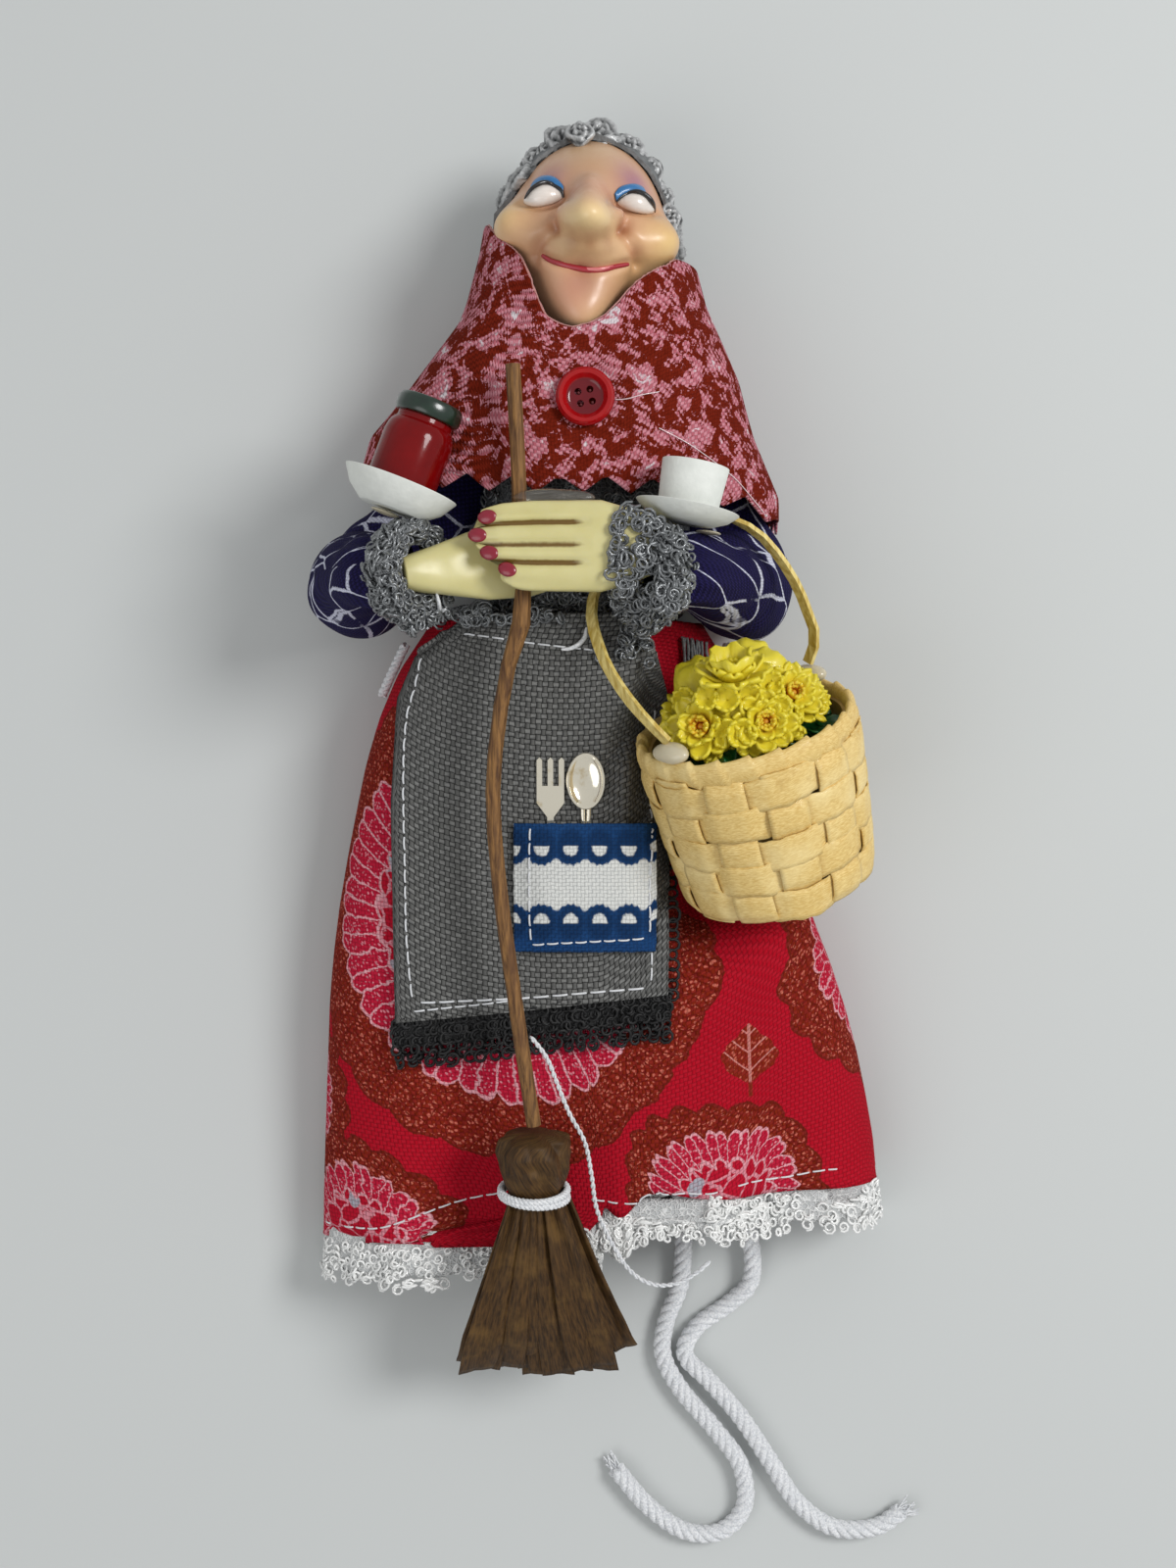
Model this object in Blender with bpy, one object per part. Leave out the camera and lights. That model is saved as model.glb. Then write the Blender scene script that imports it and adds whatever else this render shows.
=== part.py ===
"""An old-woman hanging doll, laid on its back: broom in the folded hands, a basket of flowers on one arm.

The doll lies along Y with its head at +Y. X runs to the viewer's right and Z up from the surface. Left and
right in the names are the doll's own, so the basket hangs on its left arm, at +X.
"""

from math import cos, pi, radians, sin, sqrt

import bmesh
import bpy
from mathutils import Euler, Matrix, Vector

MM = 0.001
GAP = 0.3 * MM
CLOTH = 0.8 * MM
OVERRUN = 2.0 * MM
MERGE = 0.01 * MM

# Where the doll's box stands in the frame that its pieces are drawn in
CENTRE_X = 1.7 * MM
CENTRE_Y = 5.55 * MM

# Levels along the doll, measured from the middle of the waist apron
CROWN_Y = 118.0 * MM
CHIN_Y = 80.0 * MM
SHOULDER_Y = 66.0 * MM
WAIST_Y = 30.0 * MM
HIP_Y = -6.0 * MM
HEM_Y = -80.0 * MM

# Stuffed body
BODY_FLOOR = 2.4 * MM
CHEST_TOP = 31.0 * MM
CHEST_HALF = 19.0 * MM
WAIST_HALF = 25.0 * MM
NECK_POST_RADIUS = 5.0 * MM
NECK_POST_LENGTH = 22.0 * MM
NECK_Z = 19.0 * MM

# Head
HEAD_HALF_WIDTH = 14.6 * MM
HEAD_HALF_HEIGHT = 19.6 * MM
HEAD_HALF_DEPTH = 17.0 * MM
HEAD_Z = 22.4 * MM
HEAD_X = -0.4 * MM
HEAD_TILT = radians(-20)
HEAD_ROLL = radians(-6)
HAIR_THICKNESS = 2.3 * MM
CURL_RADIUS = 2.7 * MM

# Scarf
SCARF_TOP_Y = 102.0 * MM
SCARF_CHIN_GAP = 0.6 * MM
SCARF_HEM_Y = 52.5 * MM
SCARF_TOP = 39.0 * MM
SCARF_FLOOR = 0.0 * MM
SCARF_LEFT = 43.0 * MM
SCARF_RIGHT = 35.0 * MM
SCARF_CORNER_DROP = 4.5 * MM
PINK_DEPTH = 1.9 * MM
PINK_TEETH = 10

# Button
BUTTON_RADIUS = 5.2 * MM
BUTTON_THICKNESS = 2.3 * MM
BUTTON_HOLE_RADIUS = 0.75 * MM
BUTTON_AT = (-0.5 * MM, 67.6 * MM)

# Arms
ELBOW_RADIUS = 9.8 * MM
UPPER_ARM_RADIUS = 7.6 * MM
WRIST_RADIUS = 6.6 * MM
ELBOW_Z = 12.5 * MM
WRIST_Z = 42.0 * MM
WRIST_Y = 37.0 * MM
WRIST_LEAN = radians(35)
ELBOW_Y = 37.5 * MM
RIGHT_ELBOW_X = -41.0 * MM
LEFT_ELBOW_X = 29.0 * MM
RIGHT_WRIST_X = -33.5 * MM
LEFT_WRIST_X = 13.5 * MM
CUFF_LENGTH = 9.0 * MM
CUFF_FLARE = 3.6 * MM
CUFF_RUFFLES = 8

# Hands
HAND_THICKNESS = 6.6 * MM
FINGERTIP_THICKNESS = 4.0 * MM
LEFT_HAND_LENGTH = 30.0 * MM
RIGHT_HAND_LENGTH = 31.0 * MM
HAND_WIDTH = 15.0 * MM
FINGER_GROOVE = 0.9 * MM

# Broom
STICK_RADIUS = 1.3 * MM
STICK_KNOT_RADIUS = 2.0 * MM
KNOB_RADIUS = 6.2 * MM
KNOB_LENGTH = 13.5 * MM
BROOM_DROP = radians(9)
FAN_LENGTH = 34.0 * MM
FAN_HALF_WIDTH = 16.0 * MM
FAN_FALL = 9.0 * MM
STRIP_WIDTH = 6.4 * MM
STRIP_THICKNESS = 1.3 * MM
STRIPS_IN_LAYER = (4, 4, 4)
TIE_RADIUS = 0.9 * MM

# Skirt
SKIRT_WALL = 1.0 * MM
SKIRT_FLOOR = 4.0 * MM
SKIRT_POWER = 3.0
SKIRT_HEM_LEFT = 50.0 * MM
SKIRT_HEM_RIGHT = 55.0 * MM
SKIRT_WAIST_TOP = 32.0 * MM
SKIRT_HEM_TOP = 22.0 * MM
HEM_TILT = 11.0 * MM
FOLD_DEPTH = 2.4 * MM
FOLD_DROP = 1.6 * MM
FOLD_PITCH = 28.0 * MM
FOLD_RIDGE_X = -8.0 * MM
FOLD_START_SHARE = 0.6
HEM_LACE_WIDTH = 9.0 * MM
LACE_LOOP = 1.2 * MM

# Apron
APRON_LEFT = 35.5 * MM
APRON_RIGHT = 14.6 * MM
APRON_TOP_Y = 30.3 * MM
APRON_HEM_Y = -43.5 * MM
APRON_HEM_TILT = 5.5 * MM
APRON_LACE_WIDTH = 7.5 * MM
APRON_CLEAR = 0.9 * MM
BASKET_CLEAR = 1.5 * MM
PRESS_STEP = 1.7 * MM
SKIRT_STEPS = 2.2

# Pocket and cutlery
POCKET_WIDTH = 25.4 * MM
POCKET_DEPTH = 23.0 * MM
POCKET_X = -0.5 * MM
POCKET_TOP_Y = -7.0 * MM
POCKET_ROOM = 1.6 * MM
CUTLERY_THICKNESS = 0.8 * MM
CUTLERY_LENGTH = 25.5 * MM
FORK_X = -6.7 * MM
SPOON_X = -0.4 * MM
FORK_WIDTH = 4.9 * MM
SPOON_WIDTH = 7.0 * MM
CUTLERY_HANDLE_WIDTH = 1.9 * MM
FORK_TOP_Y = 4.8 * MM
SPOON_TOP_Y = 5.6 * MM

# Basket
RIM_RADIUS = 19.6 * MM
BASKET_BASE_RADIUS = 16.4 * MM
BASKET_DEPTH = 32.0 * MM
BASKET_WALL = 1.5 * MM
BASKET_RIM_AT = (27.6 * MM, 11.0 * MM, 36.0 * MM)
BASKET_AXIS = (-0.232, 0.904, 0.358)
BASKET_TURN = (0.717, 0.408, -0.565)
WEAVE_RELIEF = 0.45 * MM
WEAVE_ROWS = 5
STAKES = 12
HANDLE_WIDTH = 2.0 * MM
HANDLE_THICKNESS = 0.8 * MM
GLUE_RADIUS = 3.4 * MM
GLUE_HEIGHT = 1.5 * MM

# Dish, jar, saucer and cup
DISH_RADIUS = 10.3 * MM
DISH_DEPTH = 5.0 * MM
DISH_WALL = 1.0 * MM
DISH_LEAN = radians(-21)
DISH_OVER_WRIST = (-0.6 * MM, 3.8 * MM, 1.0 * MM)
JAR_RADIUS = 6.0 * MM
JAR_HEIGHT = 14.0 * MM
LID_RADIUS = 5.6 * MM
LID_HEIGHT = 3.3 * MM
SAUCER_RADIUS = 9.2 * MM
SAUCER_DEPTH = 2.6 * MM
CUP_RADIUS = 5.9 * MM
CUP_HEIGHT = 9.0 * MM
CUP_WALL = 0.9 * MM
CUP_LEAN = radians(-11)
SAUCER_OVER_WRIST = (3.2 * MM, 1.62 * MM, 2.2 * MM)

# Set glue: half sizes, and places on the dish's and saucer's undersides
HAND_GLUE_AT = (-6.0 * MM, 49.3 * MM, 44.5 * MM)
HAND_GLUE_SIZE = (4.4 * MM, 1.0 * MM, 1.6 * MM)
DISH_GLUE_AT = (-0.8 * MM, 0.0 * MM)
DISH_GLUE_SIZE = (2.8 * MM, 2.4 * MM, 0.45 * MM)
SAUCER_GLUE_AT = (4.4 * MM, 3.0 * MM)
SAUCER_GLUE_SIZE = (1.6 * MM, 2.0 * MM, 0.35 * MM)

# Cords: leg cords of yarn and the broom's twisted thread
YARN_RADIUS = 1.8 * MM
THREAD_RADIUS = 0.45 * MM
WAIST_TIE_RADIUS = 0.9 * MM
WAIST_TIE_DROP = 10.0 * MM
WAIST_TIE_OUT = 2.6 * MM
WAIST_TIE_Z = 12.0 * MM


def clear_scene():
    for thing in list(bpy.data.objects):
        bpy.data.objects.remove(thing, do_unlink=True)


def material(name, colour, roughness, metallic=0.0):
    made = bpy.data.materials.new(name)
    made.use_nodes = True
    shader = made.node_tree.nodes["Principled BSDF"]
    shader.inputs["Base Color"].default_value = (*colour, 1.0)
    shader.inputs["Roughness"].default_value = roughness
    shader.inputs["Metallic"].default_value = metallic
    return made


def empty(name, parent, at=(0.0, 0.0, 0.0), turn=None):
    made = bpy.data.objects.new(name, None)
    bpy.context.collection.objects.link(made)
    made.parent = parent
    made.location = at
    if turn is not None:
        made.rotation_mode = "QUATERNION"
        made.rotation_quaternion = turn
    return made


def add(name, mesh, look, parent, smooth=40.0):
    """One named node from a finished mesh, with its material and parent."""
    made = bpy.data.objects.new(name, mesh)
    bpy.context.collection.objects.link(made)
    made.parent = parent
    mesh.materials.append(look)
    mesh.shade_smooth()
    mesh.set_sharp_from_angle(angle=radians(smooth))
    return made


def finish(name, build, outward=True):
    """The mesh of a bmesh, its faces pointing out."""
    if outward:
        bmesh.ops.recalc_face_normals(build, faces=build.faces)
    mesh = bpy.data.meshes.new(name)
    build.to_mesh(mesh)
    build.free()
    return mesh


def loft(rings, closed=True, caps=True):
    """Faces from ring to ring: closed rings make a tube with end caps, open ones a sheet."""
    build = bmesh.new()
    rows = [[build.verts.new(point) for point in ring] for ring in rings]
    steps = len(rows[0]) if closed else len(rows[0]) - 1
    for upper, lower in zip(rows, rows[1:]):
        for i in range(steps):
            j = (i + 1) % len(upper)
            build.faces.new((upper[i], upper[j], lower[j], lower[i]))
    if closed and caps:
        build.faces.new(rows[0])
        build.faces.new(rows[-1])
    return build


def thicken(thing, thickness, offset=-1.0):
    solid = thing.modifiers.new("cloth", "SOLIDIFY")
    solid.thickness = thickness
    solid.offset = offset
    solid.use_rim = True
    solid.use_even_offset = True
    return solid


def turned(profile, steps):
    """A solid of revolution round Z from a profile of (radius, height) points that ends on the axis."""
    build = bmesh.new()
    verts = [build.verts.new((radius, 0.0, height)) for radius, height in profile]
    for first, second in zip(verts, verts[1:]):
        build.edges.new((first, second))
    bmesh.ops.spin(
        build, geom=build.verts[:] + build.edges[:], cent=(0, 0, 0), axis=(0, 0, 1), dvec=(0, 0, 0),
        angle=2 * pi, steps=steps, use_merge=True,
    )
    bmesh.ops.remove_doubles(build, verts=build.verts, dist=MERGE)
    return build


def cut(thing, cutter):
    """Cuts a hidden tool's shape out of a piece."""
    change = thing.modifiers.new("cut", "BOOLEAN")
    change.operation = "DIFFERENCE"
    change.solver = "EXACT"
    change.object = cutter
    cutter.hide_render = True
    cutter.display_type = "WIRE"


def smooth_path(route, steps):
    """Points of a Catmull-Rom curve through the route's own points, evenly spaced."""
    knots = [2 * route[0] - route[1], *route, 2 * route[-1] - route[-2]]
    dense = []
    for i in range(1, len(knots) - 2):
        before, start, end, after = knots[i - 1 : i + 3]
        for k in range(24):
            t = k / 24
            dense.append(
                0.5 * (2 * start + (end - before) * t + (2 * before - 5 * start + 4 * end - after) * t * t
                       + (3 * start - before - 3 * end + after) * t * t * t)
            )
    dense.append(route[-1].copy())
    lengths = [0.0]
    for first, second in zip(dense, dense[1:]):
        lengths.append(lengths[-1] + (second - first).length)
    points = []
    place = 0
    for k in range(steps + 1):
        goal = lengths[-1] * k / steps
        while place < len(dense) - 2 and lengths[place + 1] < goal:
            place += 1
        span = lengths[place + 1] - lengths[place]
        points.append(dense[place].lerp(dense[place + 1], (goal - lengths[place]) / span))
    return points, lengths[-1]


def tube(name, points, radius, look, parent, sides=2, swell=None):
    """A bevelled curve through the points, with filled ends; swell scales the radius point by point."""
    curve = bpy.data.curves.new(name, "CURVE")
    curve.dimensions = "3D"
    curve.bevel_depth = radius
    curve.bevel_resolution = sides
    curve.use_fill_caps = True
    line = curve.splines.new("POLY")
    line.points.add(len(points) - 1)
    for i, point in enumerate(points):
        line.points[i].co = (*point, 1.0)
        line.points[i].radius = 1.0 if swell is None else swell[i]
    made = bpy.data.objects.new(name, curve)
    bpy.context.collection.objects.link(made)
    made.parent = parent
    curve.materials.append(look)
    return made


def swept(points, radii, sides):
    """A closed round tube through the points, its rings carried along without twist."""
    way = (points[1] - points[0]).normalized()
    side = way.orthogonal().normalized()
    rings = []
    for i, point in enumerate(points):
        new_way = (points[min(i + 1, len(points) - 1)] - points[max(i - 1, 0)]).normalized()
        side = way.rotation_difference(new_way) @ side
        way = new_way
        other = way.cross(side)
        rings.append([
            point + (side * cos(2 * pi * k / sides) + other * sin(2 * pi * k / sides)) * radii[i]
            for k in range(sides)
        ])
    return loft(rings)


def between(shares, at):
    """The value at a place along a list of (place, value) shares, eased from one to the next."""
    for (start, first), (end, last) in zip(shares, shares[1:]):
        if at <= end:
            return first + (last - first) * max(0.0, at - start) / (end - start)
    return shares[-1][1]


def rounded(angle, power):
    """The unit superellipse's point at an angle: power 2 is a circle, and more is squarer."""
    c, s = cos(angle), sin(angle)
    x = abs(c) ** (2 / power) * (1 if c >= 0 else -1)
    z = abs(s) ** (2 / power) * (1 if s >= 0 else -1)
    return x, z


def arch(x, left, right, low, top, power):
    """The height of a squarish arch over x, which stands on low at both sides."""
    middle = (left + right) / 2
    reach = min(1.0, abs(x - middle) / ((right - left) / 2))
    return low + (top - low) * (1 - reach**power) ** (1 / power)


# Head and hair

FEATURES = (
    # where it points, its reach in radians, its height
    ((0.87, -0.20, 0.45), 0.36, 3.2 * MM),
    ((-0.87, -0.20, 0.45), 0.36, 3.2 * MM),
    ((0.45, -0.42, 0.78), 0.26, 1.6 * MM),
    ((-0.45, -0.42, 0.78), 0.26, 1.6 * MM),
    ((0.02, -0.40, 0.92), 0.20, 5.8 * MM),
    ((0.01, -0.20, 0.97), 0.19, 3.2 * MM),
    ((0.15, -0.40, 0.90), 0.12, 1.6 * MM),
    ((-0.13, -0.40, 0.90), 0.12, 1.6 * MM),
    ((0.0, -0.90, 0.42), 0.50, 3.0 * MM),
    ((0.0, -0.68, 0.72), 0.13, -1.0 * MM),
    ((0.34, -0.08, 0.93), 0.17, -1.2 * MM),
    ((-0.34, -0.08, 0.93), 0.17, -1.2 * MM),
    ((0.0, 0.25, 0.95), 0.40, 0.8 * MM),
)


def head_point(direction):
    """The head's surface in a direction from its centre: an egg with the face's forms added."""
    way = Vector(direction).normalized()
    wide = HEAD_HALF_WIDTH * (1 - 0.20 * max(0.0, -way.y - 0.15))
    radius = 1 / sqrt(
        (way.x / wide) ** 2 + (way.y / HEAD_HALF_HEIGHT) ** 2 + (way.z / HEAD_HALF_DEPTH) ** 2
    )
    for toward, reach, height in FEATURES:
        apart = way.angle(Vector(toward))
        radius += height * 2.718 ** (-((apart / reach) ** 2))
    return way * radius


def head(frame, looks):
    rings = []
    rows, around = 20, 22
    for i in range(1, rows):
        polar = pi * i / rows
        rings.append(
            [head_point((sin(polar) * cos(2 * pi * k / around), cos(polar), sin(polar) * sin(2 * pi * k / around)))
             for k in range(around)]
        )
    build = loft(rings, caps=False)
    build.verts.ensure_lookup_table()
    for ring, way in ((build.verts[:around], (0, 1, 0)), (build.verts[-around:], (0, -1, 0))):
        pole = build.verts.new(head_point(way))
        for k in range(around):
            build.faces.new((ring[k], ring[(k + 1) % around], pole))
    return add("head", finish("head", build), looks["skin"], frame)


def curl_relief(way, radius):
    """How far the moulded curls stand out: round heads on a spiral lattice over the scalp."""
    best = 9.0
    for k in range(70):
        height = 1 - 2 * (k + 0.5) / 70
        turn = k * pi * (3 - sqrt(5))
        flat = sqrt(1 - height * height)
        best = min(best, way.angle(Vector((flat * cos(turn), height, flat * sin(turn)))))
    share = min(1.0, best * radius / CURL_RADIUS)
    return sqrt(1 - share * share)


def hair(frame, looks):
    """A cap over the top, sides and back of the head, with a crop of moulded curls."""
    pole = Vector((0.0, 0.55, -0.83)).normalized()
    side = Vector((1.0, 0.0, 0.0))
    other = pole.cross(side)
    rows, around = 8, 26
    inner, outer = [], []
    for i in range(1, rows + 1):
        inside, outside = [], []
        for k in range(around):
            turn = 2 * pi * k / around
            polar = radians(93 - 48 * max(0.0, sin(turn))) * i / rows
            way = pole * cos(polar) + (side * cos(turn) + other * sin(turn)) * sin(polar)
            base = head_point(way).length
            inside.append(way * (base + 1.5 * GAP))
            outside.append(way * (base + GAP + HAIR_THICKNESS * (0.35 + 0.65 * curl_relief(way, base))))
        inner.append(inside)
        outer.append(outside)
    build = loft([*outer, *reversed(inner)], caps=False)
    build.verts.ensure_lookup_table()
    count = len(build.verts)
    lengths = (head_point(pole).length + GAP + HAIR_THICKNESS, head_point(pole).length + GAP)
    for ring, length in ((build.verts[:around], lengths[0]), (build.verts[count - around : count], lengths[1])):
        tip = build.verts.new(pole * length)
        for k in range(around):
            build.faces.new((ring[k], ring[(k + 1) % around], tip))
    return add("hair", finish("hair", build), looks["hair"], frame)


# Stuffed body

def body_ring(y, left, right, floor, top, count=28, power=2.4):
    ring = []
    middle, half = (left + right) / 2, (right - left) / 2
    for k in range(count):
        x, z = rounded(2 * pi * k / count, power)
        ring.append(Vector((middle + half * x, y, (floor + top) / 2 + (top - floor) / 2 * z)))
    return ring


def chest_rings(grow):
    length = CHIN_Y - SCARF_CHIN_GAP - WAIST_Y - GAP
    shares = (
        # along, half width, floor and top as shares
        (0.00, 0.50, 0.30, 0.80), (0.05, 0.72, 0.18, 0.87), (0.16, 0.94, 0.06, 0.96), (0.32, 1.0, 0.0, 1.0),
        (0.55, 1.0, 0.0, 1.0), (0.80, 0.99, 0.0, 0.98), (1.00, 0.97, 0.0, 0.93),
    )
    rings = [
        body_ring(
            CHIN_Y - SCARF_CHIN_GAP - OVERRUN - (length - OVERRUN) * along, -CHEST_HALF * half - grow,
            CHEST_HALF * half + grow, BODY_FLOOR + CHEST_TOP * floor - grow, CHEST_TOP * top + grow,
        )
        for along, half, floor, top in shares
    ]
    return rings


def bodice(frame, looks):
    """The stuffed chest, from the neck down to the waist, with a socket for the neck post."""
    made = add("bodice", finish("bodice", loft(chest_rings(0.0))), looks["dark_lace"], frame)
    socket = bmesh.new()
    bmesh.ops.create_cone(
        socket, cap_ends=True, segments=20, radius1=NECK_POST_RADIUS + GAP, radius2=NECK_POST_RADIUS + GAP,
        depth=NECK_POST_LENGTH + 2 * GAP,
        matrix=Matrix.Translation((HEAD_X, CHIN_Y, NECK_Z)) @ Matrix.Rotation(pi / 2, 4, "X"),
    )
    tool = add("neck_socket", finish("neck_socket", socket), looks["wood"], frame)
    cut(made, tool)
    room = add("arm_room", finish("arm_room", loft(chest_rings(GAP))), looks["dark_lace"], frame)
    return made, tool, room


def neck_post(frame, looks):
    build = bmesh.new()
    bmesh.ops.create_cone(
        build, cap_ends=True, segments=20, radius1=NECK_POST_RADIUS, radius2=NECK_POST_RADIUS,
        depth=NECK_POST_LENGTH,
        matrix=Matrix.Translation((HEAD_X, CHIN_Y, NECK_Z)) @ Matrix.Rotation(pi / 2, 4, "X"),
    )
    return add("neck_post", finish("neck_post", build), looks["skin"], frame)


# Skirt and what lies on it

SKIRT_LEFT_SHARES = (
    (0.0, 0.58), (0.06, 0.68), (0.15, 0.77), (0.24, 0.83), (0.37, 0.89), (0.50, 0.94), (0.62, 0.97), (1.0, 1.0),
)
SKIRT_RIGHT_SHARES = (
    (0.0, 0.38), (0.06, 0.46), (0.12, 0.54), (0.45, 0.73), (0.52, 0.78), (0.62, 0.86), (0.75, 0.93),
    (0.87, 0.975), (1.0, 1.0),
)


def skirt_sizes(y):
    """Left edge, right edge and front height of the skirt at a level."""
    share = min(1.0, max(0.0, (WAIST_Y - y) / (WAIST_Y - HEM_Y)))
    left = -SKIRT_HEM_LEFT * between(SKIRT_LEFT_SHARES, share)
    right = SKIRT_HEM_RIGHT * between(SKIRT_RIGHT_SHARES, share)
    top = SKIRT_WAIST_TOP + (SKIRT_HEM_TOP - SKIRT_WAIST_TOP) * share
    return left, right, top


def basket_under(x, y, spare):
    """The lowest height that the lying basket reaches over a place, or None beside it."""
    axis = Vector(BASKET_AXIS).normalized()
    rim = Vector(BASKET_RIM_AT)
    flat = Vector((x - rim.x, y - rim.y, 0.0))
    along = flat.dot(axis)
    radius = RIM_RADIUS + WEAVE_RELIEF + spare
    height = None
    for _ in range(2):
        a = 1 - axis.z * axis.z
        b = -2 * axis.z * along
        c = flat.length_squared - along * along - radius * radius
        root = b * b - 4 * a * c
        if root <= 0:
            return None
        height = (-b - sqrt(root)) / (2 * a)
        share = (along + height * axis.z) / -BASKET_DEPTH
        narrow = (RIM_RADIUS - BASKET_BASE_RADIUS) * min(1.0, max(0.0, share))
        radius = RIM_RADIUS + WEAVE_RELIEF + spare - narrow
    beyond = max(0.0, share - 1.0 - spare / BASKET_DEPTH, -share - spare / BASKET_DEPTH)
    return rim.z + height + BASKET_DEPTH * 2.2 * beyond


def pressed(x, y, z, spare):
    """A cloth's height where the basket lies on it."""
    under = basket_under(x, y, spare)
    return z if under is None else min(z, under)


def fold(x):
    """The folds' wave across the skirt: 1 on a ridge, -1 in a valley."""
    return cos(2 * pi * (x - FOLD_RIDGE_X) / FOLD_PITCH)


def skirt_top(x, y):
    """The height of the skirt's front over a place."""
    left, right, top = skirt_sizes(y)
    return arch(x, left, right, SKIRT_FLOOR, top, SKIRT_POWER)


def skirt(frame, looks):
    rings = []
    rows, around = 13, 40
    for i in range(rows + 1):
        share = i / rows
        ring = []
        for k in range(around):
            turn = 2 * pi * k / around
            flat_x, flat_z = rounded(turn, SKIRT_POWER)
            tilt = HEM_TILT * 0.5 * flat_x
            front = max(0.0, sin(turn))
            wave = fold((SKIRT_HEM_LEFT + SKIRT_HEM_RIGHT) / 2 * flat_x)
            y = WAIST_Y + (HEM_Y + tilt - FOLD_DROP * wave * front - WAIST_Y) * share
            left, right, top = skirt_sizes(y)
            x = (left + right) / 2 + (right - left) / 2 * flat_x
            low = SKIRT_FLOOR
            if flat_z >= 0:
                z = low + (top - low) * flat_z
                z += FOLD_DEPTH * wave * front * max(0.0, share - FOLD_START_SHARE) / (1 - FOLD_START_SHARE)
                z = pressed(x, y, z, BASKET_CLEAR + SKIRT_STEPS * PRESS_STEP)
                z = max(z, low)
            else:
                z = max(0.0, low + (low + 0.5 * SKIRT_WALL) * flat_z)
            ring.append(Vector((x, y, z)))
        rings.append(ring)
    made = add("skirt", finish("skirt", loft(rings, caps=False), outward=False), looks["skirt"], frame)
    thicken(made, SKIRT_WALL)
    return made


def skirt_room(frame, looks):
    """The skirt's waist with a gap round it, which the sleeves are cut by."""
    rings = []
    for share in (0.0, 0.04, 0.08, 0.14):
        y = WAIST_Y + GAP + (HEM_Y - WAIST_Y) * share
        left, right, top = skirt_sizes(y)
        rings.append([
            Vector(((left + right) / 2 + ((right - left) / 2 + 2 * GAP) * x, y,
                    max(-OVERRUN, SKIRT_FLOOR + (top - SKIRT_FLOOR + 2 * GAP) * z)))
            for x, z in (rounded(2 * pi * k / 32, SKIRT_POWER) for k in range(32))
        ])
    return add("skirt_room", finish("skirt_room", loft(rings)), looks["skirt"], frame)


def hips(frame, looks):
    """The stuffed body's end inside the skirt's waist."""
    rings = []
    inset = SKIRT_WALL + GAP * 3
    for share in (0.0, 0.2, 0.45, 0.7, 0.9, 1.0):
        y = WAIST_Y - GAP + (HIP_Y - WAIST_Y) * share
        left, right, top = skirt_sizes(y)
        taper = 1 - 0.35 * max(0.0, share - 0.7) / 0.3
        low, high = SKIRT_WALL + inset, (top * 0.93 - inset) * (1 - 0.2 * (1 - taper))
        ring = body_ring(
            y, max(left + inset * 3, -WAIST_HALF) * taper, min(right - inset * 3, WAIST_HALF) * taper, low, high,
        )
        for point in ring:
            limit = pressed(point.x, y, high, BASKET_CLEAR + SKIRT_STEPS * PRESS_STEP + inset * 2)
            point.z = low + (point.z - low) * (limit - low) / (high - low)
        rings.append(ring)
    return add("hips", finish("hips", loft(rings)), looks["dark_cloth"], frame)


def hem_lace(frame, looks):
    """A gathered lace band that carries on below the skirt's hem all the way round."""
    rings = []
    around = 52
    for row in range(3):
        ring = []
        for k in range(around):
            turn = 2 * pi * k / around
            flat_x, flat_z = rounded(turn, SKIRT_POWER)
            tilt = HEM_TILT * 0.5 * flat_x
            front = max(0.0, sin(turn))
            wave = fold((SKIRT_HEM_LEFT + SKIRT_HEM_RIGHT) / 2 * flat_x)
            loops = LACE_LOOP * cos(pi * k) * 0.5
            y = HEM_Y + tilt - FOLD_DROP * wave * front - 2 * GAP - HEM_LACE_WIDTH * row / 2
            y += loops if row == 2 else 0.0
            left, right, top = skirt_sizes(HEM_Y)
            x = (left + right) / 2 + (right - left) / 2 * flat_x
            low = SKIRT_FLOOR
            if flat_z >= 0:
                z = low + (top - low) * flat_z + FOLD_DEPTH * wave * front
                z = max(z, low)
            else:
                z = max(GAP, low + (low + 0.5 * SKIRT_WALL) * flat_z)
            ring.append(Vector((x, y, z)))
        rings.append(ring)
    made = add("hem_lace", finish("hem_lace", loft(rings, caps=False), outward=False), looks["white_lace"], frame)
    thicken(made, CLOTH)
    return made


def apron_height(x, y):
    """The apron's underside: it lies on the skirt and goes down with it under the basket."""
    return pressed(x, y, skirt_top(x, y) + APRON_CLEAR, BASKET_CLEAR + PRESS_STEP)


def cloth_sheet(name, columns, rows, place, look, parent, thickness):
    """A sheet whose place(u, v) gives its underside for shares across and along, thickened upward."""
    rings = []
    for i in range(rows + 1):
        rings.append([place(k / columns, i / rows) for k in range(columns + 1)])
    build = loft(rings, closed=False)
    made = add(name, finish(name, build, outward=False), look, parent)
    thicken(made, thickness, 1.0)
    return made


def apron_edge(v, u):
    """The y of a place on the apron: v down the apron, u from its left edge to its right."""
    bottom = APRON_HEM_Y + APRON_HEM_TILT * u
    return APRON_TOP_Y + (bottom - APRON_TOP_Y) * v


APRON_LEFT_SHARES = ((0.0, 0.60), (0.08, 0.86), (0.2, 0.97), (0.45, 1.0), (1.0, 0.985))
APRON_RIGHT_SHARES = ((0.0, 0.42), (0.08, 0.80), (0.2, 1.0), (0.45, 1.0), (1.0, 0.99))


def apron(frame, looks):
    def place(u, v):
        left = -APRON_LEFT * between(APRON_LEFT_SHARES, v)
        right = APRON_RIGHT * between(APRON_RIGHT_SHARES, v)
        x = right + (left - right) * u
        y = apron_edge(v, 1 - u)
        return Vector((x, y, apron_height(x, y)))

    return cloth_sheet("apron", 12, 10, place, looks["apron"], frame, CLOTH)


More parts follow.
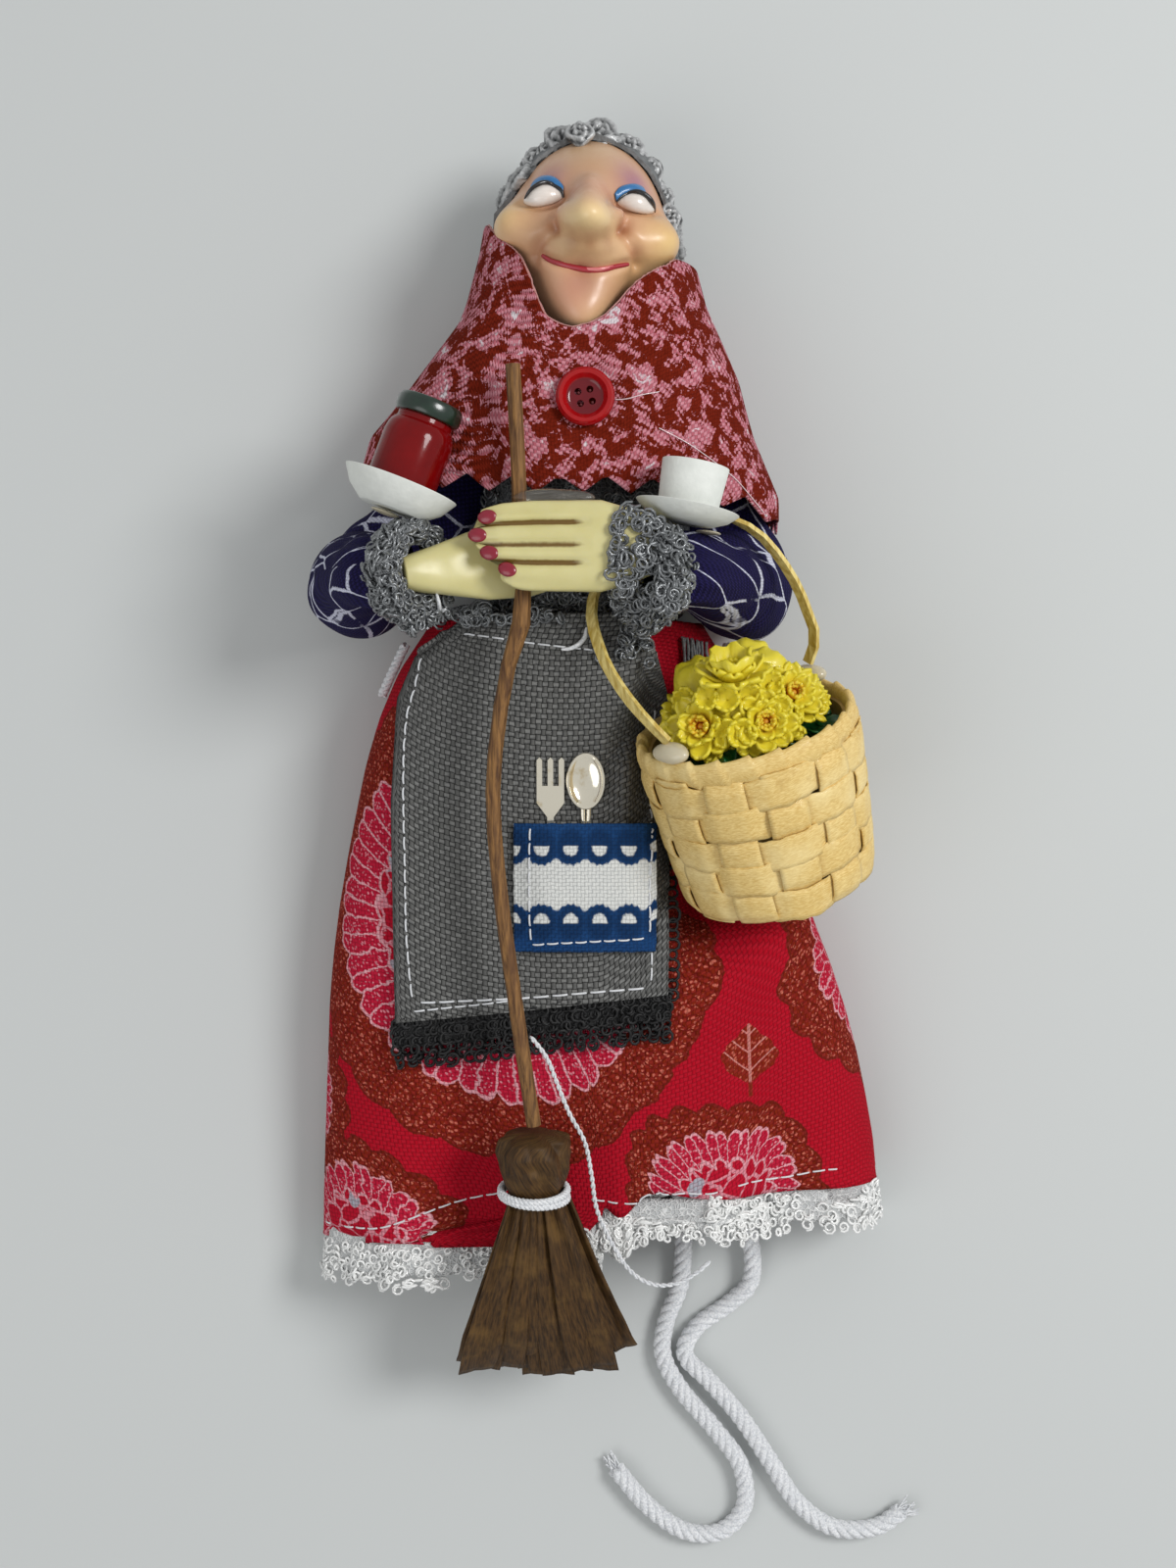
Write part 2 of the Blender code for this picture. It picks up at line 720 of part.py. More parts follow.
def apron_lace(frame, looks):
    """The black lace edge that hangs below the apron's hem."""
    def place(u, v):
        left = -APRON_LEFT * APRON_LEFT_SHARES[-1][1] - CLOTH
        right = APRON_RIGHT * APRON_RIGHT_SHARES[-1][1] + CLOTH
        x = right + (left - right) * u
        loops = LACE_LOOP * cos(2 * pi * u * 12) * 0.5
        y = apron_edge(1, 1 - u) - GAP - APRON_LACE_WIDTH * v + (loops if v == 1 else 0.0)
        return Vector((x, y, apron_height(x, y) + CLOTH * 0.2))

    return cloth_sheet("apron_lace", 24, 2, place, looks["black_lace"], frame, CLOTH)


def pocket_slope():
    """The apron's fall from the waist to the hem, as an angle about X."""
    drop = skirt_top(POCKET_X, WAIST_Y) - skirt_top(POCKET_X, HEM_Y)
    return drop / (WAIST_Y - HEM_Y)


def pocket(frame, looks):
    """A patch sewn on at both sides and along the bottom, with room for the cutlery's handles."""
    def place(u, v):
        x = POCKET_X + POCKET_WIDTH * (0.5 - u)
        y = POCKET_TOP_Y - POCKET_DEPTH * v
        room = min(1.0, 6 * u, 6 * (1 - u)) * min(1.0, 5 * (1 - v))
        lift = APRON_CLEAR + CLOTH + GAP * 1.8 + POCKET_ROOM * room
        return Vector((x, y, pressed(x, y, skirt_top(x, y) + lift, BASKET_CLEAR)))

    return cloth_sheet("apron_pocket", 10, 7, place, looks["pocket"], frame, CLOTH)


def plate(outline, thickness):
    """A flat solid with an outline in X and Y, its underside at zero."""
    build = bmesh.new()
    face = build.faces.new([build.verts.new((x, y, 0.0)) for x, y in outline])
    raised = bmesh.ops.extrude_face_region(build, geom=[face])
    bmesh.ops.translate(
        build, vec=(0, 0, thickness), verts=[v for v in raised["geom"] if isinstance(v, bmesh.types.BMVert)]
    )
    bmesh.ops.triangulate(build, faces=build.faces)
    return build


def fork(frame, looks):
    """A flat fork: three tines, shoulders, a neck and a handle."""
    half = FORK_WIDTH / 2
    tine = FORK_WIDTH / 5
    tines = CUTLERY_LENGTH * 0.20
    neck = CUTLERY_LENGTH * 0.42
    handle = CUTLERY_HANDLE_WIDTH / 2
    outline = [(-handle, -CUTLERY_LENGTH), (handle, -CUTLERY_LENGTH), (handle * 0.6, -neck), (half, -tines * 1.6)]
    for k in range(3):
        right = half - 2 * k * tine
        outline += [(right, -tines * 0.1), (right - tine * 0.5, 0.0), (right - tine, -tines * 0.1)]
        if k < 2:
            outline += [(right - tine, -tines), (right - 2 * tine, -tines)]
    outline += [(-half, -tines * 1.6), (-handle * 0.6, -neck)]
    return add("fork", finish("fork", plate(outline, CUTLERY_THICKNESS)), looks["cutlery"], frame, 30)


def spoon(frame, looks):
    """A flat spoon with a dished bowl."""
    half, bowl = SPOON_WIDTH / 2, CUTLERY_LENGTH * 0.40
    handle = CUTLERY_HANDLE_WIDTH / 2
    rows, across = 10, 6
    rings = []
    for i in range(rows + 1):
        share = i / rows
        if share <= 0.6:
            along = -bowl * share / 0.6
            u = share / 0.6
            width = max(handle * 0.6, half * sqrt(max(0.02, 1 - (2 * u - 1) ** 2)) * (1 - 0.12 * u))
            dish = 0.7 * CUTLERY_THICKNESS * max(0.0, 1 - (2 * u - 1) ** 2)
        else:
            along = -bowl - (CUTLERY_LENGTH - bowl) * (share - 0.6) / 0.4
            width = handle * (0.62 + 0.38 * (share - 0.6) / 0.4)
            dish = 0.0
        top, bottom = [], []
        for k in range(across + 1):
            x = width * (2 * k / across - 1)
            drop = dish * (1 - (2 * k / across - 1) ** 2)
            top.append(Vector((x, along, CUTLERY_THICKNESS - drop)))
            bottom.append(Vector((x, along, 0.0)))
        rings.append(top + list(reversed(bottom)))
    return add("spoon", finish("spoon", loft(rings)), looks["cutlery"], frame, 30)


# Scarf and button

SCARF_LEFT_SHARES = (
    (0.0, 0.44), (0.10, 0.46), (0.28, 0.515), (0.36, 0.55), (0.70, 0.85), (0.78, 0.93), (1.0, 1.0),
)
SCARF_RIGHT_SHARES = (
    (0.0, 0.535), (0.14, 0.56), (0.30, 0.62), (0.44, 0.71), (0.57, 0.79), (0.68, 0.83), (0.78, 0.87), (1.0, 1.0),
)
# How far the top edge stands above the chin, from the side of the face to its middle
SCARF_OPENING_SHARES = (
    (0.0, 1.0), (0.24, 1.0), (0.40, 0.78), (0.54, 0.55), (0.67, 0.40), (0.77, 0.22), (0.86, 0.05), (1.0, 0.0),
)


def scarf_sizes(y):
    share = min(1.0, max(0.0, (SCARF_TOP_Y - y) / (SCARF_TOP_Y - SCARF_HEM_Y)))
    return -SCARF_LEFT * between(SCARF_LEFT_SHARES, share), SCARF_RIGHT * between(SCARF_RIGHT_SHARES, share)


def scarf_surface(turn, y):
    left, right = scarf_sizes(y)
    flat_x, flat_z = rounded(turn, 2.5)
    x = (left + right) / 2 + (right - left) / 2 * flat_x
    middle = SCARF_TOP * 0.34
    if flat_z >= 0:
        return Vector((x, y, middle + (SCARF_TOP - middle) * flat_z))
    return Vector((x, y, max(SCARF_FLOOR, middle + (middle + CLOTH) * flat_z)))


def scarf(frame, looks):
    """A printed cloth wrapped round the head and over the shoulders, with a pinked lower edge."""
    rows, around = 7, PINK_TEETH * 4
    rings = []
    for i in range(rows + 1):
        ring = []
        for k in range(around):
            turn = 2 * pi * (k + 0.5) / around
            front = max(0.0, sin(turn))
            side = 1 - abs(turn - pi / 2) / (pi / 2) if turn <= pi else 0.0
            opening = between(SCARF_OPENING_SHARES, side)
            start = CHIN_Y - SCARF_CHIN_GAP + (SCARF_TOP_Y - CHIN_Y) * opening
            if turn > pi:
                start = SCARF_TOP_Y - (SCARF_TOP_Y - CHIN_Y) * 0.45 * min(1.0, 4 * abs(sin(turn)))
            end = SCARF_HEM_Y - SCARF_CORNER_DROP * cos(turn) * abs(cos(turn)) + PINK_DEPTH * (0.5 if k % 2 else -0.5)
            y = start + (end - start) * i / rows
            ring.append(scarf_surface(turn, y))
        rings.append(ring)
    made = add("scarf", finish("scarf", loft(rings, caps=False), outward=False), looks["scarf"], frame)
    thicken(made, CLOTH)
    return made


def button(frame, looks):
    """A four-hole button: a rounded rim round a recess."""
    r, t = BUTTON_RADIUS, BUTTON_THICKNESS
    profile = [
        (0.0, 0.0), (r * 0.80, 0.0), (r * 0.95, t * 0.2), (r, t * 0.5), (r * 0.95, t * 0.85), (r * 0.84, t),
        (r * 0.70, t * 0.85), (r * 0.60, t * 0.5), (0.0, t * 0.45),
    ]
    made = add("button", finish("button", turned(profile, 24)), looks["button"], frame)
    holes = bmesh.new()
    for k in range(4):
        turn = pi / 4 + k * pi / 2
        reach = BUTTON_RADIUS * 0.30
        bmesh.ops.create_cone(
            holes, cap_ends=True, segments=8, radius1=BUTTON_HOLE_RADIUS, radius2=BUTTON_HOLE_RADIUS,
            depth=BUTTON_THICKNESS + OVERRUN,
            matrix=Matrix.Translation((reach * cos(turn), reach * sin(turn), 0.0)),
        )
    tool = add("button_holes", finish("button_holes", holes), looks["button"], frame)
    cut(made, tool)
    return made


# Arms and hands

def arm_route(side):
    """Shoulder, elbow and wrist of one arm: side +1 is the doll's left."""
    elbow_x, wrist_x = (LEFT_ELBOW_X, LEFT_WRIST_X) if side > 0 else (RIGHT_ELBOW_X, RIGHT_WRIST_X)
    reach = side * (CHEST_HALF - UPPER_ARM_RADIUS * 0.5)
    shoulder = Vector((reach, SHOULDER_Y, ELBOW_Z + UPPER_ARM_RADIUS * 0.35))
    return shoulder, Vector((elbow_x, ELBOW_Y, ELBOW_Z)), Vector((wrist_x, WRIST_Y, WRIST_Z))


def wrist_way(side):
    """The way that a forearm points where it enters its cuff: inward and up."""
    return Vector((-side * cos(WRIST_LEAN), 0.0, sin(WRIST_LEAN)))


def sleeve(name, side, frame, look, rooms):
    """A stuffed sleeve, bent at the elbow and drawn in at both ends."""
    shoulder, elbow, wrist = arm_route(side)
    way = wrist_way(side)
    end = wrist - way * (CUFF_LENGTH * 0.25)
    bow = ELBOW_RADIUS * 0.12
    upper = shoulder.lerp(elbow, 0.5)
    turn = elbow + Vector((0.0, 0.0, bow))
    lead = end - way * CUFF_LENGTH * 0.75
    rise = elbow.lerp(lead, 0.5) + Vector((side * bow, 0.0, 0.0))
    points, _ = smooth_path([shoulder, upper, turn, rise, lead, end], 14)
    count = len(points) - 1
    swell_shares = (
        (0.0, 0.72), (0.15, 0.74), (0.28, 0.78), (0.42, 0.94), (0.55, 1.0), (0.68, 0.94), (0.80, 0.78),
        (0.88, WRIST_RADIUS / ELBOW_RADIUS), (1.0, WRIST_RADIUS / ELBOW_RADIUS),
    )
    radii = [ELBOW_RADIUS * between(swell_shares, i / count) for i in range(count + 1)]
    made = add(name, finish(name, swept(points, radii, 16)), look, frame)
    for tool in rooms:
        cut(made, tool)
    return made


def cuff(name, side, frame, look):
    """A gathered lace ring round the wrist, flattened where a dish or saucer stands over it."""
    _, _, wrist = arm_route(side)
    way = wrist_way(side)
    turn = Matrix((Vector((0, 1, 0)).cross(way), Vector((0, 1, 0)), way)).transposed().to_quaternion()
    spot = empty(name + "_at", frame, wrist, turn)
    inner = WRIST_RADIUS + GAP * 2
    around = CUFF_RUFFLES * 3
    shares = ((0.0, 0.0), (0.1, 0.55), (0.45, 0.75), (0.8, 1.0), (1.0, 0.75), (0.9, 0.25), (0.5, 0.12))
    circle = [Vector((cos(2 * pi * k / around), sin(2 * pi * k / around), 0)) for k in range(around)]
    rings = [[point * inner + Vector((0, 0, CUFF_LENGTH * (0.02 - 0.5))) for point in circle]]
    for along, out in shares:
        ring = []
        for k, point in enumerate(circle):
            ruffle = 1 + 0.28 * cos(CUFF_RUFFLES * 2 * pi * k / around) * out
            low = 1 - 0.8 * max(0.0, point.y)
            radius = inner + 0.5 * CLOTH + CUFF_FLARE * out * ruffle * low
            ring.append(point * radius + Vector((0, 0, CUFF_LENGTH * (along - 0.5))))
        rings.append(ring)
    rings.append([point * inner + Vector((0, 0, CUFF_LENGTH * (0.45 - 0.5))) for point in circle])
    rings.append(rings[0])
    build = loft(rings, caps=False)
    bmesh.ops.remove_doubles(build, verts=build.verts, dist=MERGE)
    return add(name, finish(name, build), look, spot)


HAND_WIDE_SHARES = ((0.0, 0.52), (0.15, 0.78), (0.35, 1.0), (0.75, 0.98), (0.92, 0.88), (1.0, 0.66))
HAND_HIGH_SHARES = ((0.0, 0.95), (0.9, 1.0), (1.0, 0.6))


def hand_rings(length, width, thick, tip, grooves, count=22, rows=9):
    """A mitten-shaped hand along +X from the wrist: knuckles, then four fingers parted by grooves."""
    rings = []
    for i in range(rows + 1):
        share = i / rows
        wide = width * between(HAND_WIDE_SHARES, share)
        high = thick + (tip - thick) * share
        high *= between(HAND_HIGH_SHARES, share)
        ring = []
        for k in range(count):
            y, z = rounded(2 * pi * k / count, 2.6)
            depth = 0.0
            if share > 0.42 and grooves and z > 0:
                depth = FINGER_GROOVE * (0.5 + 0.5 * cos(2 * pi * (y * 2.0 + 0.5))) * min(1.0, (share - 0.42) * 8)
            ring.append(Vector((length * share, wide / 2 * y, high / 2 * z - depth)))
        rings.append(ring)
    return rings


def hands(frame, looks):
    """The doll's left hand lies over the right one, with the broomstick held between them."""
    shares = (
        # side, along the wrist's way, up the doll, turn about Y and about Z
        ("hand_left", 1, 0.10, 0.20, radians(181.5), radians(0), LEFT_HAND_LENGTH, HAND_WIDTH),
        ("hand_right", -1, 0.00, -0.02, radians(15), radians(4), RIGHT_HAND_LENGTH, HAND_WIDTH * 0.86),
    )
    for name, side, along, up, tip, yaw, length, width in shares:
        _, _, wrist = arm_route(side)
        at = wrist + wrist_way(side) * (CUFF_LENGTH * along)
        at.y += HAND_WIDTH * up
        at.z += HAND_THICKNESS * (0.62 if side > 0 else 0.30)
        rings = hand_rings(length, width, HAND_THICKNESS, FINGERTIP_THICKNESS, side > 0)
        if side > 0:
            rings = [[Vector((point.x, point.y, -point.z)) for point in ring] for ring in rings]
        turn = Euler((0.0, tip, yaw)).to_quaternion()
        add(name, finish(name, loft(rings)), looks["hand"], empty(name + "_at", frame, at, turn))


# Broom

def stick_route():
    """The twig's bent line, from its top end down to the bristles."""
    return [
        Vector((-13.0, 72.5, 44.0)) * MM, Vector((-12.2, 58.0, 43.6)) * MM, Vector((-11.6, 42.0, 43.2)) * MM,
        Vector((-11.2, 30.0, 42.6)) * MM, Vector((-14.4, 18.0, 41.2)) * MM, Vector((-16.6, 0.0, 39.4)) * MM,
        Vector((-15.6, -17.0, 38.4)) * MM, Vector((-13.0, -37.0, 36.8)) * MM, Vector((-9.6, -60.5, 34.4)) * MM,
    ]


def broom(frame, looks):
    points, _ = smooth_path(stick_route(), 18)
    swell = []
    for point in points:
        knot = 2.718 ** (-(((point.y - WAIST_Y) / (STICK_RADIUS * 2)) ** 2))
        swell.append(1 + (STICK_KNOT_RADIUS / STICK_RADIUS - 1) * knot)
    tube("broom_stick", points, STICK_RADIUS, looks["twig"], frame, 2, swell)
    way = Vector((0.0, -cos(BROOM_DROP), -sin(BROOM_DROP)))
    side = Vector((1.0, 0.0, 0.0))
    turn = Matrix((side, way.cross(side), way)).transposed().to_quaternion()
    return empty("broom_head_at", frame, points[-1] + way * GAP * 4, turn)


def bristles(spot, looks):
    """Folded paper strips: a bound knob, then a fan of strips in three layers."""
    rings = []
    around = 22
    r = KNOB_RADIUS
    neck_shares = (
        (0.00, 0.62), (0.06, 0.86), (0.25, 1.0), (0.50, 0.98), (0.70, 0.86), (0.82, 0.76), (1.00, 0.84),
        (1.18, 0.95),
    )
    for along, wide in neck_shares:
        ring = []
        for k in range(around):
            turn = 2 * pi * k / around
            pleat = 1 + 0.045 * (1 if k % 2 else -1)
            flat = 1 - 0.2 * max(0.0, along - 0.3)
            reach = r * wide * pleat
            ring.append(Vector((reach * cos(turn), reach * flat * sin(turn), KNOB_LENGTH * along)))
        rings.append(ring)
    core = add("broom_bristles", finish("broom_bristles", loft(rings)), looks["paper"], spot)
    layers = len(STRIPS_IN_LAYER)
    for layer, count in enumerate(STRIPS_IN_LAYER):
        for k in range(count):
            depth = layer - (layers - 1) / 2
            across = ((k - (count - 1) / 2) / (count - 1) + depth * 0.12) * 2 / 1.24
            start = Vector((across * r * 0.56, depth * r * 0.42, KNOB_LENGTH * 1.02))
            end = start + Vector((
                across * (FAN_HALF_WIDTH - STRIP_WIDTH / 2 - r * 0.56), depth * STRIP_THICKNESS * 1.1,
                FAN_LENGTH * (1 - 0.06 * abs(across) + 0.03 * cos(5 * k + 3 * layer)),
            ))
            strip_rings = []
            for i in range(4):
                share = i / 3
                middle = start.lerp(end, share)
                middle.y -= FAN_FALL * share * share * share
                wide = (r * 0.34 + (STRIP_WIDTH / 2 - r * 0.34) * share) * 0.62
                high = STRIP_THICKNESS * (0.85 - 0.2 * share)
                fold = STRIP_THICKNESS * 0.5 * (1 if (k + layer) % 2 else -1)
                strip_rings.append([
                    middle + Vector((-wide, -high / 2, 0)), middle + Vector((0, -high / 2 + fold, 0)),
                    middle + Vector((wide, -high / 2, 0)), middle + Vector((wide, high / 2, 0)),
                    middle + Vector((0, high / 2 + fold, 0)), middle + Vector((-wide, high / 2, 0)),
                ])
            label = f"strip_{layer}_{k}"
            tool = add(label, finish(label, loft(strip_rings)), looks["paper"], spot)
            join = core.modifiers.new(label, "BOOLEAN")
            join.operation = "UNION"
            join.solver = "EXACT"
            join.object = tool
            tool.hide_render = True
            tool.display_type = "WIRE"
    return core


def broom_tie(spot, looks):
    """The string wound round the bristles under the knob."""
    around = 20
    middle = KNOB_RADIUS * 0.83 + TIE_RADIUS + GAP
    rings = []
    for k in range(around):
        turn = 2 * pi * k / around
        centre = Vector((middle * cos(turn), middle * 0.93 * sin(turn), KNOB_LENGTH * 0.84))
        out = Vector((cos(turn), sin(turn), 0))
        up = Vector((0, 0, 1))
        ring = []
        for i in range(6):
            bend = 2 * pi * i / 6
            ring.append(centre + (out * cos(bend) + up * sin(bend)) * TIE_RADIUS)
        rings.append(ring)
    rings.append(rings[0])
    build = loft(rings, caps=False)
    bmesh.ops.remove_doubles(build, verts=build.verts, dist=MERGE)
    return add("broom_tie", finish("broom_tie", build), looks["string"], spot)


# Basket

def basket_frame(frame):
    """The basket stands in its own frame: Z out of the mouth, X toward the handle's outer end."""
    up = Vector(BASKET_AXIS).normalized()
    across = Vector(BASKET_TURN)
    across = (across - up * across.dot(up)).normalized()
    turn = Matrix((across, up.cross(across), up)).transposed().to_quaternion()
    return empty("basket_at", frame, BASKET_RIM_AT, turn)


def basket(spot, looks):
    """A plain-woven splint basket: strips in rows pass in front of and behind upright stakes."""
    around = STAKES * 4
    rings = []
    rows = WEAVE_ROWS * 2
    rings.append([(BASKET_BASE_RADIUS * 0.88, -BASKET_DEPTH)] * around)
    weave_top = -BASKET_DEPTH * 0.13
    for i in range(rows + 1):
        share = i / rows
        height = -BASKET_DEPTH * 0.96 + (weave_top + BASKET_DEPTH * 0.96) * share
        wall = BASKET_BASE_RADIUS + (RIM_RADIUS - BASKET_BASE_RADIUS) * (share ** 0.7) * 0.9
        ring = []
        for k in range(around):
            row = min(WEAVE_ROWS - 1, i // 2)
            over = cos(pi * STAKES * k / around + pi * row)
            relief = WEAVE_RELIEF * over * (1 if i % 2 else 0.15)
            ring.append((wall + relief - WEAVE_RELIEF * 0.5, height))
        rings.append(ring)
    rim = RIM_RADIUS
    for wide, height in ((1.0, -0.10), (1.0, -0.02), (0.985, 0.0), (0.955, -0.005), (0.94, -0.06)):
        rings.append([(rim * wide, BASKET_DEPTH * height)] * around)
    inner = RIM_RADIUS - BASKET_WALL * 1.6
    for wide, height in ((1.0, -0.13), (0.86, -0.6), (0.83, -0.94)):
        rings.append([(inner * wide, BASKET_DEPTH * height)] * around)
    solid = []
    for ring in rings:
        solid.append([
            Vector((radius * cos(2 * pi * k / around), radius * sin(2 * pi * k / around), height))
            for k, (radius, height) in enumerate(ring)
        ])
    return add("basket", finish("basket", loft(solid)), looks["splint"], spot, 25)


def flowers(spot, looks):
    """A moulded bunch: four open blooms on a rounded mound."""
    inner = RIM_RADIUS - BASKET_WALL * 1.6 - GAP * 2
    mound = inner * 1.12
    rows, around = 11, 28
    blooms = (
        (Vector((-0.30, 0.42, 0.86)), 0.36), (Vector((-0.52, -0.28, 0.80)), 0.34),
        (Vector((0.50, 0.18, 0.84)), 0.33), (Vector((0.18, -0.42, 0.88)), 0.34),
    )
    lift = BASKET_DEPTH * 0.03
    rings = []
    for i in range(1, rows + 1):
        polar = radians(88) * i / rows
        ring = []
        for k in range(around):
            turn = 2 * pi * k / around
            way = Vector((sin(polar) * cos(turn), sin(polar) * sin(turn), cos(polar)))
            raised = 0.0
            for toward, reach in blooms:
                apart = way.angle(toward)
                raised = max(raised, 1 - (apart / reach) ** 4) if apart < reach else raised
            radius = mound * (0.74 + 0.20 * raised)
            ring.append(Vector((way.x * radius, way.y * radius, way.z * radius * 0.80 + lift)))
        rings.append(ring)
    base = [Vector((p.x * 0.75, p.y * 0.75, -BASKET_DEPTH * 0.05)) for p in rings[-1]]
    build = loft([*rings, base], caps=False)
    build.verts.ensure_lookup_table()
    crown, foot = build.verts[:around], build.verts[-around:]
    top = build.verts.new((0, 0, mound * 0.74 * 0.80 + lift))
    for k in range(around):
        build.faces.new((crown[k], crown[(k + 1) % around], top))
    build.faces.new(foot)
    return add("flowers", finish("flowers", build), looks["petal"], spot)


def leaves(spot, looks):
    """The green base that fills the basket under the flowers."""
    inner = RIM_RADIUS - BASKET_WALL * 1.6 - GAP * 2
    profile = [
        (0.0, -BASKET_DEPTH * 0.93), (inner * 0.80, -BASKET_DEPTH * 0.93), (inner * 0.84, -BASKET_DEPTH * 0.6),
        (inner * 0.96, -BASKET_DEPTH * 0.16), (inner * 0.90, -BASKET_DEPTH * 0.10),
        (0.0, -BASKET_DEPTH * 0.05 - GAP * 1.5),
    ]
    return add("leaves", finish("leaves", turned(profile, 20)), looks["leaf"], spot)


def handle_end(side):
    """Where the cane meets the glue on the rim: side +1 is the outer end."""
    up = Vector(BASKET_AXIS).normalized()
    across = Vector(BASKET_TURN)
    across = (across - up * across.dot(up)).normalized()
    return Vector(BASKET_RIM_AT) + across * side * (RIM_RADIUS - BASKET_WALL) + up * (2 * GLUE_HEIGHT + 3 * GAP)


def handle_route():
    """The cane's line from the outer end of the rim, over the sleeve, round the forearm and back."""
    return [
        handle_end(1), Vector((40.8, 26.4, 28.8)) * MM, Vector((39.2, 30.9, 30.4)) * MM,
        Vector((37.2, 35.3, 32.0)) * MM, Vector((34.2, 39.8, 33.6)) * MM, Vector((30.2, 44.2, 34.8)) * MM,
        Vector((24.6, 47.2, 34.2)) * MM, Vector((17.6, 47.4, 33.0)) * MM, Vector((10.0, 44.0, 32.2)) * MM,
        Vector((3.2, 38.2, 32.7)) * MM, Vector((0.6, 30.6, 36.2)) * MM, Vector((2.4, 22.6, 41.0)) * MM,
        Vector((5.6, 16.6, 43.6)) * MM, Vector((9.4, 11.6, 46.6)) * MM, handle_end(-1),
    ]


def handle(frame, looks):
    """A flat cane strip bent in a loop round the doll's forearm."""
    points, _ = smooth_path(handle_route(), 30)
    up = Vector(BASKET_AXIS).normalized()
    face = up.cross(Vector(BASKET_TURN)).normalized()
    rings = []
    for i, point in enumerate(points):
        way = (points[min(i + 1, len(points) - 1)] - points[max(i - 1, 0)]).normalized()
        side = (face - way * face.dot(way)).normalized()
        wide, high = side * HANDLE_WIDTH / 2, way.cross(side) * HANDLE_THICKNESS / 2
        rings.append([point + wide + high, point - wide + high, point - wide - high, point + wide - high])
    return add("basket_handle", finish("basket_handle", loft(rings)), looks["cane"], frame, 50)


def handle_glue(spot, looks):
    """A set drop of glue on the rim at each end of the cane."""
    for name, side in (("handle_glue_front", 1), ("handle_glue_back", -1)):
        at = (side * (RIM_RADIUS - BASKET_WALL), 0.0, GLUE_HEIGHT + GAP)
        blob(name, at, (GLUE_RADIUS * 0.55, GLUE_RADIUS, GLUE_HEIGHT), looks["glue"], spot)


def blob(name, at, size, look, parent):
    """A set drop of clear glue."""
    build = bmesh.new()
    bmesh.ops.create_uvsphere(build, u_segments=12, v_segments=6, radius=1.0)
    for v in build.verts:
        v.co = Vector((v.co.x * size[0], v.co.y * size[1], v.co.z * size[2]))
    return add(name, finish(name, build), look, empty(name + "_at", parent, at))


# Dish with the jar, saucer with the cup

def dish_profile(radius, depth, wall, foot_share):
    foot = radius * foot_share
    return [
        (0.0, 0.0), (foot, 0.0), (radius * 0.82, depth * 0.42), (radius, depth), (radius - wall, depth),
        (radius * 0.78 - wall * 0.3, depth * 0.42 + wall), (foot, wall), (0.0, wall),
    ]


def dish_set(frame, looks):
    """The jar stands in a dish on the right forearm and leans back on the scarf."""
    at = Vector((RIGHT_WRIST_X, WRIST_Y + WRIST_RADIUS, WRIST_Z)) + Vector(DISH_OVER_WRIST)
    turn = (Matrix.Rotation(DISH_LEAN, 3, "Z") @ Matrix.Rotation(-pi / 2, 3, "X")).to_quaternion()
    spot = empty("dish_at", frame, at, turn)
    add("jar_dish", finish("jar_dish", turned(dish_profile(DISH_RADIUS, DISH_DEPTH, DISH_WALL, 0.56), 24)),
        looks["white_ware"], spot)
    base = DISH_WALL + GAP
    r, h = JAR_RADIUS, JAR_HEIGHT
    jar = [
        (0.0, base), (r * 0.84, base), (r * 0.97, base + h * 0.08), (r, base + h * 0.2), (r, base + h * 0.72),
        (r * 0.90, base + h * 0.90), (r * 0.80, base + h * 0.95), (r * 0.80, base + h), (0.0, base + h),
    ]
    add("jar", finish("jar", turned(jar, 22)), looks["jar"], spot)
    start = base + h + GAP
    lid = [
        (0.0, start), (LID_RADIUS, start), (LID_RADIUS * 1.03, start + LID_HEIGHT * 0.3),
        (LID_RADIUS * 1.03, start + LID_HEIGHT * 0.75), (LID_RADIUS * 0.94, start + LID_HEIGHT),
        (0.0, start + LID_HEIGHT),
    ]
    add("jar_lid", finish("jar_lid", turned(lid, 22)), looks["lid"], spot)
    blob("dish_glue", (*DISH_GLUE_AT, -GAP - DISH_GLUE_SIZE[2]), DISH_GLUE_SIZE, looks["glue"], spot)


def cup_set(frame, looks):
    """The cup stands on a saucer on the left forearm."""
    at = Vector((LEFT_WRIST_X, WRIST_Y + WRIST_RADIUS, WRIST_Z)) + Vector(SAUCER_OVER_WRIST)
    turn = (Matrix.Rotation(CUP_LEAN, 3, "Z") @ Matrix.Rotation(-pi / 2, 3, "X")).to_quaternion()
    spot = empty("saucer_at", frame, at, turn)
    add("saucer", finish("saucer", turned(dish_profile(SAUCER_RADIUS, SAUCER_DEPTH, CUP_WALL, 0.55), 24)),
        looks["white_ware"], spot)
    base = CUP_WALL + GAP
    r, h = CUP_RADIUS, CUP_HEIGHT
    cup = [
        (0.0, base), (r * 0.78, base), (r * 0.88, base + h * 0.06), (r, base + h), (r - CUP_WALL, base + h),
        (r * 0.88 - CUP_WALL, base + h * 0.15), (r * 0.7, base + CUP_WALL * 1.3), (0.0, base + CUP_WALL * 1.3),
    ]
    add("cup", finish("cup", turned(cup, 22)), looks["white_ware"], spot)
    blob("saucer_glue", (*SAUCER_GLUE_AT, -GAP - SAUCER_GLUE_SIZE[2]), SAUCER_GLUE_SIZE, looks["glue"], spot)


# Cords

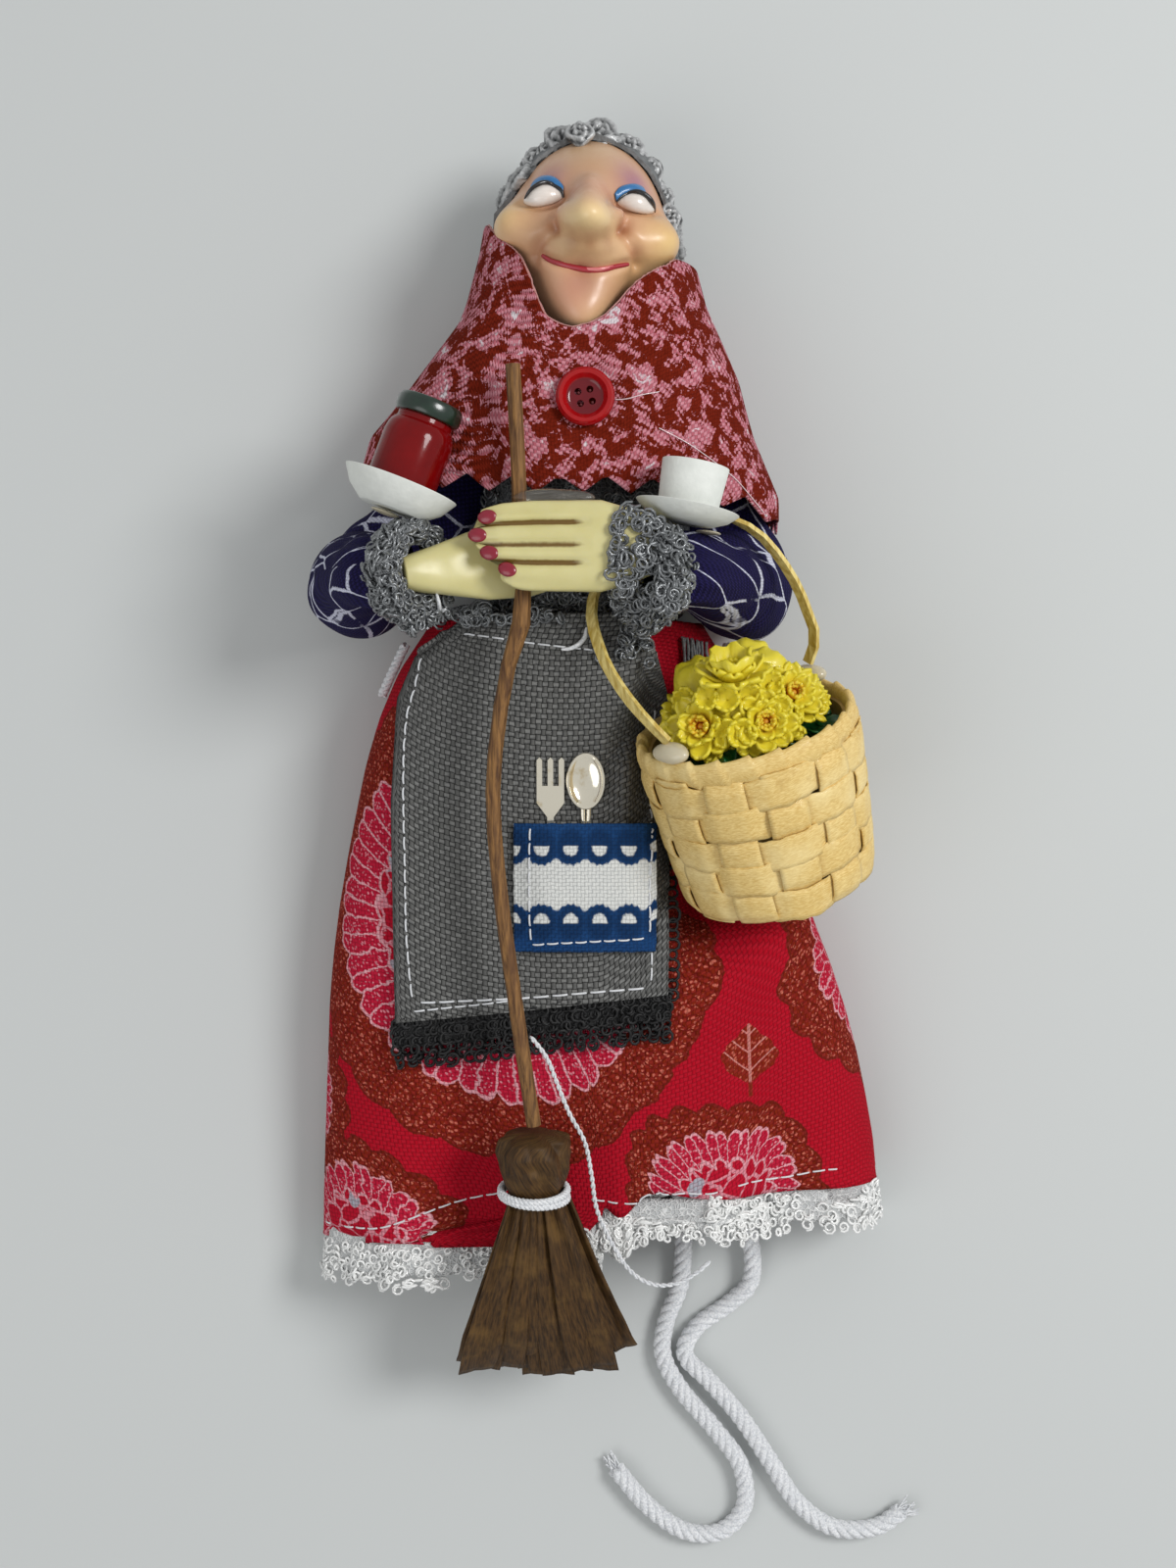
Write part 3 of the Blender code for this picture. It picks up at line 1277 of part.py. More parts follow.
def leg_route(side):
    """A leg cord from the hips, over the hem and across the surface; side +1 is the doll's left."""
    if side > 0:
        points = (
            (9.0, -12.0, 9.0), (14.0, -24.0, 4.6), (20.0, -44.0, 3.4), (26.5, -66.0, 3.4), (30.2, -82.0, 3.4),
            (31.4, -94.0, 3.2), (27.6, -99.2, 2.1), (21.0, -104.0, 2.1), (18.6, -109.4, 2.1), (23.4, -114.6, 2.1),
            (29.4, -121.6, 2.1), (35.0, -130.0, 2.1), (40.0, -137.6, 2.1), (47.0, -142.6, 2.1), (55.0, -142.6, 2.1),
            (60.0, -139.6, 2.1),
        )
    else:
        points = (
            (0.0, -12.0, 9.0), (3.6, -24.0, 4.6), (9.4, -44.0, 3.4), (15.0, -66.0, 3.4), (18.0, -82.0, 3.4),
            (17.8, -95.0, 2.6), (15.0, -103.0, 2.1), (14.4, -109.6, 2.1), (18.0, -116.4, 2.1), (24.0, -123.4, 2.1),
            (29.2, -130.6, 2.1), (30.0, -138.4, 2.1), (25.4, -143.4, 2.1), (18.4, -143.2, 2.1), (11.4, -138.4, 2.1),
            (5.4, -131.4, 2.1),
        )
    return [Vector(point) * MM for point in points]


def thread_route():
    """The broom's thread: from the apron's lace along the stick, past the tie and back up under the hem lace."""
    points = (
        (-10.1, -44.6, 35.9), (-7.4, -48.4, 34.0), (-5.6, -53.0, 32.6), (-3.4, -58.6, 31.6), (-0.6, -64.0, 30.8),
        (0.6, -70.0, 29.6), (1.6, -76.6, 28.2), (4.6, -83.4, 27.0), (8.0, -88.4, 26.2), (12.0, -90.6, 25.8),
        (16.0, -90.4, 25.8), (19.6, -88.4, 26.2), (22.0, -86.2, 26.6),
    )
    return [Vector(point) * MM for point in points]


def waist_ties(frame, looks):
    """The apron's strings, knotted at the back and out at each side of the waist."""
    for name, side in (("waist_tie_right", -1), ("waist_tie_left", 1)):
        left, right, _ = skirt_sizes(WAIST_Y - WAIST_TIE_DROP / 3)
        edge = left if side < 0 else right
        route = [
            Vector((edge + side * WAIST_TIE_OUT * out, WAIST_Y - WAIST_TIE_DROP * down, WAIST_TIE_Z * height))
            for out, down, height in ((1.0, 0.35, 1.0), (1.9, 0.85, 0.88), (2.9, 1.35, 0.67))
        ]
        points, _ = smooth_path(route, 6)
        tube(name, points, WAIST_TIE_RADIUS, looks["string"], frame, 2)


def main():
    clear_scene()
    looks = {
        "skin": material("painted moulding", (0.69, 0.42, 0.24), 0.45),
        "hair": material("moulded hair", (0.30, 0.31, 0.32), 0.55),
        "hand": material("moulded hands", (0.77, 0.71, 0.38), 0.4),
        "scarf": material("printed scarf", (0.36, 0.06, 0.05), 0.9),
        "button": material("red button", (0.55, 0.01, 0.01), 0.25),
        "sleeve": material("navy print", (0.02, 0.015, 0.07), 0.85),
        "grey_lace": material("grey lace", (0.16, 0.16, 0.16), 0.5),
        "dark_lace": material("bodice lace", (0.12, 0.12, 0.12), 0.7),
        "dark_cloth": material("inner cloth", (0.30, 0.28, 0.25), 0.9),
        "skirt": material("red print", (0.50, 0.02, 0.04), 0.9),
        "white_lace": material("white lace", (0.80, 0.80, 0.78), 0.6),
        "apron": material("grey weave", (0.18, 0.18, 0.19), 0.95),
        "black_lace": material("black lace", (0.01, 0.01, 0.01), 0.8),
        "pocket": material("blue and white print", (0.03, 0.08, 0.25), 0.9),
        "cutlery": material("plated metal", (0.80, 0.74, 0.58), 0.2, 1.0),
        "twig": material("bark", (0.13, 0.06, 0.02), 0.7),
        "paper": material("brown paper", (0.07, 0.04, 0.02), 0.85),
        "string": material("cotton string", (0.75, 0.74, 0.72), 0.9),
        "splint": material("wood splint", (0.72, 0.55, 0.22), 0.6),
        "cane": material("cane", (0.68, 0.48, 0.10), 0.45),
        "petal": material("yellow petals", (0.70, 0.62, 0.03), 0.5),
        "leaf": material("green leaves", (0.01, 0.07, 0.02), 0.4),
        "white_ware": material("white ware", (0.78, 0.80, 0.76), 0.7),
        "jar": material("red jar", (0.42, 0.005, 0.005), 0.3),
        "lid": material("green lid", (0.01, 0.05, 0.03), 0.35),
        "glue": material("clear glue", (0.62, 0.64, 0.64), 0.25),
        "wood": material("wood", (0.45, 0.30, 0.16), 0.7),
    }
    doll = empty("doll_frame", None, (-CENTRE_X, -CENTRE_Y, 0.0))

    roll = Euler((HEAD_TILT, 0.0, HEAD_ROLL)).to_quaternion()
    face = empty("head_frame", doll, (HEAD_X, CROWN_Y - HEAD_HALF_HEIGHT - HAIR_THICKNESS * 0.2, HEAD_Z), roll)
    skull = head(face, looks)
    hair(face, looks)
    _, socket, room = bodice(doll, looks)
    cut(skull, socket)
    neck_post(doll, looks)

    scarf(doll, looks)
    left, right = scarf_sizes(BUTTON_AT[1])
    rise = arch(BUTTON_AT[0], left, right, SCARF_TOP * 0.34, SCARF_TOP, 2.5)
    button(empty("button_at", doll, (*BUTTON_AT, rise + GAP)), looks)

    rooms = (room, skirt_room(doll, looks))
    sleeve("sleeve_left", 1, doll, looks["sleeve"], rooms)
    sleeve("sleeve_right", -1, doll, looks["sleeve"], rooms)
    cuff("cuff_left", 1, doll, looks["grey_lace"])
    cuff("cuff_right", -1, doll, looks["grey_lace"])
    hands(doll, looks)

    hips(doll, looks)
    skirt(doll, looks)
    hem_lace(doll, looks)
    apron(doll, looks)
    apron_lace(doll, looks)
    pocket(doll, looks)
    slope = Euler((pocket_slope(), 0.0, 0.0)).to_quaternion()
    for make, x, top_y in ((fork, FORK_X, FORK_TOP_Y), (spoon, SPOON_X, SPOON_TOP_Y)):
        base = apron_height(x, top_y) + CLOTH + GAP
        make(empty(make.__name__ + "_at", doll, (x, top_y, base), slope), looks)
    waist_ties(doll, looks)

    spot = broom(doll, looks)
    bristles(spot, looks)
    broom_tie(spot, looks)

    nest = basket_frame(doll)
    basket(nest, looks)
    leaves(nest, looks)
    flowers(nest, looks)
    handle(doll, looks)
    handle_glue(nest, looks)

    dish_set(doll, looks)
    cup_set(doll, looks)
    blob("hand_glue", HAND_GLUE_AT, HAND_GLUE_SIZE, looks["glue"], doll)

    for name, side in (("leg_cord_right", -1), ("leg_cord_left", 1)):
        points, length = smooth_path(leg_route(side), 26)
        print(f"{name} is {length / MM:.1f} mm long")
        tube(name, points, YARN_RADIUS, looks["string"], doll, 2)
    points, length = smooth_path(thread_route(), 22)
    print(f"broom_thread is {length / MM:.1f} mm long")
    tube("broom_thread", points, THREAD_RADIUS, looks["string"], doll, 2)


main()
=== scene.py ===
# %% [markdown]
# # An old-woman hanging doll, dressed for its portrait
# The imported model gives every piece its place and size. Here each one gets its finer form and finish: painted
# resin, printed cotton, lace, woven splint and brown paper. Everything is in metres, with Z up.

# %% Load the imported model
from contextlib import contextmanager
from math import atan2, cos, pi, radians, sin, sqrt
from random import Random

import bmesh
import bpy
from mathutils import Euler, Matrix, Vector, noise
from mathutils.bvhtree import BVHTree


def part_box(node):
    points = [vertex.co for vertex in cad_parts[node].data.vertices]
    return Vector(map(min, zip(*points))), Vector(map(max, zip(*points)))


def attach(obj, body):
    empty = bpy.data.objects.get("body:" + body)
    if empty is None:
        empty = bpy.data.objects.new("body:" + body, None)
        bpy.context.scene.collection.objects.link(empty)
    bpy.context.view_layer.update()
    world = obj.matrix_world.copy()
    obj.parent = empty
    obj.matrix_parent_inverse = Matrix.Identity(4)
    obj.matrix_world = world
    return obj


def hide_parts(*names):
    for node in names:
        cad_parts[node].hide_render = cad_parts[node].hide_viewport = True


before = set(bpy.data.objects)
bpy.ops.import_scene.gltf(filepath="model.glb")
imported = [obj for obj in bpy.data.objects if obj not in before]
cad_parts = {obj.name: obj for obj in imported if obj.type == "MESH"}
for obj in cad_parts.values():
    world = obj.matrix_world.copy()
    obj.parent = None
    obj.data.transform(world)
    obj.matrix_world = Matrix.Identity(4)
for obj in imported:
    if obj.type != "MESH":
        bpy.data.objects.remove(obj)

MM = 0.001
CENTRE = Vector((1.7, 5.55, 0.0)) * MM
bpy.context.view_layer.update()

# %% [markdown]
# ## Camera
# The doll was photographed from straight above. The picture's middle lies at the drawn origin, so a camera
# 420 mm over that point, looking down, sees the same crop. The picture has 1200 by 1600 points, and one point
# is 0.18 mm wide at 400 mm from the lens.

# %% Camera over the doll
PICTURE_MIDDLE = (600, 800)
CAMERA_HEIGHT, FOCUS, POINT = 420, 400, 0.18


def at(x, y, z=0.0):
    """A place drawn in millimetres, as a point in the model's frame."""
    return Vector((x, y, z)) * MM - CENTRE


lens = bpy.data.cameras.new("camera")
lens.lens = 50
lens.sensor_width = 36
lens.sensor_fit = "AUTO"
camera = bpy.data.objects.new("camera", lens)
bpy.context.collection.objects.link(camera)
camera.location = at(0, 0, CAMERA_HEIGHT)
bpy.context.scene.camera = camera
bpy.context.scene.view_settings.view_transform = "Standard"
print("camera at", [round(value, 4) for value in camera.location])

# %% [markdown]
# ## Cords
# Cotton yarn is several plies twisted together, so a plain tube never looks like it. Each ply is a curve that
# winds round the cord's line, with a round bevel. The plies become one mesh, and the cord's length is measured
# along its line.

# %% A smooth line through a few points


def smooth_path(route, steps):
    """Evenly spaced points of a Catmull-Rom curve through a route, and its length."""
    knots = [2 * route[0] - route[1], *route, 2 * route[-1] - route[-2]]
    dense = []
    for i in range(1, len(knots) - 2):
        before, start, end, after = knots[i - 1 : i + 3]
        for k in range(24):
            t = k / 24
            bend = (2 * before - 5 * start + 4 * end - after) * t * t
            tail = (3 * start - before - 3 * end + after) * t * t * t
            dense.append(0.5 * (2 * start + (end - before) * t + bend + tail))
    dense.append(route[-1].copy())
    lengths = [0.0]
    for first, second in zip(dense, dense[1:]):
        lengths.append(lengths[-1] + (second - first).length)
    points = []
    place = 0
    for k in range(steps + 1):
        goal = lengths[-1] * k / steps
        while place < len(dense) - 2 and lengths[place + 1] < goal:
            place += 1
        span = lengths[place + 1] - lengths[place]
        points.append(dense[place].lerp(dense[place + 1], (goal - lengths[place]) / max(span, 1e-9)))
    return points, lengths[-1]


# %% Threads: many thin bevelled lines as one mesh


def linked(name, data):
    made = bpy.data.objects.new(name, data)
    bpy.context.collection.objects.link(made)
    return made


def as_mesh(thing):
    """Turns a curve object into a mesh object of the same name."""
    graph = bpy.context.evaluated_depsgraph_get()
    mesh = bpy.data.meshes.new_from_object(thing.evaluated_get(graph))
    name = thing.name
    curve = thing.data
    bpy.data.objects.remove(thing, do_unlink=True)
    bpy.data.curves.remove(curve)
    return linked(name, mesh)


def threads(name, lines, radius, sides=1, closed=False, taper=None):
    """One mesh of many round threads; taper gives a thread's thickness from its start to its end."""
    curve = bpy.data.curves.new(name, "CURVE")
    curve.dimensions = "3D"
    curve.bevel_depth = radius
    curve.bevel_resolution = sides
    curve.use_fill_caps = True
    for points in lines:
        spline = curve.splines.new("POLY")
        spline.points.add(len(points) - 1)
        spline.use_cyclic_u = closed
        for i, point in enumerate(points):
            spline.points[i].co = (*point, 1.0)
            spline.points[i].radius = 1.0 if taper is None else taper(i / (len(points) - 1))
    made = as_mesh(linked(name, curve))
    made.data.shade_smooth()
    return made


def frames_along(points):
    """A side and an up direction at each point, carried along without twist."""
    way = (points[1] - points[0]).normalized()
    side = way.orthogonal().normalized()
    found = []
    for i in range(len(points)):
        new_way = (points[min(i + 1, len(points) - 1)] - points[max(i - 1, 0)]).normalized()
        side = way.rotation_difference(new_way) @ side
        way = new_way
        found.append((side.copy(), way.cross(side)))
    return found


def yarn(name, points, radius, plies, pitch, sides=2):
    """Plies twisted round a line: pitch is the length of one turn."""
    sideways = frames_along(points)
    ply_radius = radius * (0.42 if plies == 4 else 0.5)
    lines = []
    for ply in range(plies):
        run = 0.0
        line = []
        for i, point in enumerate(points):
            run += (point - points[i - 1]).length if i else 0.0
            turn = 2 * pi * (run / pitch + ply / plies)
            side, up = sideways[i]
            line.append(point + (side * cos(turn) + up * sin(turn)) * (radius - ply_radius))
        lines.append(line)
    return threads(name, lines, ply_radius, sides)


# %% The two leg cords and the broom's thread
YARN = 1.8 * MM
THREAD = 0.45 * MM
leg_left_route = [at(*p) for p in (
    (9.0, -12.0, 9.0), (14.0, -24.0, 4.6), (20.0, -44.0, 3.4), (26.5, -66.0, 3.4), (30.2, -82.0, 3.4),
    (31.4, -94.0, 3.2), (27.6, -99.2, 2.1), (21.0, -104.0, 2.1), (18.6, -109.4, 2.1), (23.4, -114.6, 2.1),
    (29.4, -121.6, 2.1), (35.0, -130.0, 2.1), (40.0, -137.6, 2.1), (47.0, -142.6, 2.1), (55.0, -142.6, 2.1),
    (60.0, -139.6, 2.1),
)]
leg_right_route = [at(*p) for p in (
    (0.0, -12.0, 9.0), (3.6, -24.0, 4.6), (9.4, -44.0, 3.4), (15.0, -66.0, 3.4), (18.0, -82.0, 3.4),
    (17.8, -95.0, 2.6), (15.0, -103.0, 2.1), (14.4, -109.6, 2.1), (18.0, -116.4, 2.1), (24.0, -123.4, 2.1),
    (29.2, -130.6, 2.1), (30.0, -138.4, 2.1), (25.4, -143.4, 2.1), (18.4, -143.2, 2.1), (11.4, -138.4, 2.1),
    (5.4, -131.4, 2.1),
)]
thread_route = [at(*p) for p in (
    (-10.1, -44.6, 35.9), (-7.4, -48.4, 34.0), (-5.6, -53.0, 32.6), (-3.4, -58.6, 31.6), (-0.6, -64.0, 30.8),
    (0.6, -70.0, 29.6), (1.6, -76.6, 28.2), (4.6, -83.4, 27.0), (8.0, -88.4, 26.2), (12.0, -90.6, 25.8),
    (16.0, -90.4, 25.8), (19.6, -88.4, 26.2), (22.0, -86.2, 26.6),
)]
cords = {}
for name, route, radius, plies, pitch, far_end in (
    ("leg_left", leg_left_route, YARN, 4, 8.0 * MM, "bare"),
    ("leg_right", leg_right_route, YARN, 4, 8.0 * MM, "bare"),
    ("thread", thread_route, THREAD, 2, 2.6 * MM, "object"),
):
    line, length = smooth_path(route, 180)
    cord = yarn(name, line, radius, plies, pitch)
    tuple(route[0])
    cords[name] = cord
    print(name, "is", round(length / MM, 1), "mm long, of", len(cord.data.polygons), "faces")

# %% [markdown]
# ## Floor, backdrop and light
# The doll lies on a white surface that photographs as a pale grey. The grey is the floor's own colour, so the
# lamps can stay at a plain level at which each finish shows about the colour that it is given.

# %% Colours from a paint chart


def paint(code):
    """A colour written as six hex digits, turned into the linear values that a shader wants."""
    values = [int(code[i : i + 2], 16) / 255 for i in (0, 2, 4)]
    linear = [v / 12.92 if v <= 0.04045 else ((v + 0.055) / 1.055) ** 2.4 for v in values]
    return (*linear, 1.0)


# %% Small helpers for nodes


def new_look(name, roughness=0.6, **values):
    """A material with its tree and Principled shader; values are set on the shader's own sockets."""
    look = bpy.data.materials.new(name)
    look.use_nodes = True
    shader = look.node_tree.nodes["Principled BSDF"]
    shader.inputs["Roughness"].default_value = roughness
    for socket, value in values.items():
        shader.inputs[socket.replace("_", " ")].default_value = value
    return look, look.node_tree, shader


def feed(tree, socket, value):
    """Links a socket's source, or sets its value."""
    if isinstance(value, bpy.types.NodeSocket):
        tree.links.new(value, socket)
    else:
        socket.default_value = value


def calc(tree, operation, *values):
    node = tree.nodes.new("ShaderNodeMath")
    node.operation = operation
    for socket, value in zip(node.inputs, values):
        feed(tree, socket, value)
    return node.outputs[0]


def plus(tree, first, second):
    return calc(tree, "ADD", first, second)


def minus(tree, first, second):
    return calc(tree, "SUBTRACT", first, second)


def times(tree, first, second):
    return calc(tree, "MULTIPLY", first, second)


def humps(tree, value):
    """A row of equal humps from 0 to 1: the size of a value's sine."""
    return calc(tree, "ABSOLUTE", calc(tree, "SINE", value))


def jitter(tree, vector, scale, reach, detail=3.0):
    """Noise round zero, as wide as reach."""
    return times(tree, minus(tree, cloud(tree, vector, scale, detail), 0.5), reach)


def blend(tree, factor, first, second):
    """Mixes two colours."""
    node = tree.nodes.new("ShaderNodeMix")
    node.data_type = "RGBA"
    feed(tree, node.inputs[0], factor)
    feed(tree, node.inputs[6], first)
    feed(tree, node.inputs[7], second)
    return node.outputs[2]


def span(tree, value, low, high, start=0.0, end=1.0):
    """Maps low..high of a value onto start..end, with a smooth step."""
    node = tree.nodes.new("ShaderNodeMapRange")
    node.interpolation_type = "SMOOTHSTEP"
    for socket, number in zip(node.inputs, (value, low, high, start, end)):
        feed(tree, socket, number)
    return node.outputs[0]


def place(tree, source="Object", scale=(1, 1, 1)):
    """Texture coordinates of the piece, scaled."""
    node = tree.nodes.new("ShaderNodeTexCoord")
    mapping = tree.nodes.new("ShaderNodeMapping")
    mapping.inputs["Scale"].default_value = scale
    tree.links.new(node.outputs[source], mapping.inputs["Vector"])
    return mapping.outputs[0]


def cloud(tree, vector, scale, detail=3.0, rough=0.55, twist=0.0):
    """Noise from 0 to 1."""
    node = tree.nodes.new("ShaderNodeTexNoise")
    for socket, value in (
        ("Vector", vector), ("Scale", scale), ("Detail", detail), ("Roughness", rough), ("Distortion", twist),
    ):
        feed(tree, node.inputs[socket], value)
    return node.outputs["Fac"]


def cells(tree, vector, scale, feature="F1"):
    """Distances in a field of scattered points."""
    node = tree.nodes.new("ShaderNodeTexVoronoi")
    node.feature = feature
    feed(tree, node.inputs["Vector"], vector)
    feed(tree, node.inputs["Scale"], scale)
    return node.outputs["Distance"]


def raise_surface(tree, shader, height, distance, strength=1.0):
    """Feeds a height into the shader's normal, after any bump that is there already."""
    node = tree.nodes.new("ShaderNodeBump")
    node.inputs["Distance"].default_value = distance
    node.inputs["Strength"].default_value = strength
    if shader.inputs["Normal"].is_linked:
        tree.links.new(shader.inputs["Normal"].links[0].from_socket, node.inputs["Normal"])
    feed(tree, node.inputs["Height"], height)
    tree.links.new(node.outputs[0], shader.inputs["Normal"])


def colour(tree, shader, value):
    feed(tree, shader.inputs["Base Color"], value)


def painted(tree, name):
    """The outputs of a node that reads what was painted on a piece's vertices."""
    node = tree.nodes.new("ShaderNodeAttribute")
    node.attribute_name = name
    return node.outputs


def mottled(name, roughness, codes, tint, bump, depth, strength, **values):
    """A look of two mottled colours over a fine bump: tint and bump are the scale and detail of a noise."""
    look, tree, shader = new_look(name, roughness, **values)
    vector = place(tree)
    dark, light = (paint(code) for code in codes)
    colour(tree, shader, blend(tree, cloud(tree, vector, *tint), dark, light))
    raise_surface(tree, shader, cloud(tree, vector, *bump), depth * MM, strength)
    return look, tree, shader


def finish_node(node, look):
    """Gives a finish to a CAD node that stays in view."""
    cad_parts[node].material_slots[0].material = look


# %% Small helpers for meshes


def piece_from(name, build, smooth=True):
    """Turns a finished bmesh into a piece."""
    mesh = bpy.data.meshes.new(name)
    build.to_mesh(mesh)
    build.free()
    if smooth:
        mesh.shade_smooth()
    return linked(name, mesh)


@contextmanager
def reshaping(mesh):
    """Opens a mesh as a bmesh, and writes the changes back to it."""
    build = bmesh.new()
    build.from_mesh(mesh)
    yield build
    build.to_mesh(mesh)
    build.free()


def relax(build, verts, count):
    """Evens out some vertices, a number of times."""
    for _ in range(count):
        bmesh.ops.smooth_vert(
            build, verts=verts, factor=0.5, use_axis_x=True, use_axis_y=True, use_axis_z=True
        )


def weld(build, reach):
    bmesh.ops.remove_doubles(build, verts=build.verts, dist=reach)


def close_holes(build):
    bmesh.ops.holes_fill(build, edges=[edge for edge in build.edges if edge.is_boundary], sides=0)


def upright(way):
    """The turn that brings Z to a direction."""
    side = way.orthogonal().normalized()
    return Matrix((side, way.cross(side), way)).transposed()


def standing(spot, way):
    """The matrix of a thing that stands at a place and points in a direction."""
    return Matrix.Translation(spot) @ upright(way).to_4x4()


# %% The surface that the doll lies on
floor_look, tree, shader = new_look("pale floor", 0.8)
shader.inputs["Base Color"].default_value = paint("c4c7c6")
build = bmesh.new()
bmesh.ops.create_grid(build, x_segments=1, y_segments=1, size=3.0)
floor = piece_from("floor", build)
floor.data.transform(Matrix.Translation((0, 0, -0.05 * MM)))
floor.data.materials.append(floor_look)

# %% Soft studio light
world = bpy.data.worlds.new("studio")
bpy.context.scene.world = world
world.use_nodes = True
sky = world.node_tree.nodes["Background"]
sky.inputs["Color"].default_value = (0.98, 0.99, 1.0, 1.0)
sky.inputs["Strength"].default_value = 0.50


def lamp(name, where, aim, size, power):
    light = bpy.data.lights.new(name, "AREA")
    light.shape = "DISK"
    light.size = size
    light.energy = power
    made = linked(name, light)
    made.location = where
    made.rotation_euler = (Vector(aim) - Vector(where)).to_track_quat("-Z", "Y").to_euler()


lamp("key", (0.55, 0.22, 0.72), (0, 0, 0.02), 0.35, 5.0)
lamp("fill", (-0.45, -0.30, 0.65), (0, 0, 0.02), 0.6, 1.2)
print("stage and light are ready")

# %% [markdown]
# ## Cloth
# Every fabric here is one sheet: a grid whose points are moved onto the form that the doll's body gives it,
# and which then gets its thickness from a Solidify modifier. Its UV map is measured in metres along the
# cloth, so a weave or a print keeps its true size however the cloth bends.

# %% A sheet laid on a form


def measured(build, columns, rows, calm=0):
    """Lays a UV map in metres on a grid: lengths down its columns, and along its rows, averaged over some."""
    verts = build.verts
    grid = [[verts[r * (columns + 1) + c] for c in range(columns + 1)] for r in range(rows + 1)]
    spots = {}
    for r, row in enumerate(grid):
        middle = columns // 2
        along = [0.0]
        for first, second in zip(row, row[1:]):
            along.append(along[-1] + (second.co - first.co).length)
        for c, vert in enumerate(row):
            spots[vert.index] = [along[c] - along[middle], 0.0]
    across = {index: spot[0] for index, spot in spots.items()}
    for c in range(columns + 1):
        for r in range(rows + 1):
            near = [across[grid[k][c].index] for k in range(max(0, r - calm), min(rows, r + calm) + 1)]
            spots[grid[r][c].index][0] = sum(near) / len(near)
    for c in range(columns + 1):
        down = 0.0
        for r in range(rows + 1):
            if r:
                down += (grid[r][c].co - grid[r - 1][c].co).length
            spots[grid[r][c].index][1] = down
    layer = build.loops.layers.uv.new("cloth")
    for face in build.faces:
        for loop in face.loops:
            loop[layer].uv = spots[loop.vert.index]


def thicken(piece, thickness):
    """Gives a sheet its thickness, inward from its face."""
    shell = piece.modifiers.new("thickness", "SOLIDIFY")
    shell.thickness = thickness


def cloth(name, columns, rows, spot, thickness=0.45 * MM, ease=0, wrap=False, calm=0):
    """A sheet of cloth; spot(u, v) gives the place for shares across and down it."""
    build = bmesh.new()
    bmesh.ops.create_grid(build, x_segments=columns, y_segments=rows, size=0.5)
    build.verts.ensure_lookup_table()
    for vert in build.verts:
        vert.co = spot(vert.co.x + 0.5, vert.co.y + 0.5)
    relax(build, [vert for vert in build.verts if not vert.is_boundary], ease)
    measured(build, columns, rows, calm)
    if wrap:
        weld(build, 0.02 * MM)
    made = piece_from(name, build)
    if thickness:
        thicken(made, thickness)
    return made


def dress(piece, look, nodes=(), body="doll"):
    """Gives a piece its finish and its body, and hides the CAD nodes that it stands for."""
    if look is not None:
        piece.data.materials.clear()
        piece.data.materials.append(look)
    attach(piece, body)
    if nodes:
        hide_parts(*nodes)
    return piece


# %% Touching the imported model's surfaces


def probe(node):
    """A tree of a CAD node's surface, to send rays at."""
    build = bmesh.new()
    build.from_mesh(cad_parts[node].data)
    tree = BVHTree.FromBMesh(build)
    build.free()
    return tree


def top_at(tree, x, y, fallback=0.0):
    """The height of a surface over a place."""
    hit = tree.ray_cast(Vector((x, y, 0.3)), Vector((0, 0, -1)))[0]
    if hit is None:
        near = tree.find_nearest(Vector((x, y, fallback)))[0]
        return near.z
    return hit.z


def outer_at(tree, centre, way, reach=0.14):
    """The outermost point of a surface on a line out from a centre."""
    return tree.ray_cast(centre + way * reach, -way, reach)[0]


def between(shares, place):
    """The value at a place along a list of (place, value) shares."""
    for (start, first), (end, last) in zip(shares, shares[1:]):
        if place <= end:
            return first + (last - first) * max(0.0, place - start) / (end - start)
    return shares[-1][1]


def rounded(angle, power):
    """The unit superellipse's point at an angle."""
    c, s = cos(angle), sin(angle)
    x = abs(c) ** (2 / power) * (1 if c >= 0 else -1)
    z = abs(s) ** (2 / power) * (1 if s >= 0 else -1)
    return x, z


# %% [markdown]
# ## Weave
# A plain weave is threads that pass over and under each other in turn. One node group makes it for every
# cloth: in each square of a checker either the warp or the weft bulges, across its own run.

# %% The weave group


def new_group(name, inputs, outputs):
    tree = bpy.data.node_groups.new(name, "ShaderNodeTree")
    for label, kind in inputs:
        tree.interface.new_socket(label, in_out="INPUT", socket_type=kind)
    for label, kind in outputs:
        tree.interface.new_socket(label, in_out="OUTPUT", socket_type=kind)
    return tree, tree.nodes.new("NodeGroupInput"), tree.nodes.new("NodeGroupOutput")


def use(tree, group, **values):
    """Places a node group in a material, with its own values."""
    node = tree.nodes.new("ShaderNodeGroup")
    node.node_tree = group
    for label, value in values.items():
        feed(tree, node.inputs[label.replace("_", " ")], value)
    return node.outputs


def split(tree, vector):
    node = tree.nodes.new("ShaderNodeSeparateXYZ")
    tree.links.new(vector, node.inputs[0])
    return node.outputs[0], node.outputs[1], node.outputs[2]


FLOAT, VECTOR, COLOUR = "NodeSocketFloat", "NodeSocketVector", "NodeSocketColor"
weave, given, found = new_group(
    "weave", (("Vector", VECTOR), ("Threads", FLOAT), ("Slub", FLOAT)), (("Height", FLOAT), ("Over", FLOAT)),
)
wobble = times(weave, cloud(weave, given.outputs["Vector"], 900.0, 2.0), given.outputs["Slub"])
across, down, _ = split(weave, given.outputs["Vector"])
warp = plus(weave, times(weave, across, given.outputs["Threads"]), wobble)
weft = plus(weave, times(weave, down, given.outputs["Threads"]), wobble)
swell_warp = humps(weave, times(weave, warp, pi))
swell_weft = humps(weave, times(weave, weft, pi))
square = plus(weave, calc(weave, "FLOOR", warp), calc(weave, "FLOOR", weft))
over = calc(weave, "FLOORED_MODULO", square, 2.0)
turned_down = minus(weave, 1.0, over)
height = plus(weave, times(weave, swell_warp, turned_down), times(weave, swell_weft, over))
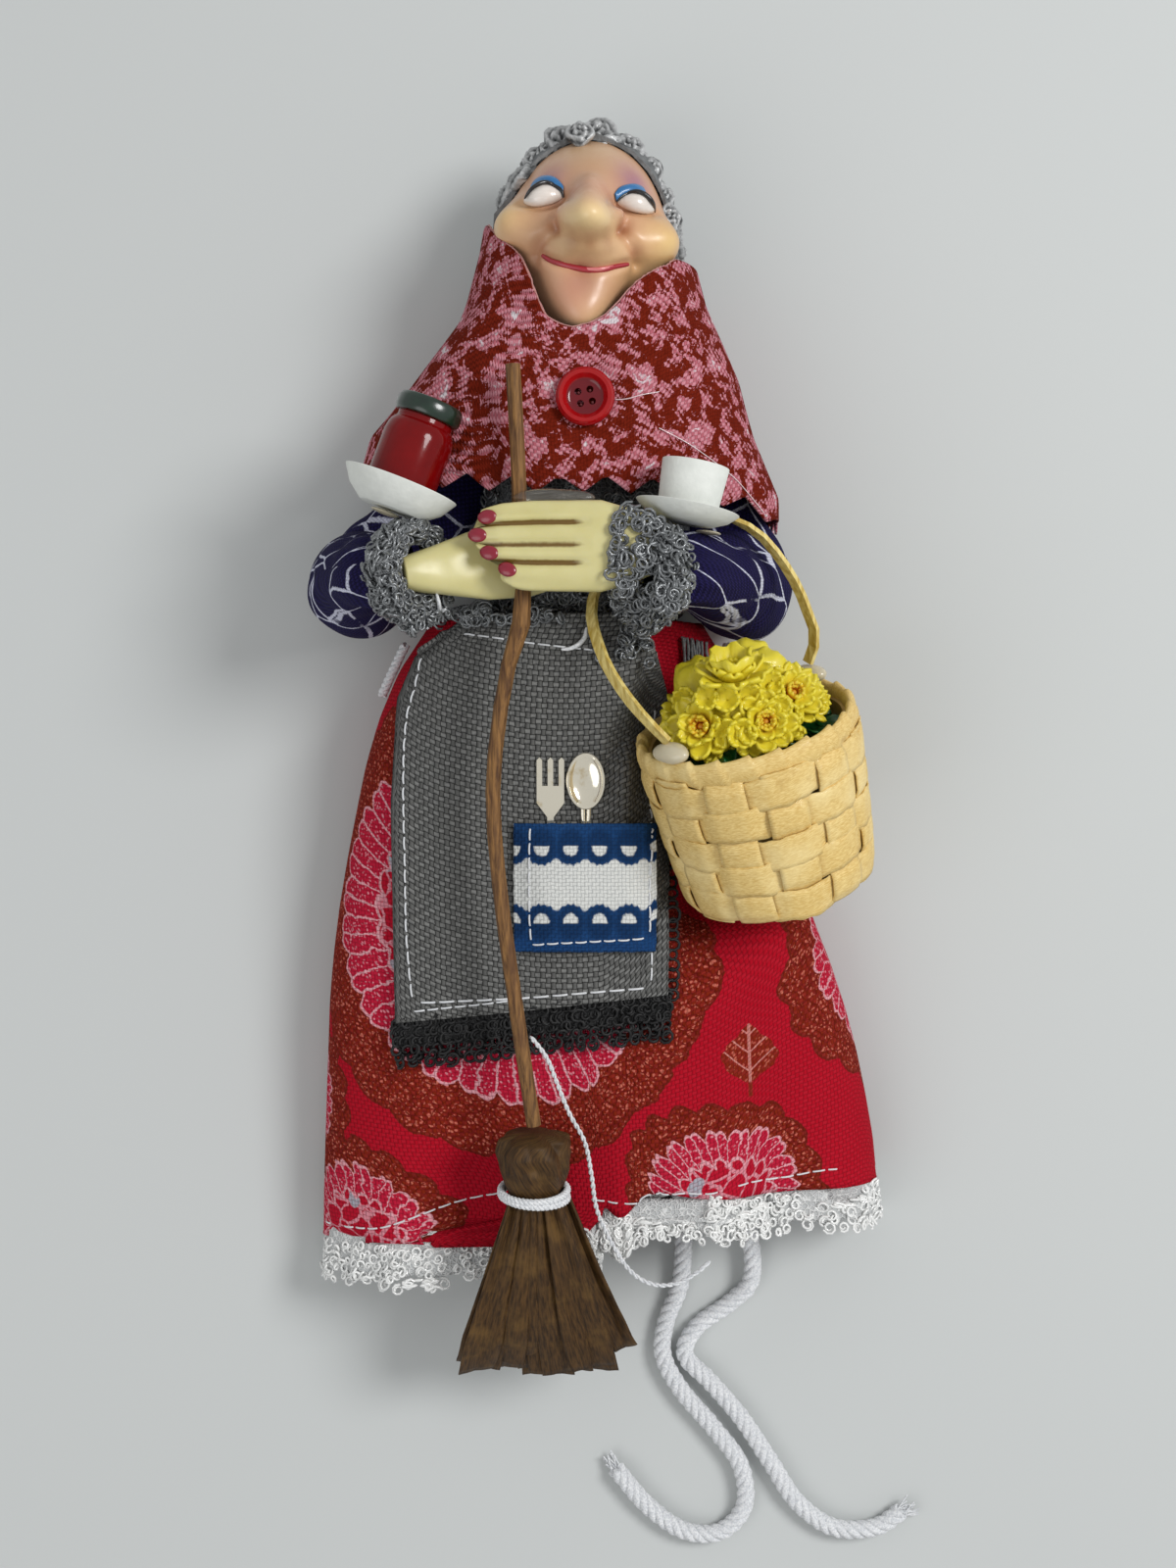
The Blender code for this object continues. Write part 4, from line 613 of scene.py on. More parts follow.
weave.links.new(height, found.inputs["Height"])
weave.links.new(over, found.inputs["Over"])
print("weave group has", len(weave.nodes), "nodes")


def woven(tree, shader, threads_per_m, depth, slub=0.25, strength=0.8):
    """Adds a weave's bump to a material, and returns its height and its mask of warp over weft."""
    out = use(tree, weave, Vector=place(tree, "UV"), Threads=threads_per_m, Slub=slub)
    raise_surface(tree, shader, out["Height"], depth, strength)
    return out["Height"], out["Over"]


# %% [markdown]
# ## Seeing a place in the picture
# Stitches, paint and small trims are set where the photograph shows them: a ray from the camera through a
# picture point finds the surface that carries them.

# %% From a picture point to a surface


def surface(*things):
    """A tree of the finished surfaces of some pieces, modifiers included."""
    build = bmesh.new()
    graph = bpy.context.evaluated_depsgraph_get()
    for thing in things:
        mesh = bpy.data.meshes.new_from_object(thing.evaluated_get(graph))
        build.from_mesh(mesh)
        bpy.data.meshes.remove(mesh)
    tree = BVHTree.FromBMesh(build)
    build.free()
    return tree


def picture_ray(across, down):
    """The camera's line of sight through a point of the 1200 by 1600 picture."""
    east, north = across - PICTURE_MIDDLE[0], PICTURE_MIDDLE[1] - down
    return Vector((east * POINT / FOCUS, north * POINT / FOCUS, -1.0)).normalized()


def picture_spot(across, down, height):
    """The place at a height in millimetres that a picture point shows."""
    scale = POINT * (CAMERA_HEIGHT - height) / FOCUS
    return at((across - PICTURE_MIDDLE[0]) * scale, (PICTURE_MIDDLE[1] - down) * scale, height)


def seen(tree, across, down, lift=0.0, height=20.0):
    """Where a picture point's line of sight meets a surface, lifted off it along its normal."""
    hit, normal, _, _ = tree.ray_cast(camera.location, picture_ray(across, down))
    if hit is None:
        hit, normal, _, _ = tree.find_nearest(picture_spot(across, down, height))
    if normal.z < 0:
        normal = -normal
    return hit + normal * lift


# %% [markdown]
# ## Skirt
# The skirt stands off the table in soft folds and is pressed in where the basket lies on it. Rays sent from
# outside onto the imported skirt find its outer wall, and the new cloth is laid there with fine creases added.

# %% The skirt
WAIST_Y, HEM_Y, HEM_TILT, FOLD_DROP = 30.0, -80.0, 11.0, 1.6
skirt_form = probe("skirt")


def hem_lift(turn):
    """How far the hem stands above its middle level at an angle round the skirt, in millimetres."""
    flat_x = rounded(turn, 3.0)[0]
    wave = cos(2 * pi * (52.5 * flat_x + 8.0) / 28.0)
    return HEM_TILT * 0.5 * flat_x - FOLD_DROP * wave * max(0.0, sin(turn))


def skirt_middle(y):
    share = min(1.0, max(0.0, (WAIST_Y - y) / (WAIST_Y - HEM_Y)))
    left = -50.0 * between(((0, 0.58), (0.15, 0.77), (0.37, 0.89), (0.62, 0.97), (1, 1)), share)
    right = 55.0 * between(((0, 0.38), (0.12, 0.54), (0.45, 0.73), (0.62, 0.86), (1, 1)), share)
    return (left + right) / 2


def skirt_spot(u, v):
    turn = pi / 2 + 2 * pi * (0.5 - u)
    down = 0.004 + 0.992 * v
    y = WAIST_Y + (HEM_Y + hem_lift(turn) - WAIST_Y) * down
    centre = at(skirt_middle(y), y, 6.0)
    way = Vector((cos(turn), 0.0, sin(turn)))
    hit = outer_at(skirt_form, centre, way)
    if hit is None:
        hit = skirt_form.find_nearest(centre + way * 0.04)[0]
        hit.y = centre.y
    crease = noise.noise(Vector((turn * 5.5, y * 0.05, 3.0))) * 0.7 * max(0.0, sin(turn))
    gather = noise.noise(Vector((turn * 16.0, y * 0.02, 9.0))) * 0.9 * max(0.0, 1 - v * 3.0)
    return hit + way * (crease + gather) * MM * (0.4 + 0.6 * v)


skirt = cloth("skirt_cloth", 168, 84, skirt_spot, 0.5 * MM, ease=3, wrap=True, calm=9)
print("skirt has", len(skirt.data.polygons), "faces")

# %% [markdown]
# ## The skirt's print
# The red cotton has round lacy medallions in brown, pink and white, and single leaves. Such prints are a
# traditional kind, so generic ones are drawn here. One node group draws a medallion: the distance from its
# centre, less a scallop that depends on the angle, picks the border, the ring of segments or the heart.

# %% A picture point's place on a cloth


def print_spot(piece, across, down, shift=(0.0, 0.0)):
    """The place on a cloth's own UV map, in metres, that a picture point shows."""
    mesh = piece.data
    faces = [tuple(face.vertices) for face in mesh.polygons]
    tree = BVHTree.FromPolygons([vert.co for vert in mesh.vertices], faces)
    hit, _, number, _ = tree.ray_cast(camera.location, picture_ray(across, down))
    if hit is None:
        hit, _, number, _ = tree.find_nearest(picture_spot(across, down, 30.0))
    layer = mesh.uv_layers["cloth"].data
    total, found_spot = 0.0, Vector((0.0, 0.0))
    for loop in mesh.polygons[number].loop_indices:
        away = (mesh.vertices[mesh.loops[loop].vertex_index].co - hit).length
        weight = 1 / max(away, 1e-6)
        total += weight
        found_spot += layer[loop].uv * weight
    found_spot = found_spot / total + Vector(shift) * MM
    return (found_spot.x, found_spot.y, 0.0)


# %% The medallion group


def from_centre(tree, given):
    """How far a place on the cloth lies from a motif's centre: to its right, and down, less its slant."""
    offset = tree.nodes.new("ShaderNodeVectorMath")
    offset.operation = "SUBTRACT"
    tree.links.new(given.outputs["Vector"], offset.inputs[0])
    tree.links.new(given.outputs["Centre"], offset.inputs[1])
    east, south, _ = split(tree, offset.outputs[0])
    return east, minus(tree, south, times(tree, east, given.outputs["Slant"]))


medallion, given, found = new_group("medallion", (
    ("Ground", COLOUR), ("Vector", VECTOR), ("Centre", VECTOR), ("Radius", FLOAT), ("Border", FLOAT),
    ("Lobes", FLOAT), ("Slant", FLOAT),
), (("Colour", COLOUR),))
east, south = from_centre(medallion, given)
squares = plus(medallion, calc(medallion, "POWER", east, 2.0), calc(medallion, "POWER", south, 2.0))
away = calc(medallion, "SQRT", squares)
angle = calc(medallion, "ARCTAN2", south, east)


def scallop(lobes):
    return humps(medallion, times(medallion, angle, lobes))


border = given.outputs["Border"]
outer_lobe = scallop(given.outputs["Lobes"])
inner_lobe = scallop(times(medallion, given.outputs["Lobes"], 2.0))
rim = plus(medallion, given.outputs["Radius"], times(medallion, outer_lobe, 1.5 * MM))
deep = minus(medallion, rim, away)
ring = minus(medallion, plus(medallion, deep, times(medallion, inner_lobe, 0.8 * MM)), border)
lace = cells(medallion, given.outputs["Vector"], 1350.0)
web = cells(medallion, given.outputs["Vector"], 620.0, "DISTANCE_TO_EDGE")
brown = blend(medallion, span(medallion, lace, 0.26, 0.44), paint("c06a58"), paint("7c2411"))
brown = blend(medallion, span(medallion, web, 0.10, 0.04), brown, paint("651a0a"))
brown = blend(medallion, span(medallion, deep, 0.9 * MM, 0.4 * MM), brown, paint("661f10"))
result = blend(medallion, span(medallion, deep, 0.0, 0.25 * MM), given.outputs["Ground"], brown)
fill = blend(medallion, span(medallion, lace, 0.2, 0.4), paint("dd8c98"), paint("b81c38"))
petals = blend(medallion, span(medallion, inner_lobe, 0.12, 0.26), paint("dfa4ac"), fill)
result = blend(medallion, span(medallion, ring, 0.0, 0.2 * MM), result, paint("dda0a8"))
result = blend(medallion, span(medallion, ring, 0.6 * MM, 0.8 * MM), result, petals)
heart = minus(medallion, minus(medallion, deep, border), times(medallion, border, 0.78))
result = blend(medallion, span(medallion, heart, 0.0, 0.2 * MM), result, paint("dda0a8"))
scene_cells = cells(medallion, given.outputs["Vector"], 260.0, "DISTANCE_TO_EDGE")
motif = blend(medallion, span(medallion, scene_cells, 0.075, 0.045), paint("b3142c"), paint("d68a96"))
pale = span(medallion, cells(medallion, given.outputs["Vector"], 170.0), 0.30, 0.27)
near_ring = span(medallion, heart, 4.6 * MM, 3.8 * MM)
motif = blend(medallion, times(medallion, pale, near_ring), motif, paint("a5a6b0"))
result = blend(medallion, span(medallion, heart, 0.6 * MM, 0.8 * MM), result, motif)
medallion.links.new(result, found.inputs["Colour"])

# %% The leaf group
leaf_print, given, found = new_group("leaf print", (
    ("Ground", COLOUR), ("Vector", VECTOR), ("Centre", VECTOR), ("Length", FLOAT), ("Slant", FLOAT),
), (("Colour", COLOUR),))
east, south = from_centre(leaf_print, given)
side = calc(leaf_print, "ABSOLUTE", east)
share = plus(leaf_print, calc(leaf_print, "DIVIDE", south, given.outputs["Length"]), 0.5)
skewed = calc(leaf_print, "POWER", calc(leaf_print, "MAXIMUM", share, 0.0), 1.3)
swell = calc(leaf_print, "SINE", times(leaf_print, skewed, pi))
notch = humps(leaf_print, times(leaf_print, share, 14.0))
wide = times(leaf_print, times(leaf_print, swell, given.outputs["Length"]), 0.45)
wide = plus(leaf_print, wide, times(leaf_print, notch, 0.5 * MM))
in_length = times(leaf_print, span(leaf_print, share, 0.0, 0.03), span(leaf_print, share, 1.0, 0.97))
body = times(leaf_print, span(leaf_print, minus(leaf_print, wide, side), 0.0, 0.2 * MM), in_length)
vein = plus(leaf_print, times(leaf_print, south, 900.0), times(leaf_print, side, 700.0))
veins = span(leaf_print, humps(leaf_print, vein), 0.22, 0.10)
veins = calc(leaf_print, "MAXIMUM", veins, span(leaf_print, side, 0.35 * MM, 0.2 * MM))
specks = span(leaf_print, cells(leaf_print, given.outputs["Vector"], 1350.0), 0.26, 0.40)
blade = blend(leaf_print, specks, paint("b8604c"), paint("7c2411"))
blade = blend(leaf_print, veins, blade, paint("c8847c"))
stalk = times(leaf_print, span(leaf_print, side, 0.5 * MM, 0.35 * MM), span(leaf_print, share, 0.95, 1.0))
stalk = times(leaf_print, stalk, span(leaf_print, share, 1.25, 1.2))
result = blend(leaf_print, stalk, given.outputs["Ground"], paint("7a2a17"))
leaf_print.links.new(blend(leaf_print, body, result, blade), found.inputs["Colour"])

# %% Red printed cotton
skirt_look, tree, shader = new_look("red printed cotton", 0.85, Specular_IOR_Level=0.05)
vector = place(tree, "UV")
tremble = jitter(tree, vector, 320.0, 2.2 * MM)
shaken = tree.nodes.new("ShaderNodeVectorMath")
tree.links.new(vector, shaken.inputs[0])
tree.links.new(tremble, shaken.inputs[1])
layer = blend(tree, cloud(tree, vector, 60.0), paint("a20b1d"), paint("b21226"))
medallions = (
    # centre on the cloth, radius and border in millimetres, scallops, slant that levels a gathered place
    (print_spot(skirt, 505, 950), 42.5, 12.0, 13.0, 0.0),
    (print_spot(skirt, 860, 985, (24.0, -3.0)), 27.0, 8.5, 10.0, 0.0),
    (print_spot(skirt, 350, 1120, (-15.0, 0.0)), 16.0, 6.0, 8.0, 0.0),
    (print_spot(skirt, 742, 1190, (0.0, 8.6)), 19.0, 5.6, 10.0, 0.6),
    (print_spot(skirt, 366, 1240, (0.0, 6.5)), 20.4, 5.8, 10.0, 0.0),
    ((-0.092, 0.040, 0.0), 25.0, 6.4, 12.0, 0.0), ((-0.104, 0.103, 0.0), 20.4, 5.8, 10.0, 0.0),
    ((0.103, 0.098, 0.0), 20.4, 5.8, 10.0, 0.0), ((0.114, 0.045, 0.0), 17.0, 5.2, 9.0, 0.0),
)
for centre, radius, rim_width, lobes, slant in medallions:
    layer = use(
        tree, medallion, Ground=layer, Vector=shaken.outputs[0], Centre=centre, Radius=radius * MM,
        Border=rim_width * MM, Lobes=lobes, Slant=slant,
    )["Colour"]
for centre, length, slant in (
    (print_spot(skirt, 764, 1075), 11.5, 0.7), ((-0.064, 0.092, 0.0), 11.0, 0.0),
    ((0.081, 0.066, 0.0), 11.0, 0.0),
):
    layer = use(
        tree, leaf_print, Ground=layer, Vector=vector, Centre=centre, Length=length * MM,
        Slant=slant,
    )["Colour"]
height, over = woven(tree, shader, 1300.0, 0.16 * MM, 0.15)
# Painted shade: the low places between the threads are darkened towards 5c0a10.
layer = blend(tree, span(tree, height, 0.0, 0.75, 0.55, 0.0), layer, paint("5c0a10"))
layer = blend(tree, times(tree, over, 0.10), layer, paint("cc3a4c"))
colour(tree, shader, layer)
dress(skirt, skirt_look, ("skirt",))
print("skirt is printed with", len(medallions), "medallions")

# %% [markdown]
# ## Stitching
# Each stitch is a short arc of thread that dives into the cloth at both ends. A seam is many of them along a
# line that was read off the picture.

# %% A row of stitches


def seam(name, tree, pixels, length=2.1 * MM, gap=0.55 * MM, radius=0.17 * MM):
    route, total = smooth_path([seen(tree, u, v, 0.0, 30.0) for u, v in pixels], 12 * len(pixels))
    count = max(2, round(total / (length + gap)))
    line, _ = smooth_path(route, count * 8)
    stitches = []
    for k in range(count):
        part = line[k * 8 : k * 8 + 7]
        bows = (-0.3, 0.9, 1.15, 1.2, 1.15, 0.9, -0.3)
        lifted = []
        for spot, bow in zip(part, bows):
            near, normal, _, _ = tree.find_nearest(spot)
            normal = normal if normal.z > 0 else -normal
            lifted.append(near + normal * radius * bow)
        stitches.append(lifted)
    dress(threads(name, stitches, radius), stitch_look)


stitch_look, tree, shader = new_look("white thread", 0.6, Sheen_Weight=0.3)
strand = cloud(tree, place(tree), 3000.0, 2.0)
colour(tree, shader, blend(tree, strand, paint("b9bcc2"), paint("f2f3f4")))
raise_surface(tree, shader, strand, 0.05 * MM, 0.6)

skirt_top = surface(skirt)
seam("hem_seam_left", skirt_top, (
    (333, 1246), (360, 1252), (388, 1253), (420, 1243), (460, 1228), (505, 1218), (512, 1217),
), 2.6 * MM, 0.35 * MM, 0.16 * MM)
seam("hem_seam_right", skirt_top, (
    (604, 1224), (650, 1228), (690, 1227), (725, 1218), (760, 1208), (800, 1201), (850, 1193), (893, 1186),
), 2.6 * MM, 0.35 * MM, 0.16 * MM)

# %% [markdown]
# ## Lace
# Machine lace here is a narrow band of thread loops. The band itself carries a crocheted pattern, and real
# loops of thread stand on it and hang from its edge, so that the outline is as ragged as the real one.

# %% Loops of thread


def loops(name, places, radius, thick, seed, points=9, turns=0.0):
    """Small rings of thread, or curls of so many turns: each place is (centre, out, side)."""
    dice = Random(seed)
    rings = []
    for centre, out, side in places:
        size = radius * dice.uniform(0.75, 1.2)
        lean = Matrix.Rotation(dice.uniform(-0.6, 0.6), 3, side)
        spread = dice.uniform(0.75, 1.1)
        facing = lean @ out
        over, start = side.cross(out) * size, dice.uniform(0, 2 * pi)
        ring = []
        for k in range(points):
            angle = start + 2 * pi * (turns or 1.0) * k / points
            reach = size * (1.0 if not turns else 0.45 + 0.6 * k / points)
            rise = 0.0 if not turns else 0.35 * sin(angle * 0.7 + start)
            ring.append(
                centre + side * reach * spread * cos(angle) + facing * reach * sin(angle) + over * rise
            )
        rings.append(ring)
    return threads(name, rings, thick, 0, not turns)


def tossed(spot, turn, rise):
    """The place of a loop that lies on a surface any way round, tipped up by a rise."""
    return spot, Vector((cos(turn), sin(turn), rise)).normalized(), Vector((-sin(turn), cos(turn), 0.0))


def lace_look(name, codes, roughness, coat):
    """Shiny thread worked into a band: small rings of light thread over holes darkened as painted shade."""
    look, tree, shader = new_look(name, roughness, Coat_Weight=coat, Coat_Roughness=0.25)
    vector = place(tree)
    dark, light = (paint(code) for code in codes)
    shaded_holes = span(tree, cells(tree, vector, 1200.0, "DISTANCE_TO_EDGE"), 0.02, 0.22)
    shade = blend(tree, cloud(tree, vector, 700.0), dark, light)
    # Painted shade: the holes between the threads take the dark colour.
    colour(tree, shader, blend(tree, shaded_holes, shade, dark))
    raise_surface(tree, shader, minus(tree, 1.0, shaded_holes), 0.25 * MM, 0.8)
    return look


def thread_look(name, codes, roughness, metal=0.0, coat=0.0):
    """Fine thread with fibres that catch the light."""
    return mottled(
        name, roughness, codes, (1400.0,), (4200.0, 1.0), 0.06, 0.7, Metallic=metal, Coat_Weight=coat
    )[0]


white_band_look = lace_look("white lace band", ("b4b6b6", "f1f1ef"), 0.5, 0.2)
white_loop_look = thread_look("white lace thread", ("dadbd9", "fdfdfb"), 0.18, 0.0, 0.8)
black_look = thread_look("black lace thread", ("030303", "0e0e10"), 0.6)
black_band_look = lace_look("black lace band", ("020202", "171719"), 0.6, 0.05)
grey_band_look = lace_look("grey lace band", ("2e3133", "8b8e90"), 0.4, 0.3)
grey_loop_look = thread_look("grey lace thread", ("404345", "a0a3a5"), 0.26, 0.4, 0.4)

# %% The white lace under the hem
lace_form = probe("hem_lace")
RUFFLES = 46


def hem_spot(u, v):
    turn = pi / 2 + 2 * pi * (0.5 - u)
    y = HEM_Y + hem_lift(turn) + 2.6 - 10.3 * v
    centre = at(skirt_middle(HEM_Y), y, 6.0)
    way = Vector((cos(turn), 0.0, sin(turn)))
    probe_centre = centre.copy()
    probe_centre.y = min(centre.y, at(0, HEM_Y + hem_lift(turn) - 1.4).y)
    probe_centre.y = max(probe_centre.y, at(0, HEM_Y + hem_lift(turn) - 6.8).y)
    hit = outer_at(lace_form, probe_centre, way)
    if hit is None:
        hit = lace_form.find_nearest(probe_centre + way * 0.04)[0]
    hit.y = y * MM - CENTRE.y
    ruffle = sin(2 * pi * RUFFLES * u + 2.2 * noise.noise(Vector((u * 30, 0, 0)))) * (0.15 + 0.95 * v)
    inward = 0.75 * (1 - v)
    spot = hit + way * (0.55 * ruffle - inward) * MM
    spot.y += 0.5 * MM * sin(4 * pi * RUFFLES * u) * v
    spot.z = max(spot.z, 0.35 * MM)
    return spot


hem_band = cloth("hem_lace_band", 368, 10, lambda u, v: hem_spot(u, v * 0.80), 0.35 * MM, wrap=True)
dress(hem_band, white_band_look, ("hem_lace",))
places = []
dice = Random(5)
for row, level in enumerate((0.34, 0.48, 0.62, 0.77, 0.91)):
    count = 230
    for k in range(count):
        u = (k + 0.5 * (row % 2) + dice.uniform(-0.3, 0.3)) / count % 1.0
        centre = hem_spot(u, level + dice.uniform(-0.06, 0.06))
        side = (hem_spot(min(u + 0.004, 1.0), level) - hem_spot(max(u - 0.004, 0.0), level)).normalized()
        out = (hem_spot(u, min(1.0, level + 0.1)) - hem_spot(u, level - 0.1)).normalized()
        centre.z += 0.5 * MM if side.x > 0.3 else 0.0
        centre.z = max(centre.z, 1.5 * MM)
        places.append((centre, out, side))
hem_loops = loops("hem_lace_loops", places, 1.05 * MM, 0.27 * MM, 11, 12, 1.5)
dress(hem_loops, white_loop_look)
print("hem lace has", len(places), "loops")

# %% [markdown]
# ## Apron
# The apron is a coarse grey cloth with its edges turned under and sewn with white thread. Its edge is a
# little thicker there, and it ends in a band of black lace.

# %% Grey burlap
apron_look, tree, shader = new_look("grey coarse weave", 0.95, Sheen_Weight=0.05, Specular_IOR_Level=0.2)
vector = place(tree, "UV")
height, over = woven(tree, shader, 1050.0, 0.30 * MM, 0.3, 1.0)
slubs = cloud(tree, vector, 900.0, 3.0)
thread_shade = blend(tree, over, paint("626260"), paint("7e7e7c"))
shade = blend(tree, span(tree, slubs, 0.35, 0.75, 0.0, 0.6), thread_shade, paint("4d4d4c"))
# Painted shade: the low places between the threads are darkened towards 222221.
colour(tree, shader, blend(tree, span(tree, height, 0.10, 0.65), paint("222221"), shade))
raise_surface(tree, shader, cloud(tree, vector, 5200.0, 2.0), 0.06 * MM, 0.5)

# %% The apron
apron_form = probe("apron")
APRON_TOP, APRON_HEM, APRON_TILT = 30.3, -43.5, 5.5
APRON_LEFT, APRON_RIGHT = 35.5, 14.6
LEFT_SHARES = ((0.0, 0.60), (0.08, 0.86), (0.2, 0.97), (0.45, 1.0), (1.0, 0.985))
RIGHT_SHARES = ((0.0, 0.42), (0.08, 0.80), (0.2, 1.0), (0.45, 1.0), (1.0, 0.99))


def apron_spot(u, v):
    left = -APRON_LEFT * between(LEFT_SHARES, v)
    right = APRON_RIGHT * between(RIGHT_SHARES, v)
    x = left + (right - left) * u
    y = APRON_TOP + (APRON_HEM + APRON_TILT * u - APRON_TOP) * v
    spot = at(x, y)
    near = 0.3 * MM
    inner_x = min(max(spot.x, at(left, 0).x + near), at(right, 0).x - near)
    spot.z = top_at(apron_form, inner_x, spot.y - near * (2 * v - 1), 34 * MM)
    edge = min(u * (right - left), (1 - u) * (right - left), (1 - v) * 70.0)
    fold = 0.28 * max(0.0, min(1.0, (4.4 - edge) / 0.5))
    spot.z += fold * MM + 0.25 * MM * noise.noise(Vector((x * 0.16, y * 0.13, 2.0)))
    return spot


apron = cloth("apron_cloth", 110, 150, apron_spot, 0.6 * MM, ease=2)
dress(apron, apron_look, ("apron",))
apron_top = surface(apron)
seam("apron_seam_left", apron_top, (
    (430, 672), (424, 700), (415, 735), (412, 790), (413, 870), (414, 930), (417, 983), (421, 1021),
), 2.3 * MM, 0.7 * MM)
seam("apron_seam_top", apron_top, ((474, 647), (500, 650), (540, 656), (584, 661), (612, 664)))
seam("apron_seam_bottom", apron_top, (
    (430, 1023), (480, 1021), (540, 1018), (600, 1013), (661, 1008),
), 2.6 * MM, 0.7 * MM, 0.2 * MM)
seam("apron_seam_return", apron_top, ((423, 1032), (450, 1029), (490, 1025), (521, 1021)))
seam("apron_seam_right", apron_top, ((668, 725), (666, 770), (664, 830), (664, 900), (665, 945)))
seam("apron_seam_low_right", apron_top, ((665, 972), (665, 990), (664, 1004)))
print("apron has", len(apron.data.polygons), "faces")

# %% Black lace at the apron's hem
black_form = probe("apron_lace")


def black_spot(u, v):
    left = -APRON_LEFT * 0.985 - 0.4
    right = APRON_RIGHT * 0.99 + 0.6
    x = left + (right - left) * u
    y = APRON_HEM + APRON_TILT * u + 0.4 - 8.0 * v
    spot = at(x, y)
    inner_x = min(max(spot.x, at(left + 0.8, 0).x), at(right - 0.8, 0).x)
    inner_y = max(spot.y, at(0, APRON_HEM + APRON_TILT * u - 6.0).y)
    spot.z = top_at(black_form, inner_x, min(inner_y, at(0, APRON_HEM + APRON_TILT * u - 1.2).y), 34 * MM)
    spot.z += (0.35 * sin(2 * pi * u * 17) * v - 0.25) * MM
    return spot


black_band = cloth("apron_lace_band", 150, 8, lambda u, v: black_spot(u, v * 0.58), 0.35 * MM)
dress(black_band, black_band_look, ("apron_lace",))
places = []
dice = Random(8)
for row, level in enumerate((0.08, 0.30, 0.50, 0.68, 0.84, 0.98)):
    count = (44, 44, 40, 34, 26, 20)[row]
    for k in range(count):
        u = min(0.995, max(0.005, (k + 0.5 + dice.uniform(-0.3, 0.3)) / count))
        centre = black_spot(u, level) + Vector((0, 0, 0.35 * MM))
        places.append((centre, Vector((0.0, -1.0, 0.1)), Vector((1.0, 0.1, 0.0))))
black_loops = loops("apron_lace_loops", places, 1.2 * MM, 0.32 * MM, 12, 12, 1.4)
dress(black_loops, black_look)
side_places = []
for k in range(16):
    spot = apron_spot(0.995, 0.60 + 0.40 * k / 15)
    side_places.append(
        (spot + Vector((1.0 * MM, 0, -0.2 * MM)), Vector((1.0, 0.0, -0.2)), Vector((0.0, 1.0, 0.0)))
    )
side_loops = loops("apron_lace_side", side_places, 1.1 * MM, 0.3 * MM, 14)
dress(side_loops, black_look)

# %% [markdown]
# ## Pocket
# The pocket is a patch of blue cotton with a white band and a border of half-moons, sewn on three sides. The
# print repeats along the cloth, so it is made from the UV map: a level down the pocket and a wave across it.

# %% Blue and white print
POCKET_WIDTH, POCKET_DEPTH = 25.4, 23.0
pocket_look, tree, shader = new_look("blue and white print", 0.9, Specular_IOR_Level=0.1)
vector = place(tree, "UV")
across, down, _ = split(tree, vector)
level = minus(tree, calc(tree, "DIVIDE", down, POCKET_DEPTH * MM), 0.475)
mirrored = calc(tree, "ABSOLUTE", level)
stretch = times(tree, across, 1.0 / (5.15 * MM))
moon = minus(tree, calc(tree, "FRACT", stretch), 0.5)
moon_squared = calc(tree, "POWER", moon, 2.0)
edge = plus(tree, 0.135, times(tree, moon_squared, 0.22))
teeth = times(tree, humps(tree, times(tree, stretch, 5 * pi)), 0.012)
edge = plus(tree, edge, teeth)
blot = jitter(tree, vector, 1500.0, 0.03)
in_white = span(tree, plus(tree, mirrored, blot), plus(tree, edge, 0.02), edge)
drop = minus(tree, mirrored, 0.295)
disc = calc(tree, "SQRT", plus(tree, times(tree, moon_squared, 0.075), calc(tree, "POWER", drop, 2.0)))
half = span(tree, drop, 0.012, 0.000)
in_moon = times(tree, span(tree, plus(tree, disc, blot), 0.080, 0.060), half)
cotton = blend(tree, cloud(tree, vector, 1700.0), paint("0f2b52"), paint("214c80"))
halo = span(tree, disc, 0.17, 0.10)
cotton = blend(tree, times(tree, halo, 0.6), cotton, paint("0c2444"))
white = blend(tree, cloud(tree, vector, 1300.0), paint("c2c4c2"), paint("e2e3df"))
layer = blend(tree, calc(tree, "MAXIMUM", in_white, in_moon), cotton, white)
height, over = woven(tree, shader, 1500.0, 0.14 * MM, 0.4)
# Painted shade: the low places between the threads are darkened towards 20242c.
layer = blend(tree, span(tree, height, 0.0, 0.6, 0.4, 0.0), layer, paint("20242c"))
colour(tree, shader, layer)

# %% The pocket
pocket_form = probe("apron_pocket")


def pocket_spot(u, v):
    x = -0.5 + POCKET_WIDTH * (u - 0.5)
    y = -7.0 - POCKET_DEPTH * v
    spot = at(x, y)
    inner_x = min(max(spot.x, at(-12.8, 0).x), at(11.8, 0).x)
    spot.z = top_at(pocket_form, inner_x, min(max(spot.y, at(0, -29.6).y), at(0, -7.3).y), 34 * MM)
    spot.y += 0.15 * MM * noise.noise(Vector((x, y, 0)) * 0.7)
    spot.x += 0.15 * MM * noise.noise(Vector((x, y, 7)) * 0.7)
    spot.z += 0.15 * MM * noise.noise(Vector((x * 0.2, y * 0.2, 4)))
    return spot


pocket = cloth("pocket_cloth", 54, 48, pocket_spot, 0.5 * MM, ease=2)
dress(pocket, pocket_look, ("apron_pocket",))
pocket_top = surface(pocket)
seam("pocket_seam_left", pocket_top, ((541, 846), (540, 880), (540, 920), (542, 962)))
seam("pocket_seam_bottom", pocket_top, ((544, 964), (580, 962), (620, 960), (660, 957)))
seam("pocket_seam_right", pocket_top, ((664, 838), (665, 870), (663, 910), (663, 954)))
print("pocket is sewn on")

# %% [markdown]
# ## Scarf
# A square of cotton is wrapped round the head and closed over the chest. Its lower edge is cut with pinking
# shears. The print is an all-over mottle of red-brown and pink with white flecks, made from layered noise.

